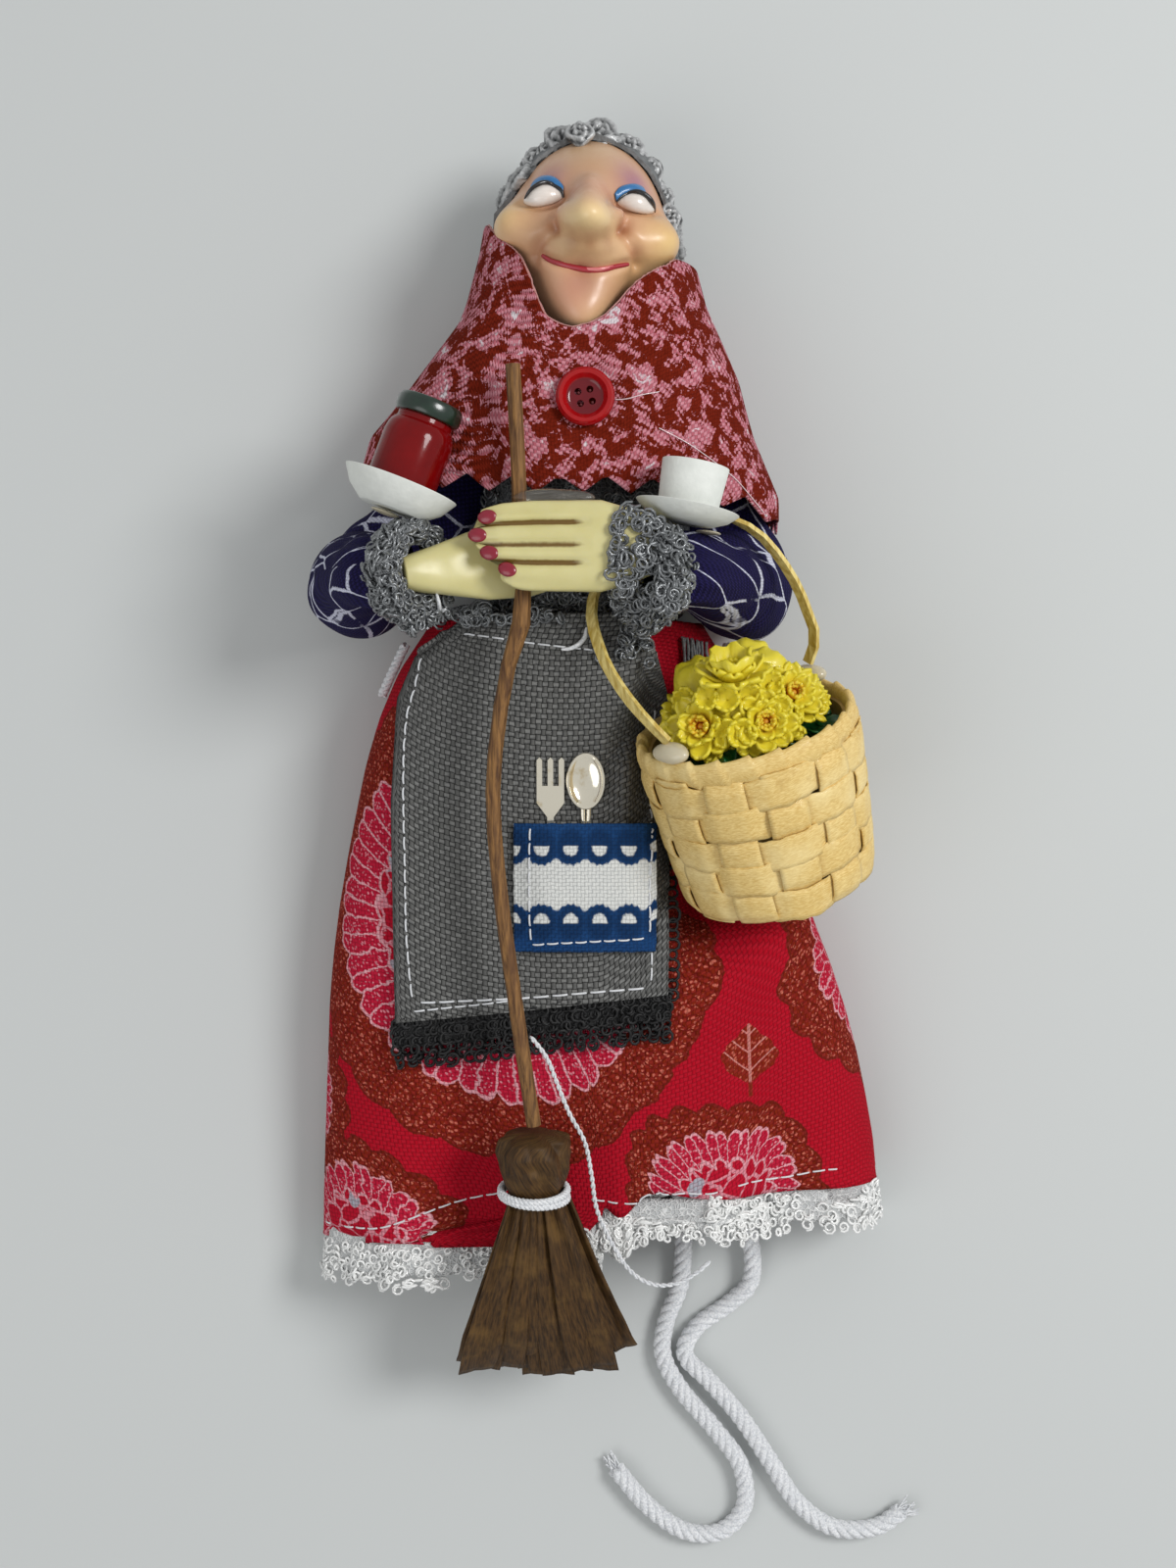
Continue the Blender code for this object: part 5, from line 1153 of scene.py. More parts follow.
# %% Mottled cotton print
scarf_look, tree, shader = new_look("mottled cotton print", 0.9, Specular_IOR_Level=0.05)
vector = place(tree)
mottle = cloud(tree, vector, 310.0, 4.0, 0.66, 0.45)
height, over = woven(tree, shader, 1500.0, 0.13 * MM, 0.2)
dots = times(tree, minus(tree, over, 0.5), 0.035)
mixed = plus(tree, mottle, dots)
pinks = blend(tree, over, paint("b0606b"), paint("c98590"))
pinks = blend(tree, span(tree, mottle, 0.62, 0.68), pinks, paint("d6cace"))
browns = blend(tree, cloud(tree, vector, 900.0), paint("541206"), paint("7e2615"))
layer = blend(tree, span(tree, mixed, 0.500, 0.530), browns, pinks)
# Painted shade: the low places between the threads are darkened towards 3a0d08.
colour(tree, shader, blend(tree, span(tree, height, 0.0, 0.6, 0.35, 0.0), layer, paint("3a0d08")))

# %% The scarf
SCARF_TOP_Y, CHIN_Y, SCARF_HEM_Y, SCARF_TOP = 102.0, 80.0, 52.5, 39.0
SCARF_LEFT_SHARES = (
    (0.0, 0.44), (0.10, 0.46), (0.28, 0.515), (0.36, 0.55), (0.70, 0.85), (0.78, 0.93), (1.0, 1.0),
)
SCARF_RIGHT_SHARES = (
    (0.0, 0.535), (0.14, 0.56), (0.30, 0.62), (0.44, 0.71), (0.57, 0.79), (0.68, 0.83), (0.78, 0.87),
    (1.0, 1.0),
)
OPENING_RIGHT = (
    (0.0, 1.0), (0.50, 0.97), (0.60, 0.82), (0.68, 0.68), (0.80, 0.46), (0.90, 0.22), (0.96, 0.08),
    (1.0, 0.02),
)
OPENING_SHARES = (
    (0.0, 1.0), (0.24, 1.0), (0.40, 0.86), (0.55, 0.74), (0.66, 0.64), (0.73, 0.52), (0.78, 0.36),
    (0.83, 0.20),
    (0.89, 0.08), (1.0, 0.0),
)


def scarf_on(turn, y, proud=0.55):
    """The scarf's outer face at an angle round the doll and a level, in drawn millimetres."""
    share = min(1.0, max(0.0, (SCARF_TOP_Y - y) / (SCARF_TOP_Y - SCARF_HEM_Y)))
    left, right = -43.0 * between(SCARF_LEFT_SHARES, share), 35.0 * between(SCARF_RIGHT_SHARES, share)
    flat_x, flat_z = rounded(turn, 2.5)
    x = (left + right) / 2 + (right - left) / 2 * flat_x
    middle = SCARF_TOP * 0.34
    z = middle + (SCARF_TOP - middle + proud) * flat_z if flat_z >= 0 else max(
        0.0, middle + middle * 1.03 * flat_z,
    )
    return Vector((x, y, z))


def tooth(x, pitch=8.2, start=-0.85):
    """A saw edge: 1 at a tip, 0 between two."""
    return abs(2 * (((x - start) / pitch) % 1.0) - 1)


def scarf_spot(u, v):
    turn = pi / 2 + 2 * pi * (0.5 - u)
    angle = turn % (2 * pi)
    side = 1 - abs(angle - pi / 2) / (pi / 2) if angle <= pi else 0.0
    top = SCARF_TOP_Y - 7.8 * min(1.0, max(0.0, 1.6 * cos(angle)))
    shares = OPENING_RIGHT if cos(angle) > 0 else OPENING_SHARES
    rise = sum(between(shares, abs(side + 0.014 * k)) for k in range(-3, 4)) / 7
    start = CHIN_Y - 0.6 + (top - CHIN_Y) * rise
    if angle > pi:
        start = top - (top - 92.0) * min(1.0, 4 * abs(sin(angle)))
    end = SCARF_HEM_Y - 4.5 * cos(angle) * abs(cos(angle))
    run = scarf_on(angle, end).x if angle <= pi else 400.0 * u
    end += 1.5 - 3.0 * tooth(run)
    y = start + (end - start) * v
    spot = scarf_on(angle, y)
    front = max(0.0, sin(angle))
    drape = noise.noise(Vector((spot.x * 0.085 + y * 0.03, y * 0.035, 1.5))) * 1.1
    crease = noise.noise(Vector((spot.x * 0.22 - y * 0.16, y * 0.06, 5.0))) * 0.5
    push = front * (drape + crease - 0.25) * min(1.0, v * 3 + 0.25)
    spot.z = max(0.0, spot.z + push)
    return at(*spot)


scarf = cloth("scarf_cloth", 288, 46, scarf_spot, 0.45 * MM, ease=1, wrap=True)
dress(scarf, scarf_look, ("scarf",))
edge_line = [scarf_spot(0.235 + 0.53 * k / 90, 0.0) + Vector((0, 0, 0.05 * MM)) for k in range(91)]
edge_look, tree, shader = new_look("cut cloth edge", 0.9, Sheen_Weight=0.2)
colour(tree, shader, blend(tree, cloud(tree, place(tree), 1500.0), paint("8f4a44"), paint("d9a9a4")))
scarf_edge = yarn("scarf_edge", edge_line, 0.30 * MM, 2, 1.3 * MM, 1)
dress(scarf_edge, edge_look)
print("scarf has", len(scarf.data.polygons), "faces")

# %% [markdown]
# ## Stuffed arms
# The sleeves are tubes of navy cotton over stuffing. Each is a grid bent into a tube along the arm. A short
# cloth simulation with pressure inside fills it, and its result is kept in the mesh.

# %% Stuffing by simulation
SIMULATED_FRAMES = 20


def stuffed(thing, pressure, cap):
    """Inflates a piece a little: no point moves further than cap."""
    mesh = thing.data
    start = [vert.co.copy() for vert in mesh.vertices]
    sim = thing.modifiers.new("stuffing", "CLOTH")
    sim.settings.quality = 4
    sim.settings.mass = 0.02
    sim.settings.use_pressure = True
    sim.settings.uniform_pressure_force = pressure
    sim.settings.effector_weights.gravity = 0.0
    sim.collision_settings.use_collision = False
    sim.point_cache.frame_start = 1
    sim.point_cache.frame_end = SIMULATED_FRAMES
    scene = bpy.context.scene
    for number in range(1, SIMULATED_FRAMES + 1):
        scene.frame_set(number)
    graph = bpy.context.evaluated_depsgraph_get()
    filled = thing.evaluated_get(graph).to_mesh()
    moves = []
    for vert, old, new in zip(mesh.vertices, start, filled.vertices):
        move = new.co - old
        moves.append(move.length)
        vert.co = old + move * min(1.0, cap / max(move.length, 1e-9))
    thing.evaluated_get(graph).to_mesh_clear()
    thing.modifiers.remove(sim)
    scene.frame_set(1)
    mesh.update()
    print(thing.name, "swelled by up to", round(max(moves) / MM, 2), "mm")


# %% Navy cotton with white veins
sleeve_look, tree, shader = new_look("navy vein print", 0.85, Specular_IOR_Level=0.15)
vector = place(tree, "UV")
veins = cells(tree, vector, 92.0, "DISTANCE_TO_EDGE")
fray = jitter(tree, vector, 900.0, 0.045)
line = span(tree, plus(tree, veins, fray), 0.030, 0.016)
broken = span(tree, cloud(tree, vector, 110.0), 0.36, 0.46)
height, over = woven(tree, shader, 1700.0, 0.12 * MM, 0.2)
navy = blend(tree, over, paint("141034"), paint("201b4c"))
layer = blend(tree, times(tree, line, broken), navy, paint("ced0e2"))
# Painted shade: the low places between the threads are darkened towards 0a0818.
colour(tree, shader, blend(tree, span(tree, height, 0.0, 0.6, 0.5, 0.0), layer, paint("0a0818")))

# %% The arms' places
CHEST_HALF, SHOULDER_Y, ELBOW_Y, ELBOW_Z, ELBOW_RADIUS = 19.0, 66.0, 37.5, 12.5, 9.8
WRIST_Y, WRIST_Z, WRIST_RADIUS, CUFF_LENGTH, HAND_WIDTH = 37.0, 42.0, 6.6, 9.0, 15.0
ELBOW_X = {1: 29.0, -1: -41.0}
WRIST_X = {1: 13.5, -1: -33.5}
SIDE_NAMES = {1: "left", -1: "right"}


def wrist_at(side):
    return Vector((WRIST_X[side], WRIST_Y, WRIST_Z))


def wrist_way(side):
    """The way a forearm points: inward and up. Side +1 is the doll's left arm, on the viewer's right."""
    return Vector((-side * cos(radians(35)), 0.0, sin(radians(35))))


def sleeve(side):
    """A tube of cloth from the shoulder, round the elbow, to the cuff."""
    shoulder = Vector((side * (CHEST_HALF - 3.8), SHOULDER_Y, ELBOW_Z + 2.66))
    elbow = Vector((ELBOW_X[side], ELBOW_Y, ELBOW_Z))
    way = wrist_way(side)
    end = wrist_at(side) + way * CUFF_LENGTH * 0.08
    lead = end - way * CUFF_LENGTH * 0.75
    route = [
        shoulder, shoulder.lerp(elbow, 0.5), elbow + Vector((0, 0, 1.18)),
        elbow.lerp(lead, 0.5) + Vector((side * 1.18, 0, 0)), lead, end,
    ]
    rows = 76
    points, _ = smooth_path(route, rows)
    sides = frames_along(points)
    swell = (
        (0.0, 0.72), (0.15, 0.74), (0.28, 0.78), (0.42, 0.94), (0.55, 1.0), (0.68, 0.94), (0.80, 0.78),
        (0.88, WRIST_RADIUS / ELBOW_RADIUS), (1.0, WRIST_RADIUS / ELBOW_RADIUS),
    )

    def spot(u, v):
        i = round(v * rows)
        turn = 2 * pi * u
        radius = ELBOW_RADIUS * between(swell, v)
        gather = 0.45 * sin(turn * 11) * max(0.0, (v - 0.80) / 0.20)
        wrinkle = noise.noise(Vector((cos(turn), sin(turn), v * 5.0 + side))) * 0.9
        ridge = noise.noise(Vector((cos(turn) * 0.8, sin(turn) * 0.8, v * 15.0 + side * 4))) * 0.55
        first, second = sides[i]
        place_at = points[i] + (first * cos(turn) + second * sin(turn)) * (
            radius + gather + wrinkle + ridge - 0.2
        )
        return at(place_at.x, place_at.y, max(place_at.z, 0.2))

    made = cloth("sleeve_cloth_" + SIDE_NAMES[side], 56, rows, spot, 0.0, wrap=True)
    stuffed(made, 30.0, 0.5 * MM)
    smooth = made.modifiers.new("rounding", "SUBSURF")
    smooth.levels = smooth.render_levels = 1
    return made


arms = {}
for side in (1, -1):
    arm = arms[side] = sleeve(side)
    dress(arm, sleeve_look, ("sleeve_" + SIDE_NAMES[side],))

# %% [markdown]
# ## Stuffed body
# The chest and hips hardly show, but lace covers the chest between scarf and apron. Each starts from a copy
# of its CAD solid, remeshed into even small faces, swelled by the same simulation, and rounded.

# %% A stuffed copy of a CAD solid


def filled_copy(name, node, voxel, pressure, cap):
    made = linked(name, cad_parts[node].data.copy())
    with reshaping(made.data) as build:
        weld(build, 0.01 * MM)
    grid = made.modifiers.new("even faces", "REMESH")
    grid.mode = "VOXEL"
    grid.voxel_size = voxel
    graph = bpy.context.evaluated_depsgraph_get()
    made.data = bpy.data.meshes.new_from_object(made.evaluated_get(graph))
    made.modifiers.remove(grid)
    with reshaping(made.data) as build:
        relax(build, build.verts, 4)
    stuffed(made, pressure, cap)
    made.data.shade_smooth()
    return made


inner_look = mottled(
    "inner cotton", 0.95, ("8d887d", "b1aca0"), (800.0,), (2400.0,), 0.1, 0.6, Sheen_Weight=0.2
)[0]
chest = filled_copy("stuffed_chest", "bodice", 1.3 * MM, 20.0, 0.2 * MM)
dress(chest, grey_band_look, ("bodice",))
hips = filled_copy("stuffed_hips", "hips", 1.6 * MM, 20.0, 0.2 * MM)
dress(hips, inner_look, ("hips",))

# %% Lace over the chest
chest_top = surface(chest)
places = []
dice = Random(21)
for k in range(210):
    x, y = dice.uniform(-25.0, 13.0), dice.uniform(31.5, 57.0)
    hit, normal, _, _ = chest_top.ray_cast(at(x, y, 80.0), Vector((0, 0, -1)))
    if hit is None:
        continue
    turn = dice.uniform(0, 2 * pi)
    out = Vector((cos(turn), sin(turn), 0.15)).normalized()
    places.append((hit + normal * 0.5 * MM, out, normal.cross(out).normalized()))
chest_loops = loops("chest_lace_loops", places, 1.4 * MM, 0.26 * MM, 31, 14, 1.6)
dress(chest_loops, grey_loop_look)
print("chest lace has", len(places), "loops")

# %% [markdown]
# ## Cuffs
# A gathered ring of shiny grey lace stands round each wrist. It is a ruffled band, thick with loops of
# thread.

# %% The cuffs


def turned_frame(where, x_axis, y_axis, z_axis):
    """The matrix that takes a piece drawn in millimetres round its own axes to its place on the doll."""
    turn = Matrix((x_axis, y_axis, z_axis)).transposed().to_4x4()
    return Matrix.Translation(at(*where)) @ turn @ Matrix.Scale(MM, 4)


CUFF_SHARES = (
    (0.0, 0.0), (0.1, 0.55), (0.45, 0.75), (0.8, 1.0), (1.0, 0.75), (1.0, 0.1), (0.94, -0.55), (0.98, -1.25),
)
cuffs = []
for side in (1, -1):
    way = wrist_way(side)
    up = Vector((0, 1, 0))
    spot_frame = turned_frame(wrist_at(side), up.cross(way), up, way)

    def cuff_spot(u, v, spot_frame=spot_frame):
        turn = 2 * pi * u
        i = min(len(CUFF_SHARES) - 2, int(v * (len(CUFF_SHARES) - 1)))
        part = v * (len(CUFF_SHARES) - 1) - i
        along = CUFF_SHARES[i][0] + (CUFF_SHARES[i + 1][0] - CUFF_SHARES[i][0]) * part
        out = CUFF_SHARES[i][1] + (CUFF_SHARES[i + 1][1] - CUFF_SHARES[i][1]) * part
        ruffle = 1 + (0.30 * cos(8 * turn) + 0.22 * cos(17 * turn + 1.0)) * out
        low = 1 - 0.8 * max(0.0, sin(turn))
        radius = WRIST_RADIUS + 0.6 + 2.4 * out * (ruffle * low if out > 0 else 1.0)
        return spot_frame @ Vector(
            (cos(turn) * radius, sin(turn) * radius, CUFF_LENGTH * (along * 0.50 + 0.08))
        )

    band = cloth("cuff_band_" + SIDE_NAMES[side], 120, 18, cuff_spot, 0.3 * MM, wrap=True)
    dress(band, grey_band_look, ("cuff_" + SIDE_NAMES[side],))
    places = []
    dice = Random(40 + side)
    for row in range(10):
        count = 36 if row < 8 else 24
        for k in range(count):
            u = (k + 0.5 * (row % 2) + dice.uniform(-0.4, 0.4)) / count % 1.0
            v = 0.14 + 0.086 * row + dice.uniform(-0.03, 0.03)
            centre = cuff_spot(u, v)
            ahead = (cuff_spot(u, v + 0.03) - centre).normalized()
            around = (cuff_spot((u + 0.01) % 1.0, v) - centre).normalized()
            out = around.cross(ahead).normalized()
            middle = spot_frame @ Vector((0, 0, 0))
            out = out if out.dot(centre - middle) > 0 else -out
            turn = dice.uniform(0, pi)
            face = (ahead * cos(turn) + out * sin(turn) * 0.8).normalized()
            places.append((centre + out * dice.uniform(0.1, 0.7) * MM, face, around))
    ring = loops("cuff_loops_" + SIDE_NAMES[side], places, 1.1 * MM, 0.27 * MM, 50 + side, 14, 1.7)
    dress(ring, grey_loop_look)
    cuffs.append((band, ring))
print("each cuff has", len(places), "loops")

# %% [markdown]
# ## Head
# The head is cast resin, painted by hand: a big nose, full cheeks and a small smile. It starts as a fine
# sphere. Each vertex moves out to an egg's surface, and rounded forms and creases are added on top, each at
# the place where the picture shows it. Soft paint goes into a colour attribute, with painted shade in the
# creases and painted highlights on the nose tip and chin, and crisp paint is thin shells, a painted highlight
# on the lips among them.

# %% The egg and its forms
HEAD_FRAME = (
    Matrix.Translation(at(-0.4, 97.94, 22.4))
    @ Euler((radians(-20), 0.0, radians(-6))).to_matrix().to_4x4()
    @ Matrix.Scale(MM, 4)
)
HEAD_INVERSE = HEAD_FRAME.inverted()
FORMS = (
    # where it points, its reach in radians, its height in millimetres
    ((0.87, -0.20, 0.45), 0.36, 3.2), ((-0.87, -0.20, 0.45), 0.36, 3.2), ((0.45, -0.42, 0.78), 0.26, 1.6),
    ((-0.45, -0.42, 0.78), 0.26, 1.6), ((0.02, -0.40, 0.92), 0.20, 5.8), ((0.01, -0.20, 0.97), 0.19, 3.2),
    ((0.15, -0.40, 0.90), 0.12, 1.6), ((-0.13, -0.40, 0.90), 0.12, 1.6), ((0.0, -0.90, 0.42), 0.43, 3.0),
    ((0.0, -0.68, 0.72), 0.13, -1.0), ((0.34, -0.08, 0.93), 0.17, -1.2), ((-0.34, -0.08, 0.93), 0.17, -1.2),
    ((0.0, 0.25, 0.95), 0.40, 0.8),
)
forms = [(Vector(way).normalized(), reach, height) for way, reach, height in FORMS]


def bell(share):
    """A soft hump's height: 1 at its middle, and next to nothing from a share of 6 on."""
    return 2.718 ** -share


def egg(way, extra=()):
    """The head's radius in millimetres in a direction from its centre."""
    wide = 14.6 * (1 - 0.27 * max(0.0, -way.y - 0.15))
    radius = 1 / sqrt((way.x / wide) ** 2 + (way.y / 19.6) ** 2 + (way.z / 17.0) ** 2)
    for toward, reach, height in (*forms, *extra):
        apart = 2 - 2 * way.dot(toward)
        share = apart / (reach * reach)
        if share < 9:
            radius += height * bell(share)
    return radius


def ball(segments, rings):
    """A unit sphere with its poles up and down the head."""
    build = bmesh.new()
    bmesh.ops.create_uvsphere(build, u_segments=segments, v_segments=rings, radius=1.0)
    bmesh.ops.rotate(build, cent=(0, 0, 0), matrix=Matrix.Rotation(pi / 2, 3, "X"), verts=build.verts)
    return build


base = ball(48, 32)
for vert in base.verts:
    way = vert.co.normalized()
    vert.co = HEAD_FRAME @ (way * egg(way))
base_tree = BVHTree.FromBMesh(base)
base.free()


def facing(across, down):
    """The direction from the head's centre to what a picture point shows."""
    return (HEAD_INVERSE @ seen(base_tree, across, down, 0.0, 36.0)).normalized()


# %% Fine forms, read off the picture
BUMPS = (
    # picture point, reach and height in millimetres
    (602, 230, 3.6, 3.4), (591, 227, 2.4, 0.8), (614, 227, 2.4, 0.8), (601, 205, 3.2, 2.3),
    (602, 190, 2.8, 2.0),
    (573, 221, 1.7, 2.9), (631, 222, 1.7, 2.9), (526, 229, 4.4, 2.3), (672, 246, 4.6, 2.5),
    (602, 318, 4.0, 1.2), (592, 320, 3.0, 0.5), (596, 293, 2.6, -0.7), (556, 200, 3.0, 1.1),
    (648, 207, 3.0, 1.1),
    (585, 254, 2.6, 0.9), (612, 258, 2.6, 0.9), (560, 240, 3.0, 0.5), (642, 252, 3.0, 0.5),
)
CREASES = (
    # picture points, reach and height in millimetres
    (((567, 219), (566, 228), (572, 237), (585, 243), (600, 245), (618, 242), (632, 236),
    (637, 226)), 1.15, -1.9),
    (((566, 233), (556, 243), (549, 250), (545, 262)), 1.25, -1.6),
    (((636, 236), (643, 248), (648, 258), (650, 270)), 1.25, -1.6),
    (((556, 262), (572, 269), (590, 273), (606, 275), (622, 273), (639, 269)), 0.85, -1.0),
    (((533, 211), (548, 213), (562, 210), (574, 203)), 1.0, -1.1),
    (((631, 210), (645, 216), (660, 219), (668, 217)), 1.0, -1.1),
    (((548, 283), (555, 300), (562, 316)), 2.0, -0.4),
    (((652, 278), (640, 297), (628, 314)), 2.0, -0.4),
)
fine = [(facing(u, v), reach / 19.0, height) for u, v, reach, height in BUMPS]
strokes = []
for pixels, reach, height in CREASES:
    line, _ = smooth_path([facing(u, v) for u, v in pixels], 22)
    strokes.append(([way.normalized() for way in line], reach / 19.0, height))


def face_radius(way):
    radius = egg(way, fine)
    if way.z > 0:
        for line, reach, height in strokes:
            nearest = max(way.dot(spot) for spot in line)
            share = (2 - 2 * nearest) / (reach * reach)
            if share < 6:
                radius += height * bell(share)
    return radius


# %% The head's mesh, its soft paint, and painted shade and highlights
SKIN = paint("d0a07c")
TINTS = (
    # picture point, reach in millimetres, colour, strength
    # ecd39a on the nose tip is the doll's paler paint, lightened further as a painted highlight.
    (522, 228, 5.0, "e6c488", 0.85), (674, 250, 5.5, "e3c07f", 0.85), (602, 230, 4.6, "ecd39a", 1.0),
    (562, 182, 4.6, "a9747c", 0.95), (646, 184, 4.8, "a0667e", 1.0), (602, 166, 6.0, "b98e6c", 0.7),
    # 96604e under the lower lip is painted shade in the crease, and dfc08c on the chin is a painted highlight.
    (594, 291, 3.0, "96604e", 0.9), (602, 322, 4.0, "dfc08c", 0.7), (585, 305, 4.0, "d08e78", 0.5),
    (628, 262, 3.0, "dfb987", 0.5), (572, 252, 3.0, "e0bb88", 0.5), (548, 268, 2.6, "d79c7c", 0.5),
    (566, 226, 1.8, "c98f66", 0.7), (637, 228, 1.8, "c48a62", 0.7), (602, 200, 3.5, "cf9478", 0.6),
    # a66f50, b88560, b5825c and b57a5c are painted shade in the creases beside and under the nose and along the
    # smile lines.
    (566, 231, 1.4, "a66f50", 0.8), (637, 233, 1.4, "a66f50", 0.8), (585, 247, 1.5, "b88560", 0.7),
    (602, 249, 1.5, "b5825c", 0.8), (619, 246, 1.5, "b88560", 0.7), (551, 252, 1.4, "b57a5c", 0.7),
    (648, 259, 1.4, "b57a5c", 0.7), (573, 217, 1.5, "d59c84", 0.7), (631, 218, 1.5, "d59c84", 0.7),
    (588, 196, 1.6, "c48d74", 0.6), (617, 197, 1.6, "c48d74", 0.6),
    (645, 285, 4.0, "cfa568", 0.5), (530, 250, 4.0, "dfa87f", 0.5), (600, 150, 8.0, "cdb58c", 0.45),
)
tints = [(facing(u, v), reach / 19.0, paint(code), strength) for u, v, reach, code, strength in TINTS]
build = ball(176, 132)
paint_shade_and_highlight = build.verts.layers.float_color.new("paint")
for vert in build.verts:
    way = vert.co.normalized()
    shade = Vector(SKIN[:3])
    if way.z > -0.3:
        for toward, reach, tint, strength in tints:
            share = (2 - 2 * way.dot(toward)) / (reach * reach)
            if share < 8:
                shade = shade.lerp(Vector(tint[:3]), strength * bell(share))
    vert[paint_shade_and_highlight] = (*shade, 1.0)
    vert.co = HEAD_FRAME @ (way * face_radius(way))
head = piece_from("head_cast", build)
skin_look, tree, shader = new_look("painted resin skin", 0.42, Coat_Weight=0.35, Coat_Roughness=0.3)
vector = place(tree)
patches = span(tree, cloud(tree, vector, 260.0, 4.0), 0.35, 0.7, 0.0, 0.16)
colour(tree, shader, blend(tree, patches, painted(tree, "paint")["Color"], paint("b9805c")))
feed(tree, shader.inputs["Roughness"], span(tree, cloud(tree, vector, 500.0), 0.3, 0.7, 0.34, 0.52))
raise_surface(tree, shader, cloud(tree, vector, 900.0, 3.0), 0.05 * MM, 0.4)
dress(head, skin_look, ("head",))
head_top = surface(head)
print("head has", len(head.data.polygons), "faces")

# %% Eyes, lids, lashes and mouth


def patch(name, upper, lower, lift, bulge, look):
    """A thin shell between two picture lines, laid on the head and bulged in its middle."""
    columns, rows = 26, 9
    high, _ = smooth_path([Vector((u, v, 0.0)) for u, v in upper], columns)
    low, _ = smooth_path([Vector((u, v, 0.0)) for u, v in lower], columns)

    def spot(u, v):
        i = round(u * columns)
        pixel = high[i].lerp(low[i], v)
        crown = (max(0.0, sin(pi * u)) * max(0.0, sin(pi * v))) ** 0.6
        return seen(head_top, pixel.x, pixel.y, (lift + bulge * crown) * MM, 36.0)

    return dress(cloth(name, columns, rows, spot, 0.25 * MM, ease=1), look)


def drawn(name, tree, pixels, radius, look, lift, ends=0.25):
    """A painted line: a thin raised stroke that tapers at both ends."""
    line, _ = smooth_path([seen(tree, u, v, lift * MM, 36.0) for u, v in pixels], 30)
    made = threads(name, [line], radius, 2, False, lambda t: ends + (1 - ends) * sin(pi * t) ** 0.6)
    dress(made, look)


def enamel(name, code, second, roughness=0.3, coat=0.5):
    """Hand-painted enamel: one colour with slight brush streaks."""
    look, tree, shader = new_look(name, roughness, Coat_Weight=coat, Coat_Roughness=0.15)
    vector = place(tree, "Object", (1, 3, 1))
    colour(tree, shader, blend(tree, cloud(tree, vector, 900.0, 3.0), paint(code), paint(second)))
    raise_surface(tree, shader, cloud(tree, vector, 1500.0), 0.04 * MM, 0.5)
    return look


white_enamel = enamel("white enamel", "d9cfc6", "ece4dc", 0.25, 0.8)
blue_enamel = enamel("blue enamel", "1d5f98", "2f7ab4", 0.35)
black_enamel = enamel("black enamel", "0b0a0c", "1a171a", 0.3)
red_enamel = enamel("red enamel", "8f1524", "b32536", 0.28, 0.8)
# Pink for the painted highlight along the lips.
lip_highlight_enamel = enamel("pink painted lip highlight", "cc6468", "de8a88", 0.25, 0.8)
eye_right = patch(
    "eye_white_right", ((537, 203), (545, 193.5), (554, 190), (564, 192), (573, 198)),
    ((536, 207), (545, 210), (556, 209), (566, 206), (574, 201)), 0.1, 1.3, white_enamel,
)
eye_left = patch(
    "eye_white_left", ((630, 206), (639, 200.5), (649, 199), (658, 203), (665, 212)),
    ((632, 208), (641, 213), (650, 216), (659, 217.5), (666, 216.5)), 0.1, 1.3, white_enamel,
)
patch(
    "eyelid_right", ((542, 195), (547, 186), (555, 181.5), (566, 182.5), (575.5, 191.5)),
    ((541.5, 198), (546, 192), (554, 188.3), (564.5, 189.5), (575, 196.5)), 0.12, 0.5, blue_enamel,
)
patch(
    "eyelid_left", ((626.5, 198), (634, 191.5), (645, 189.5), (654, 192), (657, 197)),
    ((628, 205), (636, 199.5), (647, 196), (654, 197.5), (658, 200)), 0.12, 0.5, blue_enamel,
)
eyes_top = surface(head, eye_right, eye_left)
drawn("lash_right", eyes_top, (
    (537, 203), (542, 196), (548, 191), (555, 188.3), (564, 189.7), (571, 195), (577, 202),
), 0.42 * MM, black_enamel, 0.4)
drawn("lash_left", eyes_top, (
    (627, 206), (634, 200.5), (642, 197.7), (650, 197.5), (658, 200.5), (664, 207), (668, 219),
), 0.42 * MM, black_enamel, 0.4)
drawn("mouth_line", head_top, (
    (553.5, 260.5), (561, 265.5), (572, 269.5), (587, 273), (603, 275.3), (617, 274.6), (628, 272),
    (641, 269.6),
), 0.56 * MM, red_enamel, 0.1, 0.55)
# A painted highlight: a pink stroke along the middle of the lips, over the red line.
drawn(
    "mouth_painted_highlight", head_top, ((590, 272.6), (603, 274.2), (614, 273.8), (626, 271)), 0.38 * MM, lip_highlight_enamel,
    0.34,
)
print("face is painted")

# %% [markdown]
# ## Hair
# The hair is moulded with the head, in rosette curls brushed with silver. One rosette is a dome whose height
# follows a spiral, so that it looks like wound strands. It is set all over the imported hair's surface.

# %% Rosettes
hair_form = probe("hair")


def add_rosette(build, crest, centre, out, radius, seed):
    """Adds one moulded curl: a low dome with a spiral relief and a few lobes."""
    dice = Random(seed)
    turn = upright(out) @ Matrix.Rotation(dice.uniform(0, 2 * pi), 3, "Z")
    made = bmesh.ops.create_uvsphere(build, u_segments=30, v_segments=16, radius=1.0)
    lobes = dice.choice((3, 4, 5))
    for vert in made["verts"]:
        flat = min(1.0, sqrt(vert.co.x ** 2 + vert.co.y ** 2))
        angle = atan2(vert.co.y, vert.co.x)
        wound = (angle / (2 * pi) * 2 + flat * 2.1) % 1.0
        petal = wound ** 0.7 * min(1.0, (1 - wound) * 6)
        wave = 1 + 0.10 * sin(lobes * angle + 4 * flat)
        rise = vert.co.z * (0.60 if vert.co.z > 0 else 0.3) + (0.42 * petal - 0.15) * (vert.co.z > -0.2)
        rough = noise.noise(Vector((vert.co.x * 4 + seed, vert.co.y * 4, 0.0)))
        spot = Vector((vert.co.x * wave, vert.co.y * wave, rise + 0.10 * rough))
        vert[crest] = (petal, petal, petal, 1.0)
        vert.co = centre + turn @ spot * radius


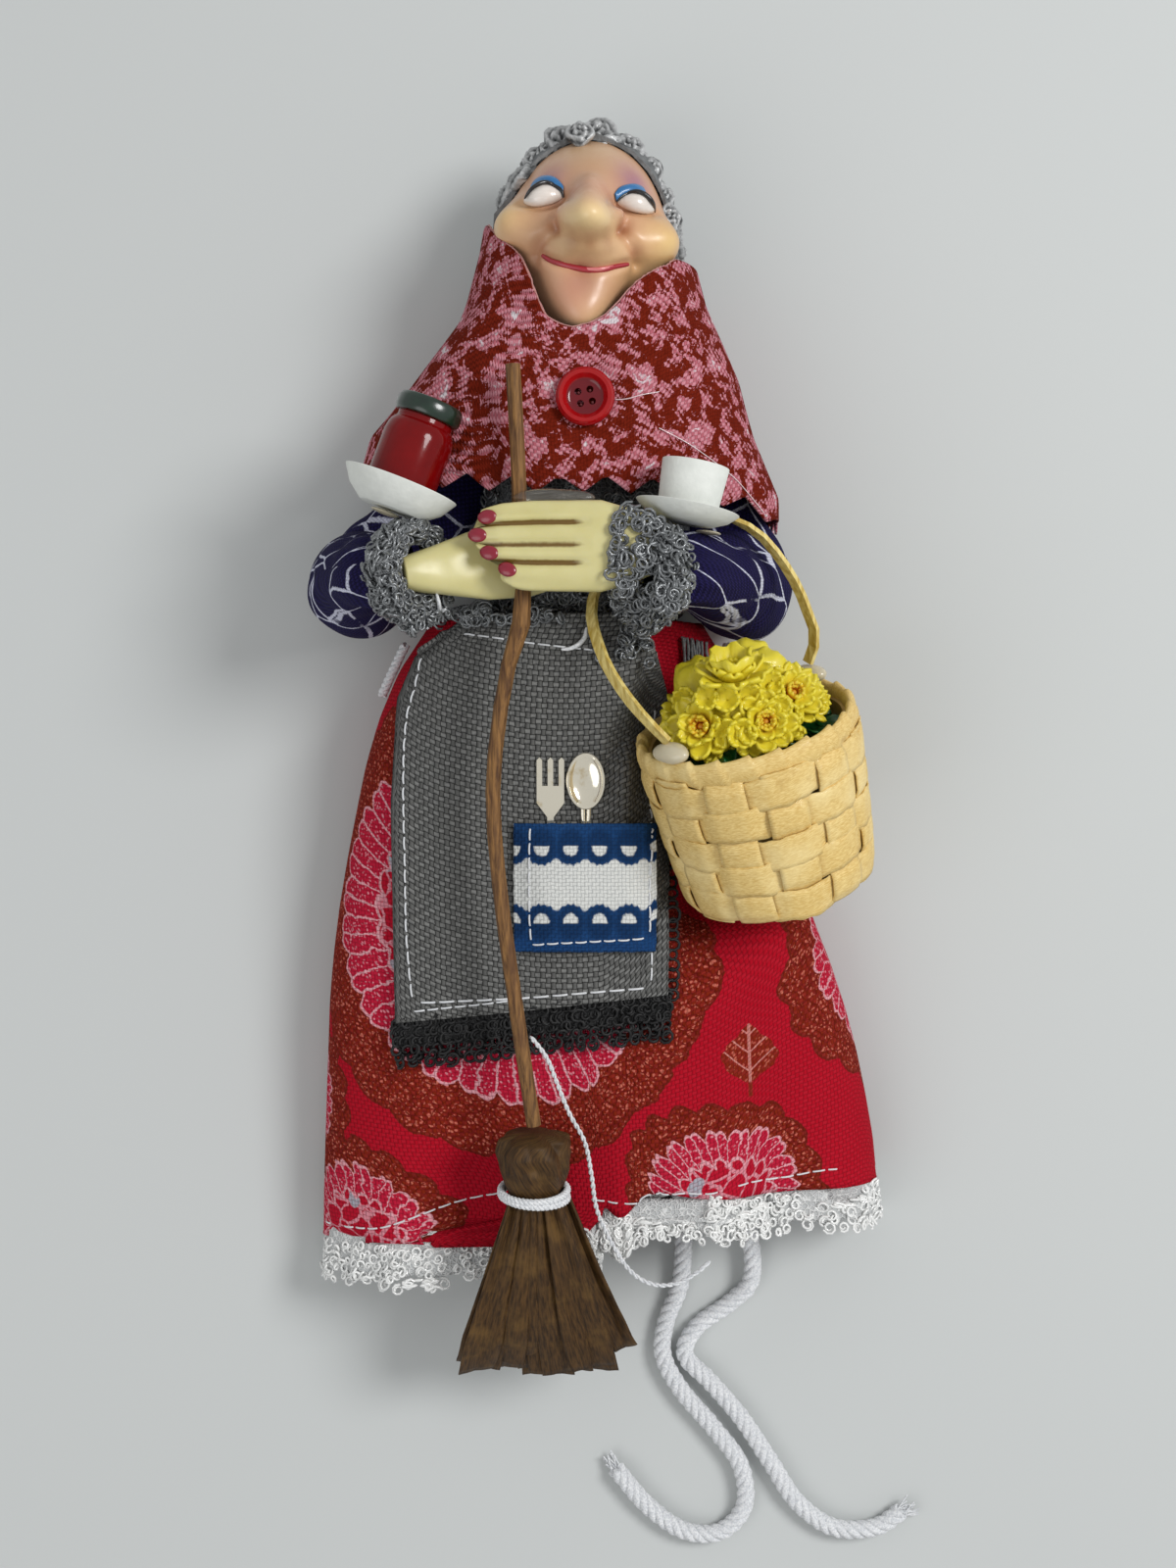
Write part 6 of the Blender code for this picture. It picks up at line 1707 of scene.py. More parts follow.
build = bmesh.new()
crest = build.verts.layers.float_color.new("crest")
front = (
    (574, 150, 3.2), (609, 145, 3.5), (639, 156, 2.7), (549, 170, 2.7), (531, 195, 2.7), (522, 215, 2.3),
    (661, 179, 2.7), (672, 205, 2.5), (681, 226, 2.3), (592, 141, 2.2), (560, 159, 2.0), (650, 168, 2.0),
)
taken = []
for number, (u, v, radius) in enumerate(front):
    spot = seen(hair_form, u, v, 0.0, 20.0) + Vector((0.0, 0.0, 1.8 * MM))
    out = ((spot - HEAD_FRAME.translation).normalized() * 0.7 + Vector((0.0, 0.0, 1.2))).normalized()
    taken.append(spot)
    add_rosette(build, crest, spot, out, radius * 1.15 * MM, number)
turn_matrix = HEAD_FRAME.to_quaternion()
CANDIDATES = 190
for k in range(CANDIDATES):
    height = 1 - 2 * (k + 0.5) / CANDIDATES
    turn = k * pi * (3 - sqrt(5))
    flat = sqrt(1 - height * height)
    way = (turn_matrix @ Vector((flat * cos(turn), height, flat * sin(turn)))).normalized()
    spot = outer_at(hair_form, HEAD_FRAME.translation, way, 0.05)
    if spot is None or min((spot - other).length for other in taken) < 2.5 * MM:
        continue
    taken.append(spot)
    add_rosette(build, crest, spot - way * 0.9 * MM, way, 2.9 * MM, 50 + k)
curls = piece_from("hair_curls", build)
hair_look, tree, shader = new_look("silver brushed curls", 0.42, Metallic=0.3, Coat_Weight=0.2)
vector = place(tree)
brush = plus(tree, painted(tree, "crest")["Fac"], times(tree, cloud(tree, vector, 1300.0), 0.7))
colour(tree, shader, blend(tree, span(tree, brush, 0.45, 1.25), paint("38393a"), paint("c2c3c3")))
raise_surface(tree, shader, cloud(tree, vector, 1500.0, 4.0), 0.25 * MM, 0.8)
dress(curls, hair_look)
finish_node("hair", mottled(
    "moulded scalp", 0.5, ("3c3d3e", "8f9192"), (700.0, 4.0), (1100.0, 4.0), 0.3, 0.9, Metallic=0.2
)[0])
print("hair has", len(taken), "curls,", len(curls.data.polygons), "faces")

# %% [markdown]
# ## Hands
# The hands are cast in cream resin: mitten shapes whose fingers are parted by long grooves, with painted shade
# in the grooves, and red nails. Rings along each hand are the rows of a grid, and the grooves are cut by a
# wave.

# %% The two hands
WIDE_SHARES = {
    1: ((0.0, 0.52), (0.15, 0.78), (0.35, 1.0), (0.75, 0.98), (0.92, 0.92), (1.0, 0.84)),
    -1: ((0.0, 0.44), (0.2, 0.62), (0.5, 0.94), (0.75, 1.0), (0.92, 0.88), (1.0, 0.66)),
}
GROOVES = (-0.39, 0.03, 0.50)
FINGERS = (
    # from and to across the hand, and how far the tip stands out in millimetres
    (-1.0, -0.39, -2.2), (-0.39, 0.03, 0.9), (0.03, 0.50, 2.7), (0.50, 1.0, 1.3),
)
HIGH_SHARES = ((0.0, 0.95), (0.9, 1.0), (1.0, 0.6))
hand_look, tree, shader = new_look(
    "cream resin", 0.38, Coat_Weight=0.2, Coat_Roughness=0.25, Subsurface_Weight=0.15,
)
shader.inputs["Subsurface Radius"].default_value = (0.004, 0.003, 0.0012)
vector = place(tree)
cream = blend(tree, cloud(tree, vector, 160.0, 4.0), paint("c4ba7a"), paint("d6ce98"))
groove_shade = plus(tree, painted(tree, "groove_shade")["Fac"], times(tree, cloud(tree, vector, 1200.0), 0.25))
# Painted shade: the grooves between the fingers are darkened towards 6b4f16.
colour(tree, shader, blend(tree, span(tree, groove_shade, 0.42, 0.9), cream, paint("6b4f16")))
raise_surface(tree, shader, cloud(tree, vector, 700.0, 3.0), 0.06 * MM, 0.4)


def fingertip(across):
    """How far a finger reaches: each tip is rounded between its two grooves."""
    for low, high, reach in FINGERS:
        if across <= high + 1e-6:
            off = (across - (low + high) / 2) / ((high - low) / 2)
            return reach - 1.5 * off ** 4
    return 0.0


def hand(name, side, along, up, tip, yaw, length, width, grooves):
    where = wrist_at(side) + wrist_way(side) * CUFF_LENGTH * along
    where.y += HAND_WIDTH * up
    where.z += 6.6 * (0.62 if side > 0 else 0.30)
    turn = Euler((0.0, tip, yaw)).to_matrix().to_4x4()
    spot_frame = Matrix.Translation(at(*where)) @ turn @ Matrix.Scale(MM, 4)
    rows, around = 92, 96
    build = bmesh.new()
    bmesh.ops.create_grid(build, x_segments=around, y_segments=rows, size=0.5)
    groove_shade = build.verts.layers.float_color.new("groove_shade")
    for vert in build.verts:
        share, turn = vert.co.y + 0.5, 2 * pi * (vert.co.x + 0.5)
        wide = width * between(WIDE_SHARES[side], share)
        end = max(0.0, (share - 0.955) / 0.045)
        high = (6.6 - 2.6 * share) * between(HIGH_SHARES, share) * sqrt(max(0.0, 1 - end * end))
        y, z = rounded(turn, 2.6)
        depth = painted_shade = 0.0
        # The painted shade in the grooves follows how near a point lies to one.
        if grooves and z > 0:
            for line in GROOVES:
                near = bell(((y - line) / 0.072) ** 2)
                run = min(1.0, max(0.0, share - 0.40) * 9)
                depth += 1.15 * near * run
                painted_shade = max(painted_shade, near * run)
            knuckle = cos(2 * pi * (y - 0.19) / 0.42)
            depth -= 0.28 * knuckle * max(0.0, share - 0.35) * min(1.0, (1 - share) * 12)
        fingers = fingertip(y) if grooves else 0.25 * cos(3 * pi * y)
        x = length * share + fingers * max(0.0, (share - 0.8) / 0.2)
        soft = 0.16 * noise.noise(Vector((x * 0.25, y * 1.6, z + side)))
        spot = Vector((x, wide / 2 * y, high / 2 * z - depth + soft))
        if side > 0:
            spot.z = -spot.z
        vert.co = spot_frame @ spot
        vert[groove_shade] = (painted_shade, painted_shade, painted_shade, 1.0)
    weld(build, 0.02 * MM)
    close_holes(build)
    bmesh.ops.recalc_face_normals(build, faces=build.faces)
    return piece_from(name, build)


left_hand = hand("cast_hand_left", 1, 0.10, 0.25, radians(181.5), 0.0, 30.0, HAND_WIDTH * 1.05, True)
dress(left_hand, hand_look, ("hand_left",))
right_hand = hand("cast_hand_right", -1, 0.22, -0.06, radians(15), radians(9), 29.0, HAND_WIDTH * 0.90, False)
dress(right_hand, hand_look, ("hand_right",))
hands_top = surface(left_hand, right_hand)
nail_look = enamel("nail enamel", "7a0c20", "8f1430", 0.25, 0.5)
for number, (u, v, slant) in enumerate(((497, 527.5, -8), (487, 546, 4), (499, 564, 12), (517.5, 581, 20))):
    build = bmesh.new()
    bmesh.ops.create_uvsphere(build, u_segments=24, v_segments=12, radius=1.0)
    spot = seen(hands_top, u, v, 0.0, 45.0)
    size = Matrix.Diagonal((1.7, 1.25, 0.55, 1.0))
    lean = Matrix.Rotation(radians(-slant), 4, "Z") @ Matrix.Rotation(radians(-14), 4, "Y")
    bmesh.ops.transform(
        build, matrix=Matrix.Translation(spot) @ lean @ size @ Matrix.Scale(MM, 4), verts=build.verts,
    )
    dress(piece_from(f"nail_{number + 1}", build), nail_look)

# %% Lace that falls over the left hand
wrap_top = surface(left_hand, cuffs[0][0], arms[1])
dice = Random(77)
places = []
for k in range(120):
    down = dice.uniform(0.0, 1.0)
    v = 524 + 96 * down
    u = dice.uniform(634 - 14 * sin(pi * down), 692)
    spot = seen(wrap_top, u, v, dice.uniform(0.5, 1.5) * MM, 40.0)
    places.append(tossed(spot, dice.uniform(0, 2 * pi), 0.5))
frill = loops("cuff_frill_left", places, 1.4 * MM, 0.28 * MM, 78, 14, 1.7)
dress(frill, grey_loop_look)
print("hands have", len(left_hand.data.polygons) + len(right_hand.data.polygons), "faces")

# %% [markdown]
# ## Small ware
# Jar, lid, dish, saucer and cup are turned shapes. Each is a profile spun round its axis in many steps, with
# small bevels where a lathe or a mould would leave a soft edge.

# %% Spun shapes


def turned(profile, steps):
    """A bmesh of a profile of (radius, height) that is spun round Z."""
    build = bmesh.new()
    verts = [build.verts.new((radius, 0.0, height)) for radius, height in profile]
    for first, second in zip(verts, verts[1:]):
        build.edges.new((first, second))
    bmesh.ops.spin(
        build, geom=build.verts[:] + build.edges[:], cent=(0, 0, 0), axis=(0, 0, 1), dvec=(0, 0, 0),
        angle=2 * pi, steps=steps, use_merge=True,
    )
    weld(build, 0.001)
    bmesh.ops.recalc_face_normals(build, faces=build.faces)
    return build


def spun(name, profile, place_frame, look, node, steps=72, bevel=0.22, body="doll"):
    """Spins a profile in millimetres, bevels its sharp edges and sets it in its frame."""
    build = turned(profile, steps)
    if bevel:
        sharp = [edge for edge in build.edges if edge.calc_face_angle(0.0) > radians(35)]
        bmesh.ops.bevel(
            build, geom=sharp, offset=bevel, offset_type="OFFSET", affect="EDGES", segments=3, profile=0.5,
            material=-1, clamp_overlap=True,
        )
    bmesh.ops.transform(build, matrix=place_frame, verts=build.verts)
    made = piece_from(name, build)
    made.data.set_sharp_from_angle(angle=radians(50))
    return dress(made, look, (node,), body)


def dish_profile(radius, depth, wall, foot_share):
    foot = radius * foot_share
    return [
        (0.0, 0.0), (foot, 0.0), (radius * 0.82, depth * 0.42), (radius, depth), (radius - wall, depth),
        (radius * 0.78 - wall * 0.3, depth * 0.42 + wall), (foot, wall), (0.0, wall),
    ]


def leaned(where, lean):
    """A frame whose Z points up the doll, leaned sideways."""
    turn = Matrix.Rotation(lean, 3, "Z") @ Matrix.Rotation(-pi / 2, 3, "X")
    return Matrix.Translation(at(*where)) @ turn.to_4x4() @ Matrix.Scale(MM, 4)


ware_look = mottled("matte white ware", 0.75, ("cdd0ca", "e6e8e2"), (450.0, 4.0), (900.0, 5.0), 0.14, 0.7)[0]
jar_look, tree, shader = mottled(
    "red lacquer", 0.18, ("5a0203", "820508"), (220.0,), (300.0,), 0.05, 0.5,
    Coat_Weight=0.3, Coat_Roughness=0.04, Specular_IOR_Level=0.15,
)
dust = span(tree, cells(tree, place(tree), 900.0), 0.10, 0.05)
feed(tree, shader.inputs["Roughness"], span(tree, dust, 0.0, 1.0, 0.16, 0.6))
lid_look = mottled(
    "green lacquer", 0.28, ("061510", "12301f"), (500.0, 4.0), (700.0,), 0.06, 0.6,
    Coat_Weight=0.6, Coat_Roughness=0.15,
)[0]
dish_at = wrist_at(-1) + Vector((-0.6, WRIST_RADIUS + 3.8, 1.0))
dish_frame = leaned(dish_at, radians(-21))
spun("turned_dish", dish_profile(10.3, 5.0, 1.0, 0.56), dish_frame, ware_look, "jar_dish")
spun("turned_jar", [
    (0.0, 1.3), (5.1, 1.3), (5.95, 2.5), (6.15, 4.2), (6.15, 13.0), (5.9, 14.5), (5.3, 15.5), (4.9, 15.9),
    (4.9, 17.0), (0.0, 17.0),
], dish_frame, jar_look, "jar", bevel=0.3)
spun("turned_lid", [
    (0.0, 16.9), (5.55, 16.9), (5.85, 17.8), (5.85, 19.3), (5.4, 20.2), (4.5, 20.05), (0.0, 19.95),
], dish_frame, lid_look, "jar_lid", bevel=0.35)
cup_at = wrist_at(1) + Vector((3.2, WRIST_RADIUS + 1.62, 2.2))
cup_frame = leaned(cup_at, radians(-11))
spun("turned_saucer", dish_profile(9.2, 2.6, 0.9, 0.55), cup_frame, ware_look, "saucer")
spun("turned_cup", [
    (0.0, 1.2), (4.6, 1.2), (5.19, 1.74), (5.9, 10.2), (5.0, 10.2), (4.29, 2.55), (4.13, 2.37), (0.0, 2.37),
], cup_frame, ware_look, "cup", bevel=0.25)
print("ware is turned")

# %% [markdown]
# ## Button
# A four-hole button has a raised rim round a recess. It is spun too, and its holes are cut with a Boolean,
# which is applied before the piece gets its finish.

# %% Button
button_look, tree, shader = new_look(
    "red pearl plastic", 0.16, Coat_Weight=0.4, Coat_Roughness=0.05, Specular_IOR_Level=0.3,
)
vector = place(tree)
swirl = cloud(tree, vector, 260.0, 3.0, 0.5, 1.2)
low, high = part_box("button")
button_middle = Vector(((low[0] + high[0]) / 2, (low[1] + high[1]) / 2, low[2]))
apart = tree.nodes.new("ShaderNodeVectorMath")
apart.operation = "DISTANCE"
tree.links.new(vector, apart.inputs[0])
apart.inputs[1].default_value = button_middle + Vector((0.0, 0.0, 1.2 * MM))
recess = span(tree, apart.outputs["Value"], 3.5 * MM, 3.0 * MM, 0.0, 0.75)
red = blend(tree, swirl, paint("8e070b"), paint("ae1014"))
colour(tree, shader, blend(tree, recess, red, paint("420816")))
raise_surface(tree, shader, cloud(tree, vector, 500.0), 0.03 * MM, 0.4)
BUTTON_RADIUS, BUTTON_THICK, HOLE_RADIUS = 5.2, 2.3, 0.62
button = piece_from("moulded_button", turned([
    (BUTTON_RADIUS * across, BUTTON_THICK * up) for across, up in (
        (0.0, 0.0), (0.80, 0.0), (0.95, 0.2), (1.0, 0.5), (0.97, 0.82), (0.88, 1.0), (0.76, 0.97),
        (0.66, 0.70), (0.60, 0.52), (0.50, 0.46), (0.0, 0.44),
    )
], 64), smooth=False)
hole_turns = [pi / 4 + k * pi / 2 + 0.2 for k in range(4)]
holes = [Vector((1.5 * cos(turn), 1.5 * sin(turn), 0.0)) for turn in hole_turns]
build = bmesh.new()
for hole in holes:
    bmesh.ops.create_cone(
        build, cap_ends=True, segments=20, radius1=HOLE_RADIUS, radius2=HOLE_RADIUS, depth=8.0,
        matrix=Matrix.Translation(hole),
    )
drill = piece_from("button_drill", build, smooth=False)
cut = button.modifiers.new("holes", "BOOLEAN")
cut.solver = "EXACT"
cut.object = drill
graph = bpy.context.evaluated_depsgraph_get()
button.data = bpy.data.meshes.new_from_object(button.evaluated_get(graph))
button.modifiers.remove(cut)
bpy.data.objects.remove(drill, do_unlink=True)
button.data.transform(Matrix.Translation(button_middle) @ Matrix.Scale(MM, 4))
button.data.shade_smooth()
button.data.set_sharp_from_angle(angle=radians(40))
dress(button, button_look, ("button",))
dark_thread = thread_look("dark sewing thread", ("3a0508", "6b0d12"), 0.6)
crossings = []
for k, hole in enumerate(holes):
    spot = button_middle + (hole + Vector((0.0, 0.0, 0.35))) * MM
    crossings.append([spot + Vector((0.3 * sin(k), -0.3, 0.25 * j)) * MM * (1 - j * 0.4) for j in range(3)])
dress(threads("button_thread", crossings, 0.3 * MM), dark_thread)
print("button has", len(button.data.polygons), "faces")

# %% [markdown]
# ## Plated cutlery, cane, twig and glue
# The fork, stick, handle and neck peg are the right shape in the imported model, so they keep it and only get
# a finish. The spoon gets a rounder bowl and a stem of two wires, and each drop of glue is made anew over
# its blob.

# %% Finishes for carried-over nodes
metal_look, tree, shader = new_look("plated metal", 0.2, Metallic=0.8)
vector = place(tree)
tarnish = span(tree, cloud(tree, vector, 420.0, 4.0), 0.55, 0.85)
colour(tree, shader, blend(tree, tarnish, paint("f6efdc"), paint("c9b27e")))
feed(tree, shader.inputs["Roughness"], span(tree, tarnish, 0.0, 1.0, 0.12, 0.28))
raise_surface(tree, shader, cloud(tree, vector, 500.0), 0.06 * MM, 0.4)
finish_node("fork", metal_look)
finish_node("neck_post", inner_look)

# %% The spoon: a raised rim round its bowl, and a stem of two wires
slide = Vector((0.0, 0.99587, 0.09083))
SPOON_X, BOWL_Y = -2.1, -5.0
east = Vector((1, 0, 0))
spoon_turn = Matrix((east, slide, east.cross(slide))).transposed().to_4x4()
bowl_frame = (
    Matrix.Translation(Vector((SPOON_X, BOWL_Y, 32.3)) * MM) @ spoon_turn
    @ Matrix.Diagonal((3.45, 5.1, 1.0, 1.0)) @ Matrix.Scale(MM, 4)
)
spun("spoon_bowl", [
    (0.0, -0.75), (0.45, -0.62), (0.80, -0.25), (0.95, 0.15), (1.0, 0.42), (0.97, 0.72), (0.88, 0.74),
    (0.82, 0.45), (0.62, 0.05), (0.30, -0.18), (0.0, -0.25),
], bowl_frame, metal_look, "spoon", 64, 0.0, "spoon")
stems = []
for offset in (-0.42, 0.42):
    stems.append([
        Vector((SPOON_X + offset * (1.0 if y < -11 else 1.25), y, 31.9 + (y - BOWL_Y) * 0.0912)) * MM
        for y in (-9.4, -11.0, -13.0, -16.0, -20.0, -25.2)
    ])
dress(threads("spoon_stem", stems, 0.42 * MM, 3), metal_look, (), "spoon")
print("spoon has a bowl and a stem")

# %% Bark, cane and glue
bark_look, tree, shader = new_look("bark", 0.75)
vector = place(tree, "Object", (1.0, 0.09, 1.0))
streak = cloud(tree, vector, 1500.0, 4.0, 0.6, 0.3)
patch_mask = cloud(tree, place(tree, "Object", (1.0, 0.3, 1.0)), 330.0, 3.0)
bark = blend(tree, span(tree, streak, 0.3, 0.7), paint("4a2c12"), paint("8c6434"))
colour(tree, shader, blend(tree, span(tree, patch_mask, 0.5, 0.75), bark, paint("5b3a1c")))
raise_surface(tree, shader, streak, 0.35 * MM, 0.8)
finish_node("broom_stick", bark_look)

cane_look, tree, shader = new_look("cane strip", 0.4, Coat_Weight=0.25)
vector = place(tree, "Object", (1.0, 0.25, 1.0))
fibre = cloud(tree, vector, 1300.0, 4.0)
colour(tree, shader, blend(tree, span(tree, fibre, 0.3, 0.7), paint("bb9c42"), paint("e6d284")))
raise_surface(tree, shader, fibre, 0.15 * MM, 0.7)
finish_node("basket_handle", cane_look)

glue_look = mottled(
    "set hot glue", 0.2, ("e2d6b6", "f3ead0"), (260.0,), (300.0, 2.0), 0.12, 0.4,
    Transmission_Weight=0.35, IOR=1.42, Coat_Weight=0.3,
)[0]
film_look = mottled(
    "clear glue film", 0.12, ("efe6d8", "fbf7ee"), (260.0,), (300.0, 2.0), 0.12, 0.4,
    Transmission_Weight=0.95, IOR=1.4,
)[0]


def finer_copy(name, node, cuts, count):
    """A copy of a CAD node, cut into small faces and evened out."""
    made = linked(name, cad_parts[node].data.copy())
    with reshaping(made.data) as build:
        weld(build, 0.01 * MM)
        bmesh.ops.subdivide_edges(build, edges=build.edges, cuts=cuts, use_grid_fill=True)
        relax(build, build.verts, count)
    made.data.shade_smooth()
    return made


def glue(name, node, seed, body="doll", stretch=(1, 1, 1), look=glue_look):
    """A finer blob in place of a plain one: pushed about by noise, over the same middle."""
    low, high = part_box(node)
    middle = (Vector(low) + Vector(high)) / 2
    blob = finer_copy(name, node, 3, 5)
    with reshaping(blob.data) as build:
        for vert in build.verts:
            off = vert.co - middle
            grow = 1.04 + 0.10 * noise.noise(off * 350 + Vector((seed, 0, 0)))
            vert.co = middle + Vector((off.x * stretch[0], off.y * stretch[1], off.z * stretch[2])) * grow
        bmesh.ops.triangulate(build, faces=[face for face in build.faces if len(face.verts) > 4])
    return dress(blob, look, (node,), body)


glue("glue_hand", "hand_glue", 1, "doll", (1.7, 1.7, 0.9), film_look)
glue("glue_dish", "dish_glue", 2)
glue("glue_saucer", "saucer_glue", 3, "doll", (1.4, 1.0, 1.0))
glue("glue_handle_front", "handle_glue_front", 4, "basket", (1.1, 1.1, 1.1))
glue("glue_handle_back", "handle_glue_back", 5, "basket", (1.2, 1.2, 1.1))

# %% [markdown]
# ## Basket
# The basket is the most skilful piece: thin splint, plain-woven. Five flat weavers pass before and behind
# twelve upright stakes, each weaver stepped against the one below. Stakes and weavers are separate strips
# here, bent by the same wave with opposite signs, so they truly pass over and under one another.

# %% The basket's frame and its wave
basket_up = Vector((-0.232, 0.904, 0.358)).normalized()
basket_side = Vector((0.717, 0.408, -0.565))
basket_side = (basket_side - basket_up * basket_side.dot(basket_up)).normalized()
nest = turned_frame((27.6, 11.0, 36.0), basket_side, basket_up.cross(basket_side), basket_up)
RIM, FOOT, DEPTH, ROWS, STAKES, RELIEF, SPLINT = 19.6, 16.4, 32.0, 5, 12, 0.55, 0.38 * MM
LOW, TOP = -DEPTH * 0.96, -DEPTH * 0.13


def in_nest(turn, radius, height):
    """A place on the basket: an angle round it, a radius and a height, in millimetres."""
    return nest @ Vector((cos(turn) * radius, sin(turn) * radius, height))


def wall_at(height):
    share = min(1.0, max(0.0, (height - LOW) / (TOP - LOW)))
    return FOOT + (RIM - FOOT) * share**0.7 * 0.9


def over_at(turn, height):
    """+1 where the weaver is outside, -1 where the stake is."""
    row = (height - LOW) / (TOP - LOW) * ROWS - 0.5
    wave = cos(STAKES / 2 * turn) * cos(pi * row)
    return max(-1.0, min(1.0, wave * 1.5))


splint_look, tree, shader = new_look("wood splint", 0.6, Coat_Weight=0.08)
vector = place(tree, "UV", (1.0, 5.5, 1.0))
grain = cloud(tree, vector, 950.0, 4.0, 0.6, 0.4)
tone = cloud(tree, place(tree), 120.0, 3.0)
splint = blend(tree, span(tree, grain, 0.3, 0.72), paint("cda85a"), paint("ebd08a"))
splint = blend(tree, span(tree, tone, 0.45, 0.75, 0.0, 0.55), splint, paint("f4e0a4"))
dirt = span(tree, cloud(tree, place(tree), 330.0, 5.0), 0.60, 0.78, 0.0, 0.45)
colour(tree, shader, blend(tree, dirt, splint, paint("b58f48")))
raise_surface(tree, shader, grain, 0.10 * MM, 0.6)

strips = []
for row in range(ROWS):
    middle = LOW + (TOP - LOW) * (row + 0.5) / ROWS
    half = (TOP - LOW) / ROWS * 0.56
    dice = Random(row)
    tilt, phase = dice.uniform(-0.7, 0.7), dice.uniform(0, 6.28)

    def weaver_spot(u, v, middle=middle, half=half, tilt=tilt, phase=phase, row=row):
        turn = 2 * pi * u
        sway = 0.45 * sin(3 * turn + phase) + 0.45 * noise.noise(Vector((cos(turn) * 3, sin(turn) * 3, row)))
        edge = 1 + 0.16 * noise.noise(Vector((cos(turn) * 9, sin(turn) * 9, v * 3 + row)))
        height = middle + half * (1 - 2 * v) * edge + sway + tilt * sin(turn)
        crown = 0.10 * (1 - (2 * v - 1) ** 2)
        lift = RELIEF * over_at(turn, middle) + crown + 0.12 * noise.noise(
            Vector((turn * 4, height, row * 3))
        )
        return in_nest(turn, wall_at(height) + lift - 0.1, height)

    strips.append(cloth(f"weaver_{row + 1}", 192, 6, weaver_spot, SPLINT, wrap=True))
for k in range(STAKES):
    centre = 2 * pi * k / STAKES
    dice = Random(100 + k)
    wide = dice.uniform(3.4, 3.9)
    lean = dice.uniform(-0.02, 0.02)

    def stake_spot(u, v, centre=centre, wide=wide, lean=lean, k=k):
        height = LOW - 0.6 + (TOP + 2.0 - LOW) * (1 - v)
        turn = centre + (u - 0.5) * 2 * wide / wall_at(height) + lean * (v - 0.5)
        crown = 0.18 * (1 - (2 * u - 1) ** 2)
        radius = wall_at(height) - RELIEF * over_at(centre, height) + crown - 0.1
        radius += 0.10 * noise.noise(Vector((u * 3, height * 0.4, k)))
        return in_nest(turn, radius, height)

    strips.append(cloth(f"stake_{k + 1}", 8, 64, stake_spot, SPLINT))
for strip in strips:
    dress(strip, splint_look, (), "basket")
print("basket is woven of", len(strips), "strips")

# %% Rim, lining and base
RIM_TURNS = 22


def rim_spot(u, v):
    """A folded strip wound round the rim: a flat ring whose surface steps at every turn of the strip."""
    turn = 2 * pi * u
    bend = 2 * pi * v
    wound = (turn / (2 * pi) * RIM_TURNS + 0.16 * sin(bend)) % 1.0
    step = 0.75 * wound ** 2 - 0.15
    sway = 0.35 * noise.noise(Vector((cos(turn) * 2.4, sin(turn) * 2.4, 8.0)))
    thick, tall = 0.95 + 0.5 * step, 2.15 + step
    radius = RIM - 0.75 + thick * cos(bend)
    return in_nest(turn, radius, -1.75 + tall * sin(bend) + sway)


rim = cloth("basket_rim", 264, 14, rim_spot, 0.0, wrap=True)
dress(rim, splint_look, ("basket",), "basket")
inner = RIM - 1.5 * 1.6
build = turned([
    (0.0, -DEPTH), (FOOT * 0.88, -DEPTH), (FOOT * 0.955, -DEPTH * 0.95), (RIM - 2.3, TOP), (RIM - 1.7, -1.8),
    (inner, -1.8), (inner, TOP), (inner * 0.86, -DEPTH * 0.6), (inner * 0.83, -DEPTH * 0.94),
    (0.0, -DEPTH * 0.94),
], 72)
bmesh.ops.transform(build, matrix=nest, verts=build.verts)
liner_look = mottled("splint in shade", 0.8, ("9b7c42", "c7a86a"), (400.0, 4.0), (900.0,), 0.15, 0.6)[0]
dress(piece_from("basket_lining", build, smooth=False), liner_look, (), "basket")

# %% [markdown]
# ## Flowers and leaves
# A moulded bunch fills the basket. A petal is a small grid, cupped and rounded off. Petals stand in rings
# round a heart to make a bloom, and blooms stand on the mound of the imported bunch.

# %% One petal, and a bloom of petals
petal_look, tree, shader = new_look("moulded petals", 0.45, Coat_Weight=0.15, Subsurface_Weight=0.15)
shader.inputs["Subsurface Radius"].default_value = (0.003, 0.003, 0.0008)
vector = place(tree)
yellow = blend(tree, cloud(tree, vector, 360.0), paint("cdbb14"), paint("ecdc40"))
warm = span(tree, painted(tree, "heart")["Fac"], 0.15, 0.85)
colour(tree, shader, blend(tree, warm, yellow, paint("d27714")))
raise_surface(tree, shader, cloud(tree, vector, 900.0, 3.0), 0.10 * MM, 0.6)


def add_petal(build, tint, matrix, length, width, cup, warm, curl=0.0):
    made = bmesh.ops.create_grid(build, x_segments=6, y_segments=8, size=0.5)
    for vert in made["verts"]:
        u, v = vert.co.x * 2, vert.co.y + 0.5
        wide = width * sqrt(max(0.0, 1 - abs(2 * (0.15 + 0.84 * v) - 1) ** 3))
        x, y = u * wide / 2, v * length
        z = cup * (u * u) * width * 0.35 + cup * length * 0.45 * v * v - curl * length * max(0.0, v - 0.7)
        vert[tint] = (warm * (1 - 0.75 * v),) * 3 + (1.0,)
        vert.co = matrix @ Vector((x, y, z))


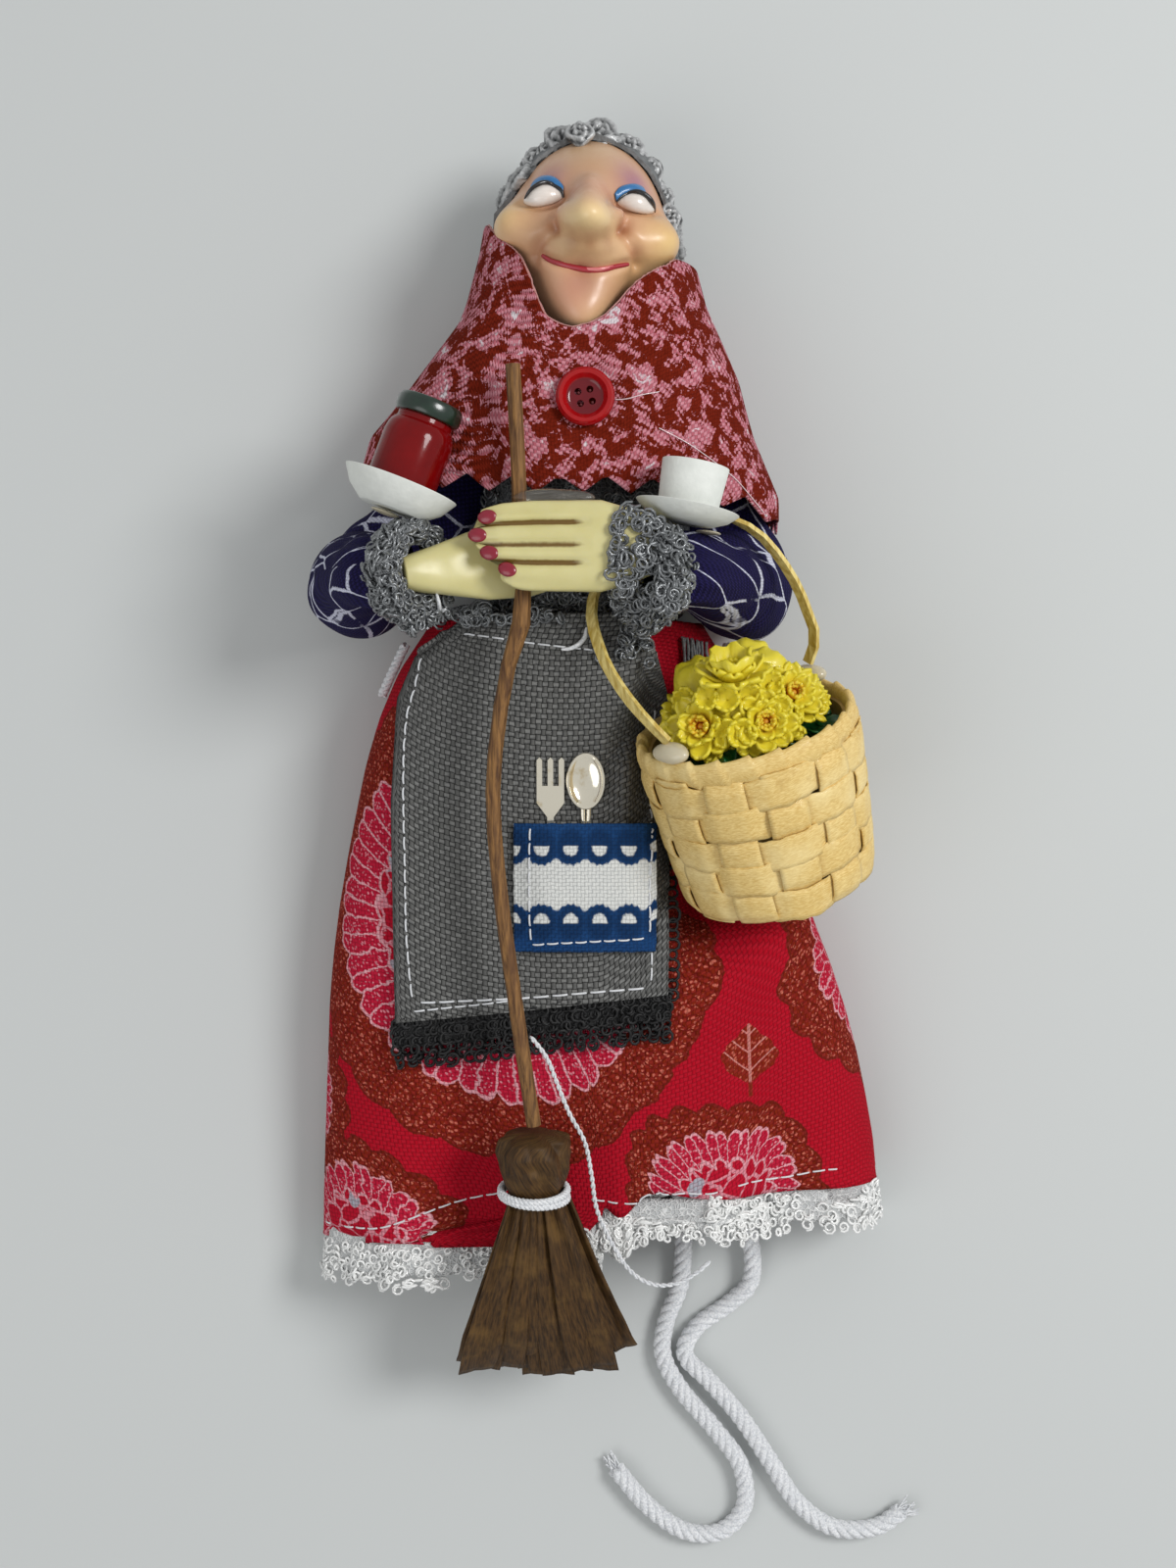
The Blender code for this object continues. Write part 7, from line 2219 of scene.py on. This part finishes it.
def add_bloom(build, tint, centre, out, radius, seed, trumpet=False):
    """Rings of petals round a heart, drawn in metres."""
    dice = Random(seed)
    stand = standing(centre, out)
    for ring, (count, reach, tilt, rise, warm) in enumerate((
        (8, 1.0, 12, 0.0, 0.1), (7, 0.74, 34, 0.08, 0.4), (5, 0.46, 58, 0.12, 1.3), (4, 0.30, 72, 0.14, 1.4),
    )):
        for k in range(count):
            turn = 2 * pi * (k + 0.5 * (ring % 2)) / count + dice.uniform(-0.12, 0.12)
            lean = radians(tilt + dice.uniform(-6, 6))
            base = Matrix.Rotation(turn, 4, "Z") @ Matrix.Translation((0, radius * 0.10, radius * rise))
            matrix = stand @ base @ Matrix.Rotation(lean, 4, "X") @ Matrix.Scale(radius, 4)
            add_petal(build, tint, matrix, reach, 0.66 * reach, 0.6, 0.2 if trumpet else warm, 0.35)
    if trumpet:
        made = bmesh.ops.create_cone(
            build, cap_ends=False, segments=24, radius1=0.36, radius2=0.62, depth=0.85,
        )
        for vert in made["verts"]:
            turn = atan2(vert.co.y, vert.co.x)
            at_mouth = vert.co.z > 0
            frill = 1 + 0.14 * sin(6 * turn) * at_mouth
            rise = vert.co.z + 0.45 + 0.08 * cos(6 * turn) * at_mouth
            vert[tint] = (0.0, 0.0, 0.0, 1.0)
            vert.co = stand @ (Vector((vert.co.x * frill, vert.co.y * frill, rise)) * radius)
    heart = bmesh.ops.create_uvsphere(build, u_segments=14, v_segments=8, radius=0.12 * radius)
    for vert in heart["verts"]:
        vert[tint] = (0.6, 0.6, 0.6, 1.0)
        vert.co = stand @ (vert.co + Vector((0, 0, radius * 0.24)))


# %% The bunch
flower_form = probe("flowers")
build = bmesh.new()
tint = build.verts.layers.float_color.new("heart")
blooms = (
    # picture point, radius in millimetres, whether it has a trumpet
    (750, 690, 6.2, True), (712, 742, 5.6, False), (812, 705, 5.0, False), (782, 738, 5.2, False),
)
for number, (u, v, radius, trumpet) in enumerate(blooms):
    spot = seen(flower_form, u, v, -1.6 * MM, 46.0)
    middle = nest.translation + basket_up * -4 * MM
    out = ((spot - middle).normalized() + Vector((0, 0, 0.7))).normalized()
    if trumpet:
        out = Vector((-0.1, 0.85, 0.5)).normalized()
    add_bloom(build, tint, spot, out, radius * MM, number + 3, trumpet)
for number, (u, v, radius) in enumerate((
    (742, 716, 2.6), (765, 712, 2.6), (785, 698, 2.6), (728, 765, 2.4), (757, 748, 3.0), (795, 722, 2.4),
    (803, 742, 2.6), (748, 770, 2.4), (700, 715, 2.6), (722, 715, 2.4), (776, 765, 2.2), (835, 715, 2.2),
)):
    spot = seen(flower_form, u, v, -0.4 * MM, 44.0)
    out = ((spot - nest.translation).normalized() + Vector((0, 0, 0.8))).normalized()
    for k in range(5):
        lean = Matrix.Rotation(2 * pi * k / 5 + number, 4, "Z") @ Matrix.Rotation(0.5, 4, "X")
        matrix = standing(spot, out) @ lean @ Matrix.Scale(radius * MM, 4)
        add_petal(build, tint, matrix, 1.0, 0.9, 0.5, 0.1)
SIDE_BLOOMS = 22
for k in range(SIDE_BLOOMS):
    turn = 2 * pi * k / SIDE_BLOOMS
    way = nest.to_quaternion() @ Vector((cos(turn), sin(turn), 0.24 + 0.1 * sin(3 * k))).normalized()
    spot = outer_at(flower_form, nest.translation - basket_up * 1.0 * MM, way, 0.05)
    if spot is None:
        continue
    for j in range(4):
        lean = Matrix.Rotation(2 * pi * j / 4 + k, 4, "Z") @ Matrix.Rotation(0.5, 4, "X")
        matrix = standing(spot - way * 1.2 * MM, way) @ lean @ Matrix.Scale(3.0 * MM, 4)
        add_petal(build, tint, matrix, 1.0, 0.85, 0.5, 0.15)
petals = piece_from("flower_petals", build)
thicken(petals, 0.55 * MM)
dress(petals, petal_look, (), "basket")
mound = finer_copy("flower_mound", "flowers", 2, 3)
with reshaping(mound.data) as build:
    for vert in build.verts:
        vert.co += (vert.co - nest.translation).normalized() * (noise.noise(vert.co * 480) * 0.8 - 0.8) * MM
dress(mound, petal_look, ("flowers",), "basket")
print("bunch has", len(petals.data.polygons), "petal faces")

# %% Leaves
leaf_look = mottled(
    "moulded leaves", 0.35, ("093a18", "1a6a30"), (400.0,), (700.0, 4.0), 0.3, 0.8, Coat_Weight=0.3
)[0]
finish_node("leaves", leaf_look)
build = bmesh.new()
tint = build.verts.layers.float_color.new("heart")
LEAVES = 26
for k in range(LEAVES):
    turn = 2 * pi * k / LEAVES
    spot = in_nest(turn, 13.2 + 0.9 * sin(5 * k), -2.6 + 0.5 * cos(3 * k))
    way = (nest.to_quaternion() @ Vector((cos(turn) * 0.4, sin(turn) * 0.4, 1.0))).normalized()
    lean = Matrix.Rotation(1.7 * k, 4, "Z") @ Matrix.Rotation(0.35, 4, "X")
    matrix = standing(spot, way) @ lean @ Matrix.Scale(4.2 * MM, 4)
    add_petal(build, tint, matrix, 1.0, 0.75, 0.35, 0.0, 0.4)
blades = piece_from("leaf_blades", build)
thicken(blades, 0.35 * MM)
dress(blades, leaf_look, (), "basket")
print(LEAVES, "leaves are in")

# %% [markdown]
# ## Broom
# The broom's head is brown paper ribbon: folded over the stick's end, bound with string, and cut into a fan
# of strips. Each strip is its own creased sheet. The strips overlap like the real ones and end at odd
# lengths.

# %% Brown paper
paper_look, tree, shader = new_look("brown paper ribbon", 0.6, Specular_IOR_Level=0.25)
vector = place(tree, "UV", (3.0, 0.35, 1.0))
fibre = cloud(tree, vector, 800.0, 4.0, 0.6)
blots = cloud(tree, place(tree), 170.0, 3.0)
brown = blend(tree, span(tree, fibre, 0.3, 0.7), paint("2b1c0c"), paint("573d1e"))
colour(tree, shader, blend(tree, span(tree, blots, 0.5, 0.75, 0.0, 0.6), brown, paint("6c5028")))
raise_surface(tree, shader, fibre, 0.08 * MM, 0.5)

# %% Knob and strips
stick_end = Vector((-9.6, -60.5, 34.4))
drop_way = Vector((0.0, -cos(radians(9)), -sin(radians(9))))
broom_up = drop_way.cross(Vector((1.0, 0.0, 0.0)))
broom_frame = turned_frame(stick_end + drop_way * 1.2, Vector((1, 0, 0)), broom_up, drop_way)
KNOB, KNOB_LENGTH, FAN, FAN_HALF = 6.2, 13.5, 34.0, 16.0
KNOB_SHARES = (
    (0.00, 0.30), (0.02, 0.62), (0.08, 0.88), (0.25, 1.0), (0.50, 0.98), (0.70, 0.86), (0.82, 0.74),
    (1.00, 0.84),
    (1.18, 0.92),
)


def knob_spot(u, v):
    turn = 2 * pi * u
    along = 0.97 * v
    wide = between(KNOB_SHARES, along)
    crumple = abs(noise.noise(Vector((cos(turn) * 1.6, sin(turn) * 1.6, along * 2.2)))) - 0.2
    fold = (0.17 * (abs(sin(3.5 * turn + 3 * along)) - 0.6) + 0.26 * crumple) * (1.15 - along)
    tuck = 0.10 * max(0.0, cos(3 * turn + 0.6)) * max(0.0, 1 - along * 2.6)
    flat = 1 - 0.2 * max(0.0, along - 0.3)
    reach = KNOB * wide * (1 + fold + tuck)
    return broom_frame @ Vector((reach * cos(turn), reach * flat * sin(turn), KNOB_LENGTH * along))


knob = cloth("broom_knob", 132, 54, knob_spot, 0.0, wrap=True)
with reshaping(knob.data) as build:
    close_holes(build)
dress(knob, paper_look, ("broom_bristles",))

strip_count = 0
for layer, count in enumerate((5, 6, 5)):
    for k in range(count):
        dice = Random(layer * 20 + k)
        depth = layer - 1
        across = (k - (count - 1) / 2) / (count / 2) + dice.uniform(-0.06, 0.06)
        length = FAN * (1.02 - 0.05 * abs(across) + dice.uniform(-0.05, 0.03))
        width = dice.uniform(7.2, 9.6)
        twist = dice.uniform(-0.5, 0.5)
        notch = dice.choice((-1, 1))
        if layer == 0 and k == count - 1:
            across, length, width = 1.22, FAN * 0.90, 4.6

        def strip_spot(
            u, v, depth=depth, across=across, length=length, width=width, twist=twist, notch=notch, k=k,
        ):
            start = Vector((across * KNOB * 0.60, depth * KNOB * 0.46, KNOB_LENGTH * 0.80))
            end = Vector((across * (FAN_HALF - 2.4), depth * 1.5, KNOB_LENGTH * 1.02 + length))
            middle = start.lerp(end, v)
            middle.y -= 9.0 * v * v * v
            wide = (2.2 + (width - 2.2) * min(1.0, v * 1.25)) * (1 - 0.10 * v)
            side = (u - 0.5) * wide
            folded = abs(2 * ((u * 1.15 + 0.23 * k) % 1.0) - 1)
            crease = 1.3 * folded * (1 - 0.4 * v) + 1.2 * (u - 0.5) * twist
            wave = 0.45 * sin(3.1 * v * pi + k) * v + side * twist * 0.4 * v
            end_cut = notch * 1.1 * (u - 0.5) * max(0.0, (v - 0.9) / 0.1)
            wrinkle = 0.30 * noise.noise(Vector((side * 0.5, v * 7, k + depth * 10)))
            return broom_frame @ (middle + Vector((side, crease + wave + wrinkle, end_cut)))

        strip = cloth(f"broom_strip_{strip_count + 1}", 14, 34, strip_spot, 0.22 * MM)
        dress(strip, paper_look)
        strip_count += 1
print("broom has", strip_count, "strips")

# %% String, ties and loose threads
string_look, tree, shader = new_look("cotton string", 0.85, Sheen_Weight=0.3)
vector = place(tree)
fibres = cloud(tree, vector, 2600.0, 3.0)
tone = blend(tree, cloud(tree, vector, 300.0), paint("e2e4e6"), paint("f6f6f6"))
colour(tree, shader, blend(tree, span(tree, fibres, 0.3, 0.7), paint("c6c9cd"), tone))
raise_surface(tree, shader, fibres, 0.18 * MM, 0.9)
for name, node in (
    ("leg_left", "leg_cord_left"), ("leg_right", "leg_cord_right"), ("thread", "broom_thread"),
):
    cords[name].name = "yarn_" + name
    dress(cords[name], string_look, (node,))
tie_middle = KNOB * 0.83 + 0.75
wraps = []
for turn_number, shift in enumerate((-0.75, 0.25)):
    line = []
    for k in range(97):
        turn = 2 * pi * k / 96
        spot = Vector((tie_middle * cos(turn), tie_middle * 0.93 * sin(turn), KNOB_LENGTH * 0.84 + shift))
        spot.z += 0.5 * sin(turn + turn_number)
        line.append(broom_frame @ spot)
    wraps.append(line)
for number, line in enumerate(wraps):
    wrap = yarn(f"broom_wrap_{number + 1}", line, 0.72 * MM, 3, 2.4 * MM, 1)
    dress(wrap, string_look, ("broom_tie",) if number == 0 else ())
for side in (-1, 1):
    node = "waist_tie_" + SIDE_NAMES[side]
    low, high = (Vector(corner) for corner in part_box(node))
    outer, inner_x = (low.x + 0.9 * MM, high.x - 0.9 * MM) if side < 0 else (
        high.x - 0.9 * MM, low.x + 0.9 * MM,
    )
    route = [
        Vector((inner_x, high.y - 0.8 * MM, high.z - 0.9 * MM)),
        Vector(((outer + inner_x) / 2, (high.y + low.y) / 2, (high.z + low.z) / 2 + 0.3 * MM)),
        Vector((outer, low.y + 0.8 * MM, low.z + 0.9 * MM)),
    ]
    line, _ = smooth_path(route, 40)
    tie = yarn("waist_yarn_" + SIDE_NAMES[side], line, 0.95 * MM, 3, 3.6 * MM, 2)
    dress(tie, string_look, (node,))
nylon_look, tree, shader = new_look("clear nylon", 0.15, Coat_Weight=0.3)
colour(tree, shader, blend(tree, cloud(tree, place(tree), 300.0), paint("d9b9bd"), paint("f1e4e6")))
scarf_top = surface(scarf)
for number, pixels in enumerate((
    ((628, 408), (640, 407), (655, 403), (672, 400)),
    ((672, 437), (705, 455), (745, 485), (762, 503), (778, 523)),
)):
    line, _ = smooth_path([seen(scarf_top, u, v, 0.25 * MM, 36.0) for u, v in pixels], 24)
    dress(threads(f"nylon_{number + 1}", [line], 0.09 * MM), nylon_look)

# %% The room that the basket's handle swings through

def swung_handle(degrees):
    """A tree of the basket's handle, swung about the arm by some degrees."""
    pin = Vector((17.1, 32.85, 34.9)) * MM
    swing = Matrix.Rotation(radians(degrees), 4, Vector((-0.43, 0.0, 0.9)).normalized())
    build = bmesh.new()
    build.from_mesh(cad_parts["basket_handle"].data)
    bmesh.ops.transform(
        build, matrix=Matrix.Translation(pin) @ swing @ Matrix.Translation(-pin), verts=build.verts,
    )
    tree = BVHTree.FromBMesh(build)
    build.free()
    return tree


swept = [swung_handle(degrees) for degrees in range(0, 21, 4)]


def free_of_handle(spot):
    """Whether a loop stays clear of the handle through its whole swing."""
    return all(tree.find_nearest(spot)[3] > 2.2 * MM for tree in swept)


# %% Lace and loose threads at the waist
strip_top = surface(chest, apron, skirt, hips)
dice = Random(91)
places = []
for _ in range(150):
    u, v = dice.uniform(438, 628), dice.uniform(600, 640)
    v += 0.0006 * (u - 530) ** 2 - 6
    spot = seen(strip_top, u, v, dice.uniform(0.4, 1.6) * MM, 36.0)
    places.append(tossed(spot, dice.uniform(0, 2 * pi), 0.6))
for _ in range(46):
    u, v = dice.uniform(612, 664), dice.uniform(622, 672)
    spot = seen(strip_top, u, v, dice.uniform(0.6, 2.4) * MM, 38.0)
    places.append(tossed(spot, dice.uniform(0, 2 * pi), 0.6))
places = [(spot, out, side) for spot, out, side in places if free_of_handle(spot)]
dress(loops("waist_lace_loops", places, 1.35 * MM, 0.26 * MM, 92, 14, 1.7), grey_loop_look)
curl_top = surface(chest, apron, skirt, *[band for band, _ in cuffs])
for number, pixels in enumerate((
    ((436, 604), (440, 618), (452, 628), (466, 626), (474, 616), (482, 606)),
    ((446, 622), (455, 632), (466, 630), (476, 619)),
    ((598, 640), (596, 650), (590, 657), (582, 661), (573, 662)),
)):
    line, _ = smooth_path([seen(curl_top, u, v, 1.9 * MM, 38.0) for u, v in pixels], 30)
    name = f"thread_curl_{number + 1}"
    curl = threads(name, [line], 0.42 * MM, taper=lambda t: 0.35 + 0.65 * sin(pi * t) ** 0.5)
    dress(curl, string_look)
strand_top = surface(skirt, arms[1])
dice = Random(93)
strands = []
for k in range(9):
    u, v = 694 + 2.8 * k, 648 + 0.8 * k
    drift = dice.uniform(-2, 5)
    pixels = [(u + drift * t + dice.uniform(-1.2, 1.2), v + 30 * t) for t in (0.0, 0.3, 0.6, 1.0)]
    strands.append([seen(strand_top, across, down, 0.7 * MM, 36.0) for across, down in pixels])
dress(threads("waist_strands", strands, 0.3 * MM), grey_loop_look)

# %% Frayed ends of the leg cords
frayed = []
dice = Random(17)
for route in (leg_left_route, leg_right_route):
    end, way = route[-1], (route[-1] - route[-2]).normalized()
    aside = way.cross(Vector((0, 0, 1))).normalized()
    for _ in range(20):
        off = aside * dice.uniform(-1.1, 1.1) * MM + Vector((0, 0, dice.uniform(-0.8, 0.8))) * MM
        out = (way + aside * dice.uniform(-0.6, 0.6) + Vector((0, 0, dice.uniform(-0.3, 0.1)))).normalized()
        tip = end + off + out * dice.uniform(1.4, 3.4) * MM
        tip.z = max(tip.z, 0.2 * MM)
        frayed.append([end - way * 1.2 * MM + off * 0.8, end + off, tip])
dress(threads("cord_fray", frayed, 0.14 * MM), string_look)
print("strings and loose threads are in")

# %% [markdown]
# ## What each cloth was cut from
# A sheet keeps its area when it is gathered or draped, so the area of each finished cloth gives the size
# that it was cut to, before its folds. The skirt is a strip gathered at the waist, the scarf a strip folded
# over the head, and the lace bands are strips gathered along one edge.

# %% The sheets


def area_of(piece):
    return sum(face.area for face in piece.data.polygons)


for thing in (skirt, scarf, apron, pocket, hem_band, black_band, *[band for band, _ in cuffs]):
    print(thing.name, "covers", round(area_of(thing) * 1e4, 2), "square centimetres")
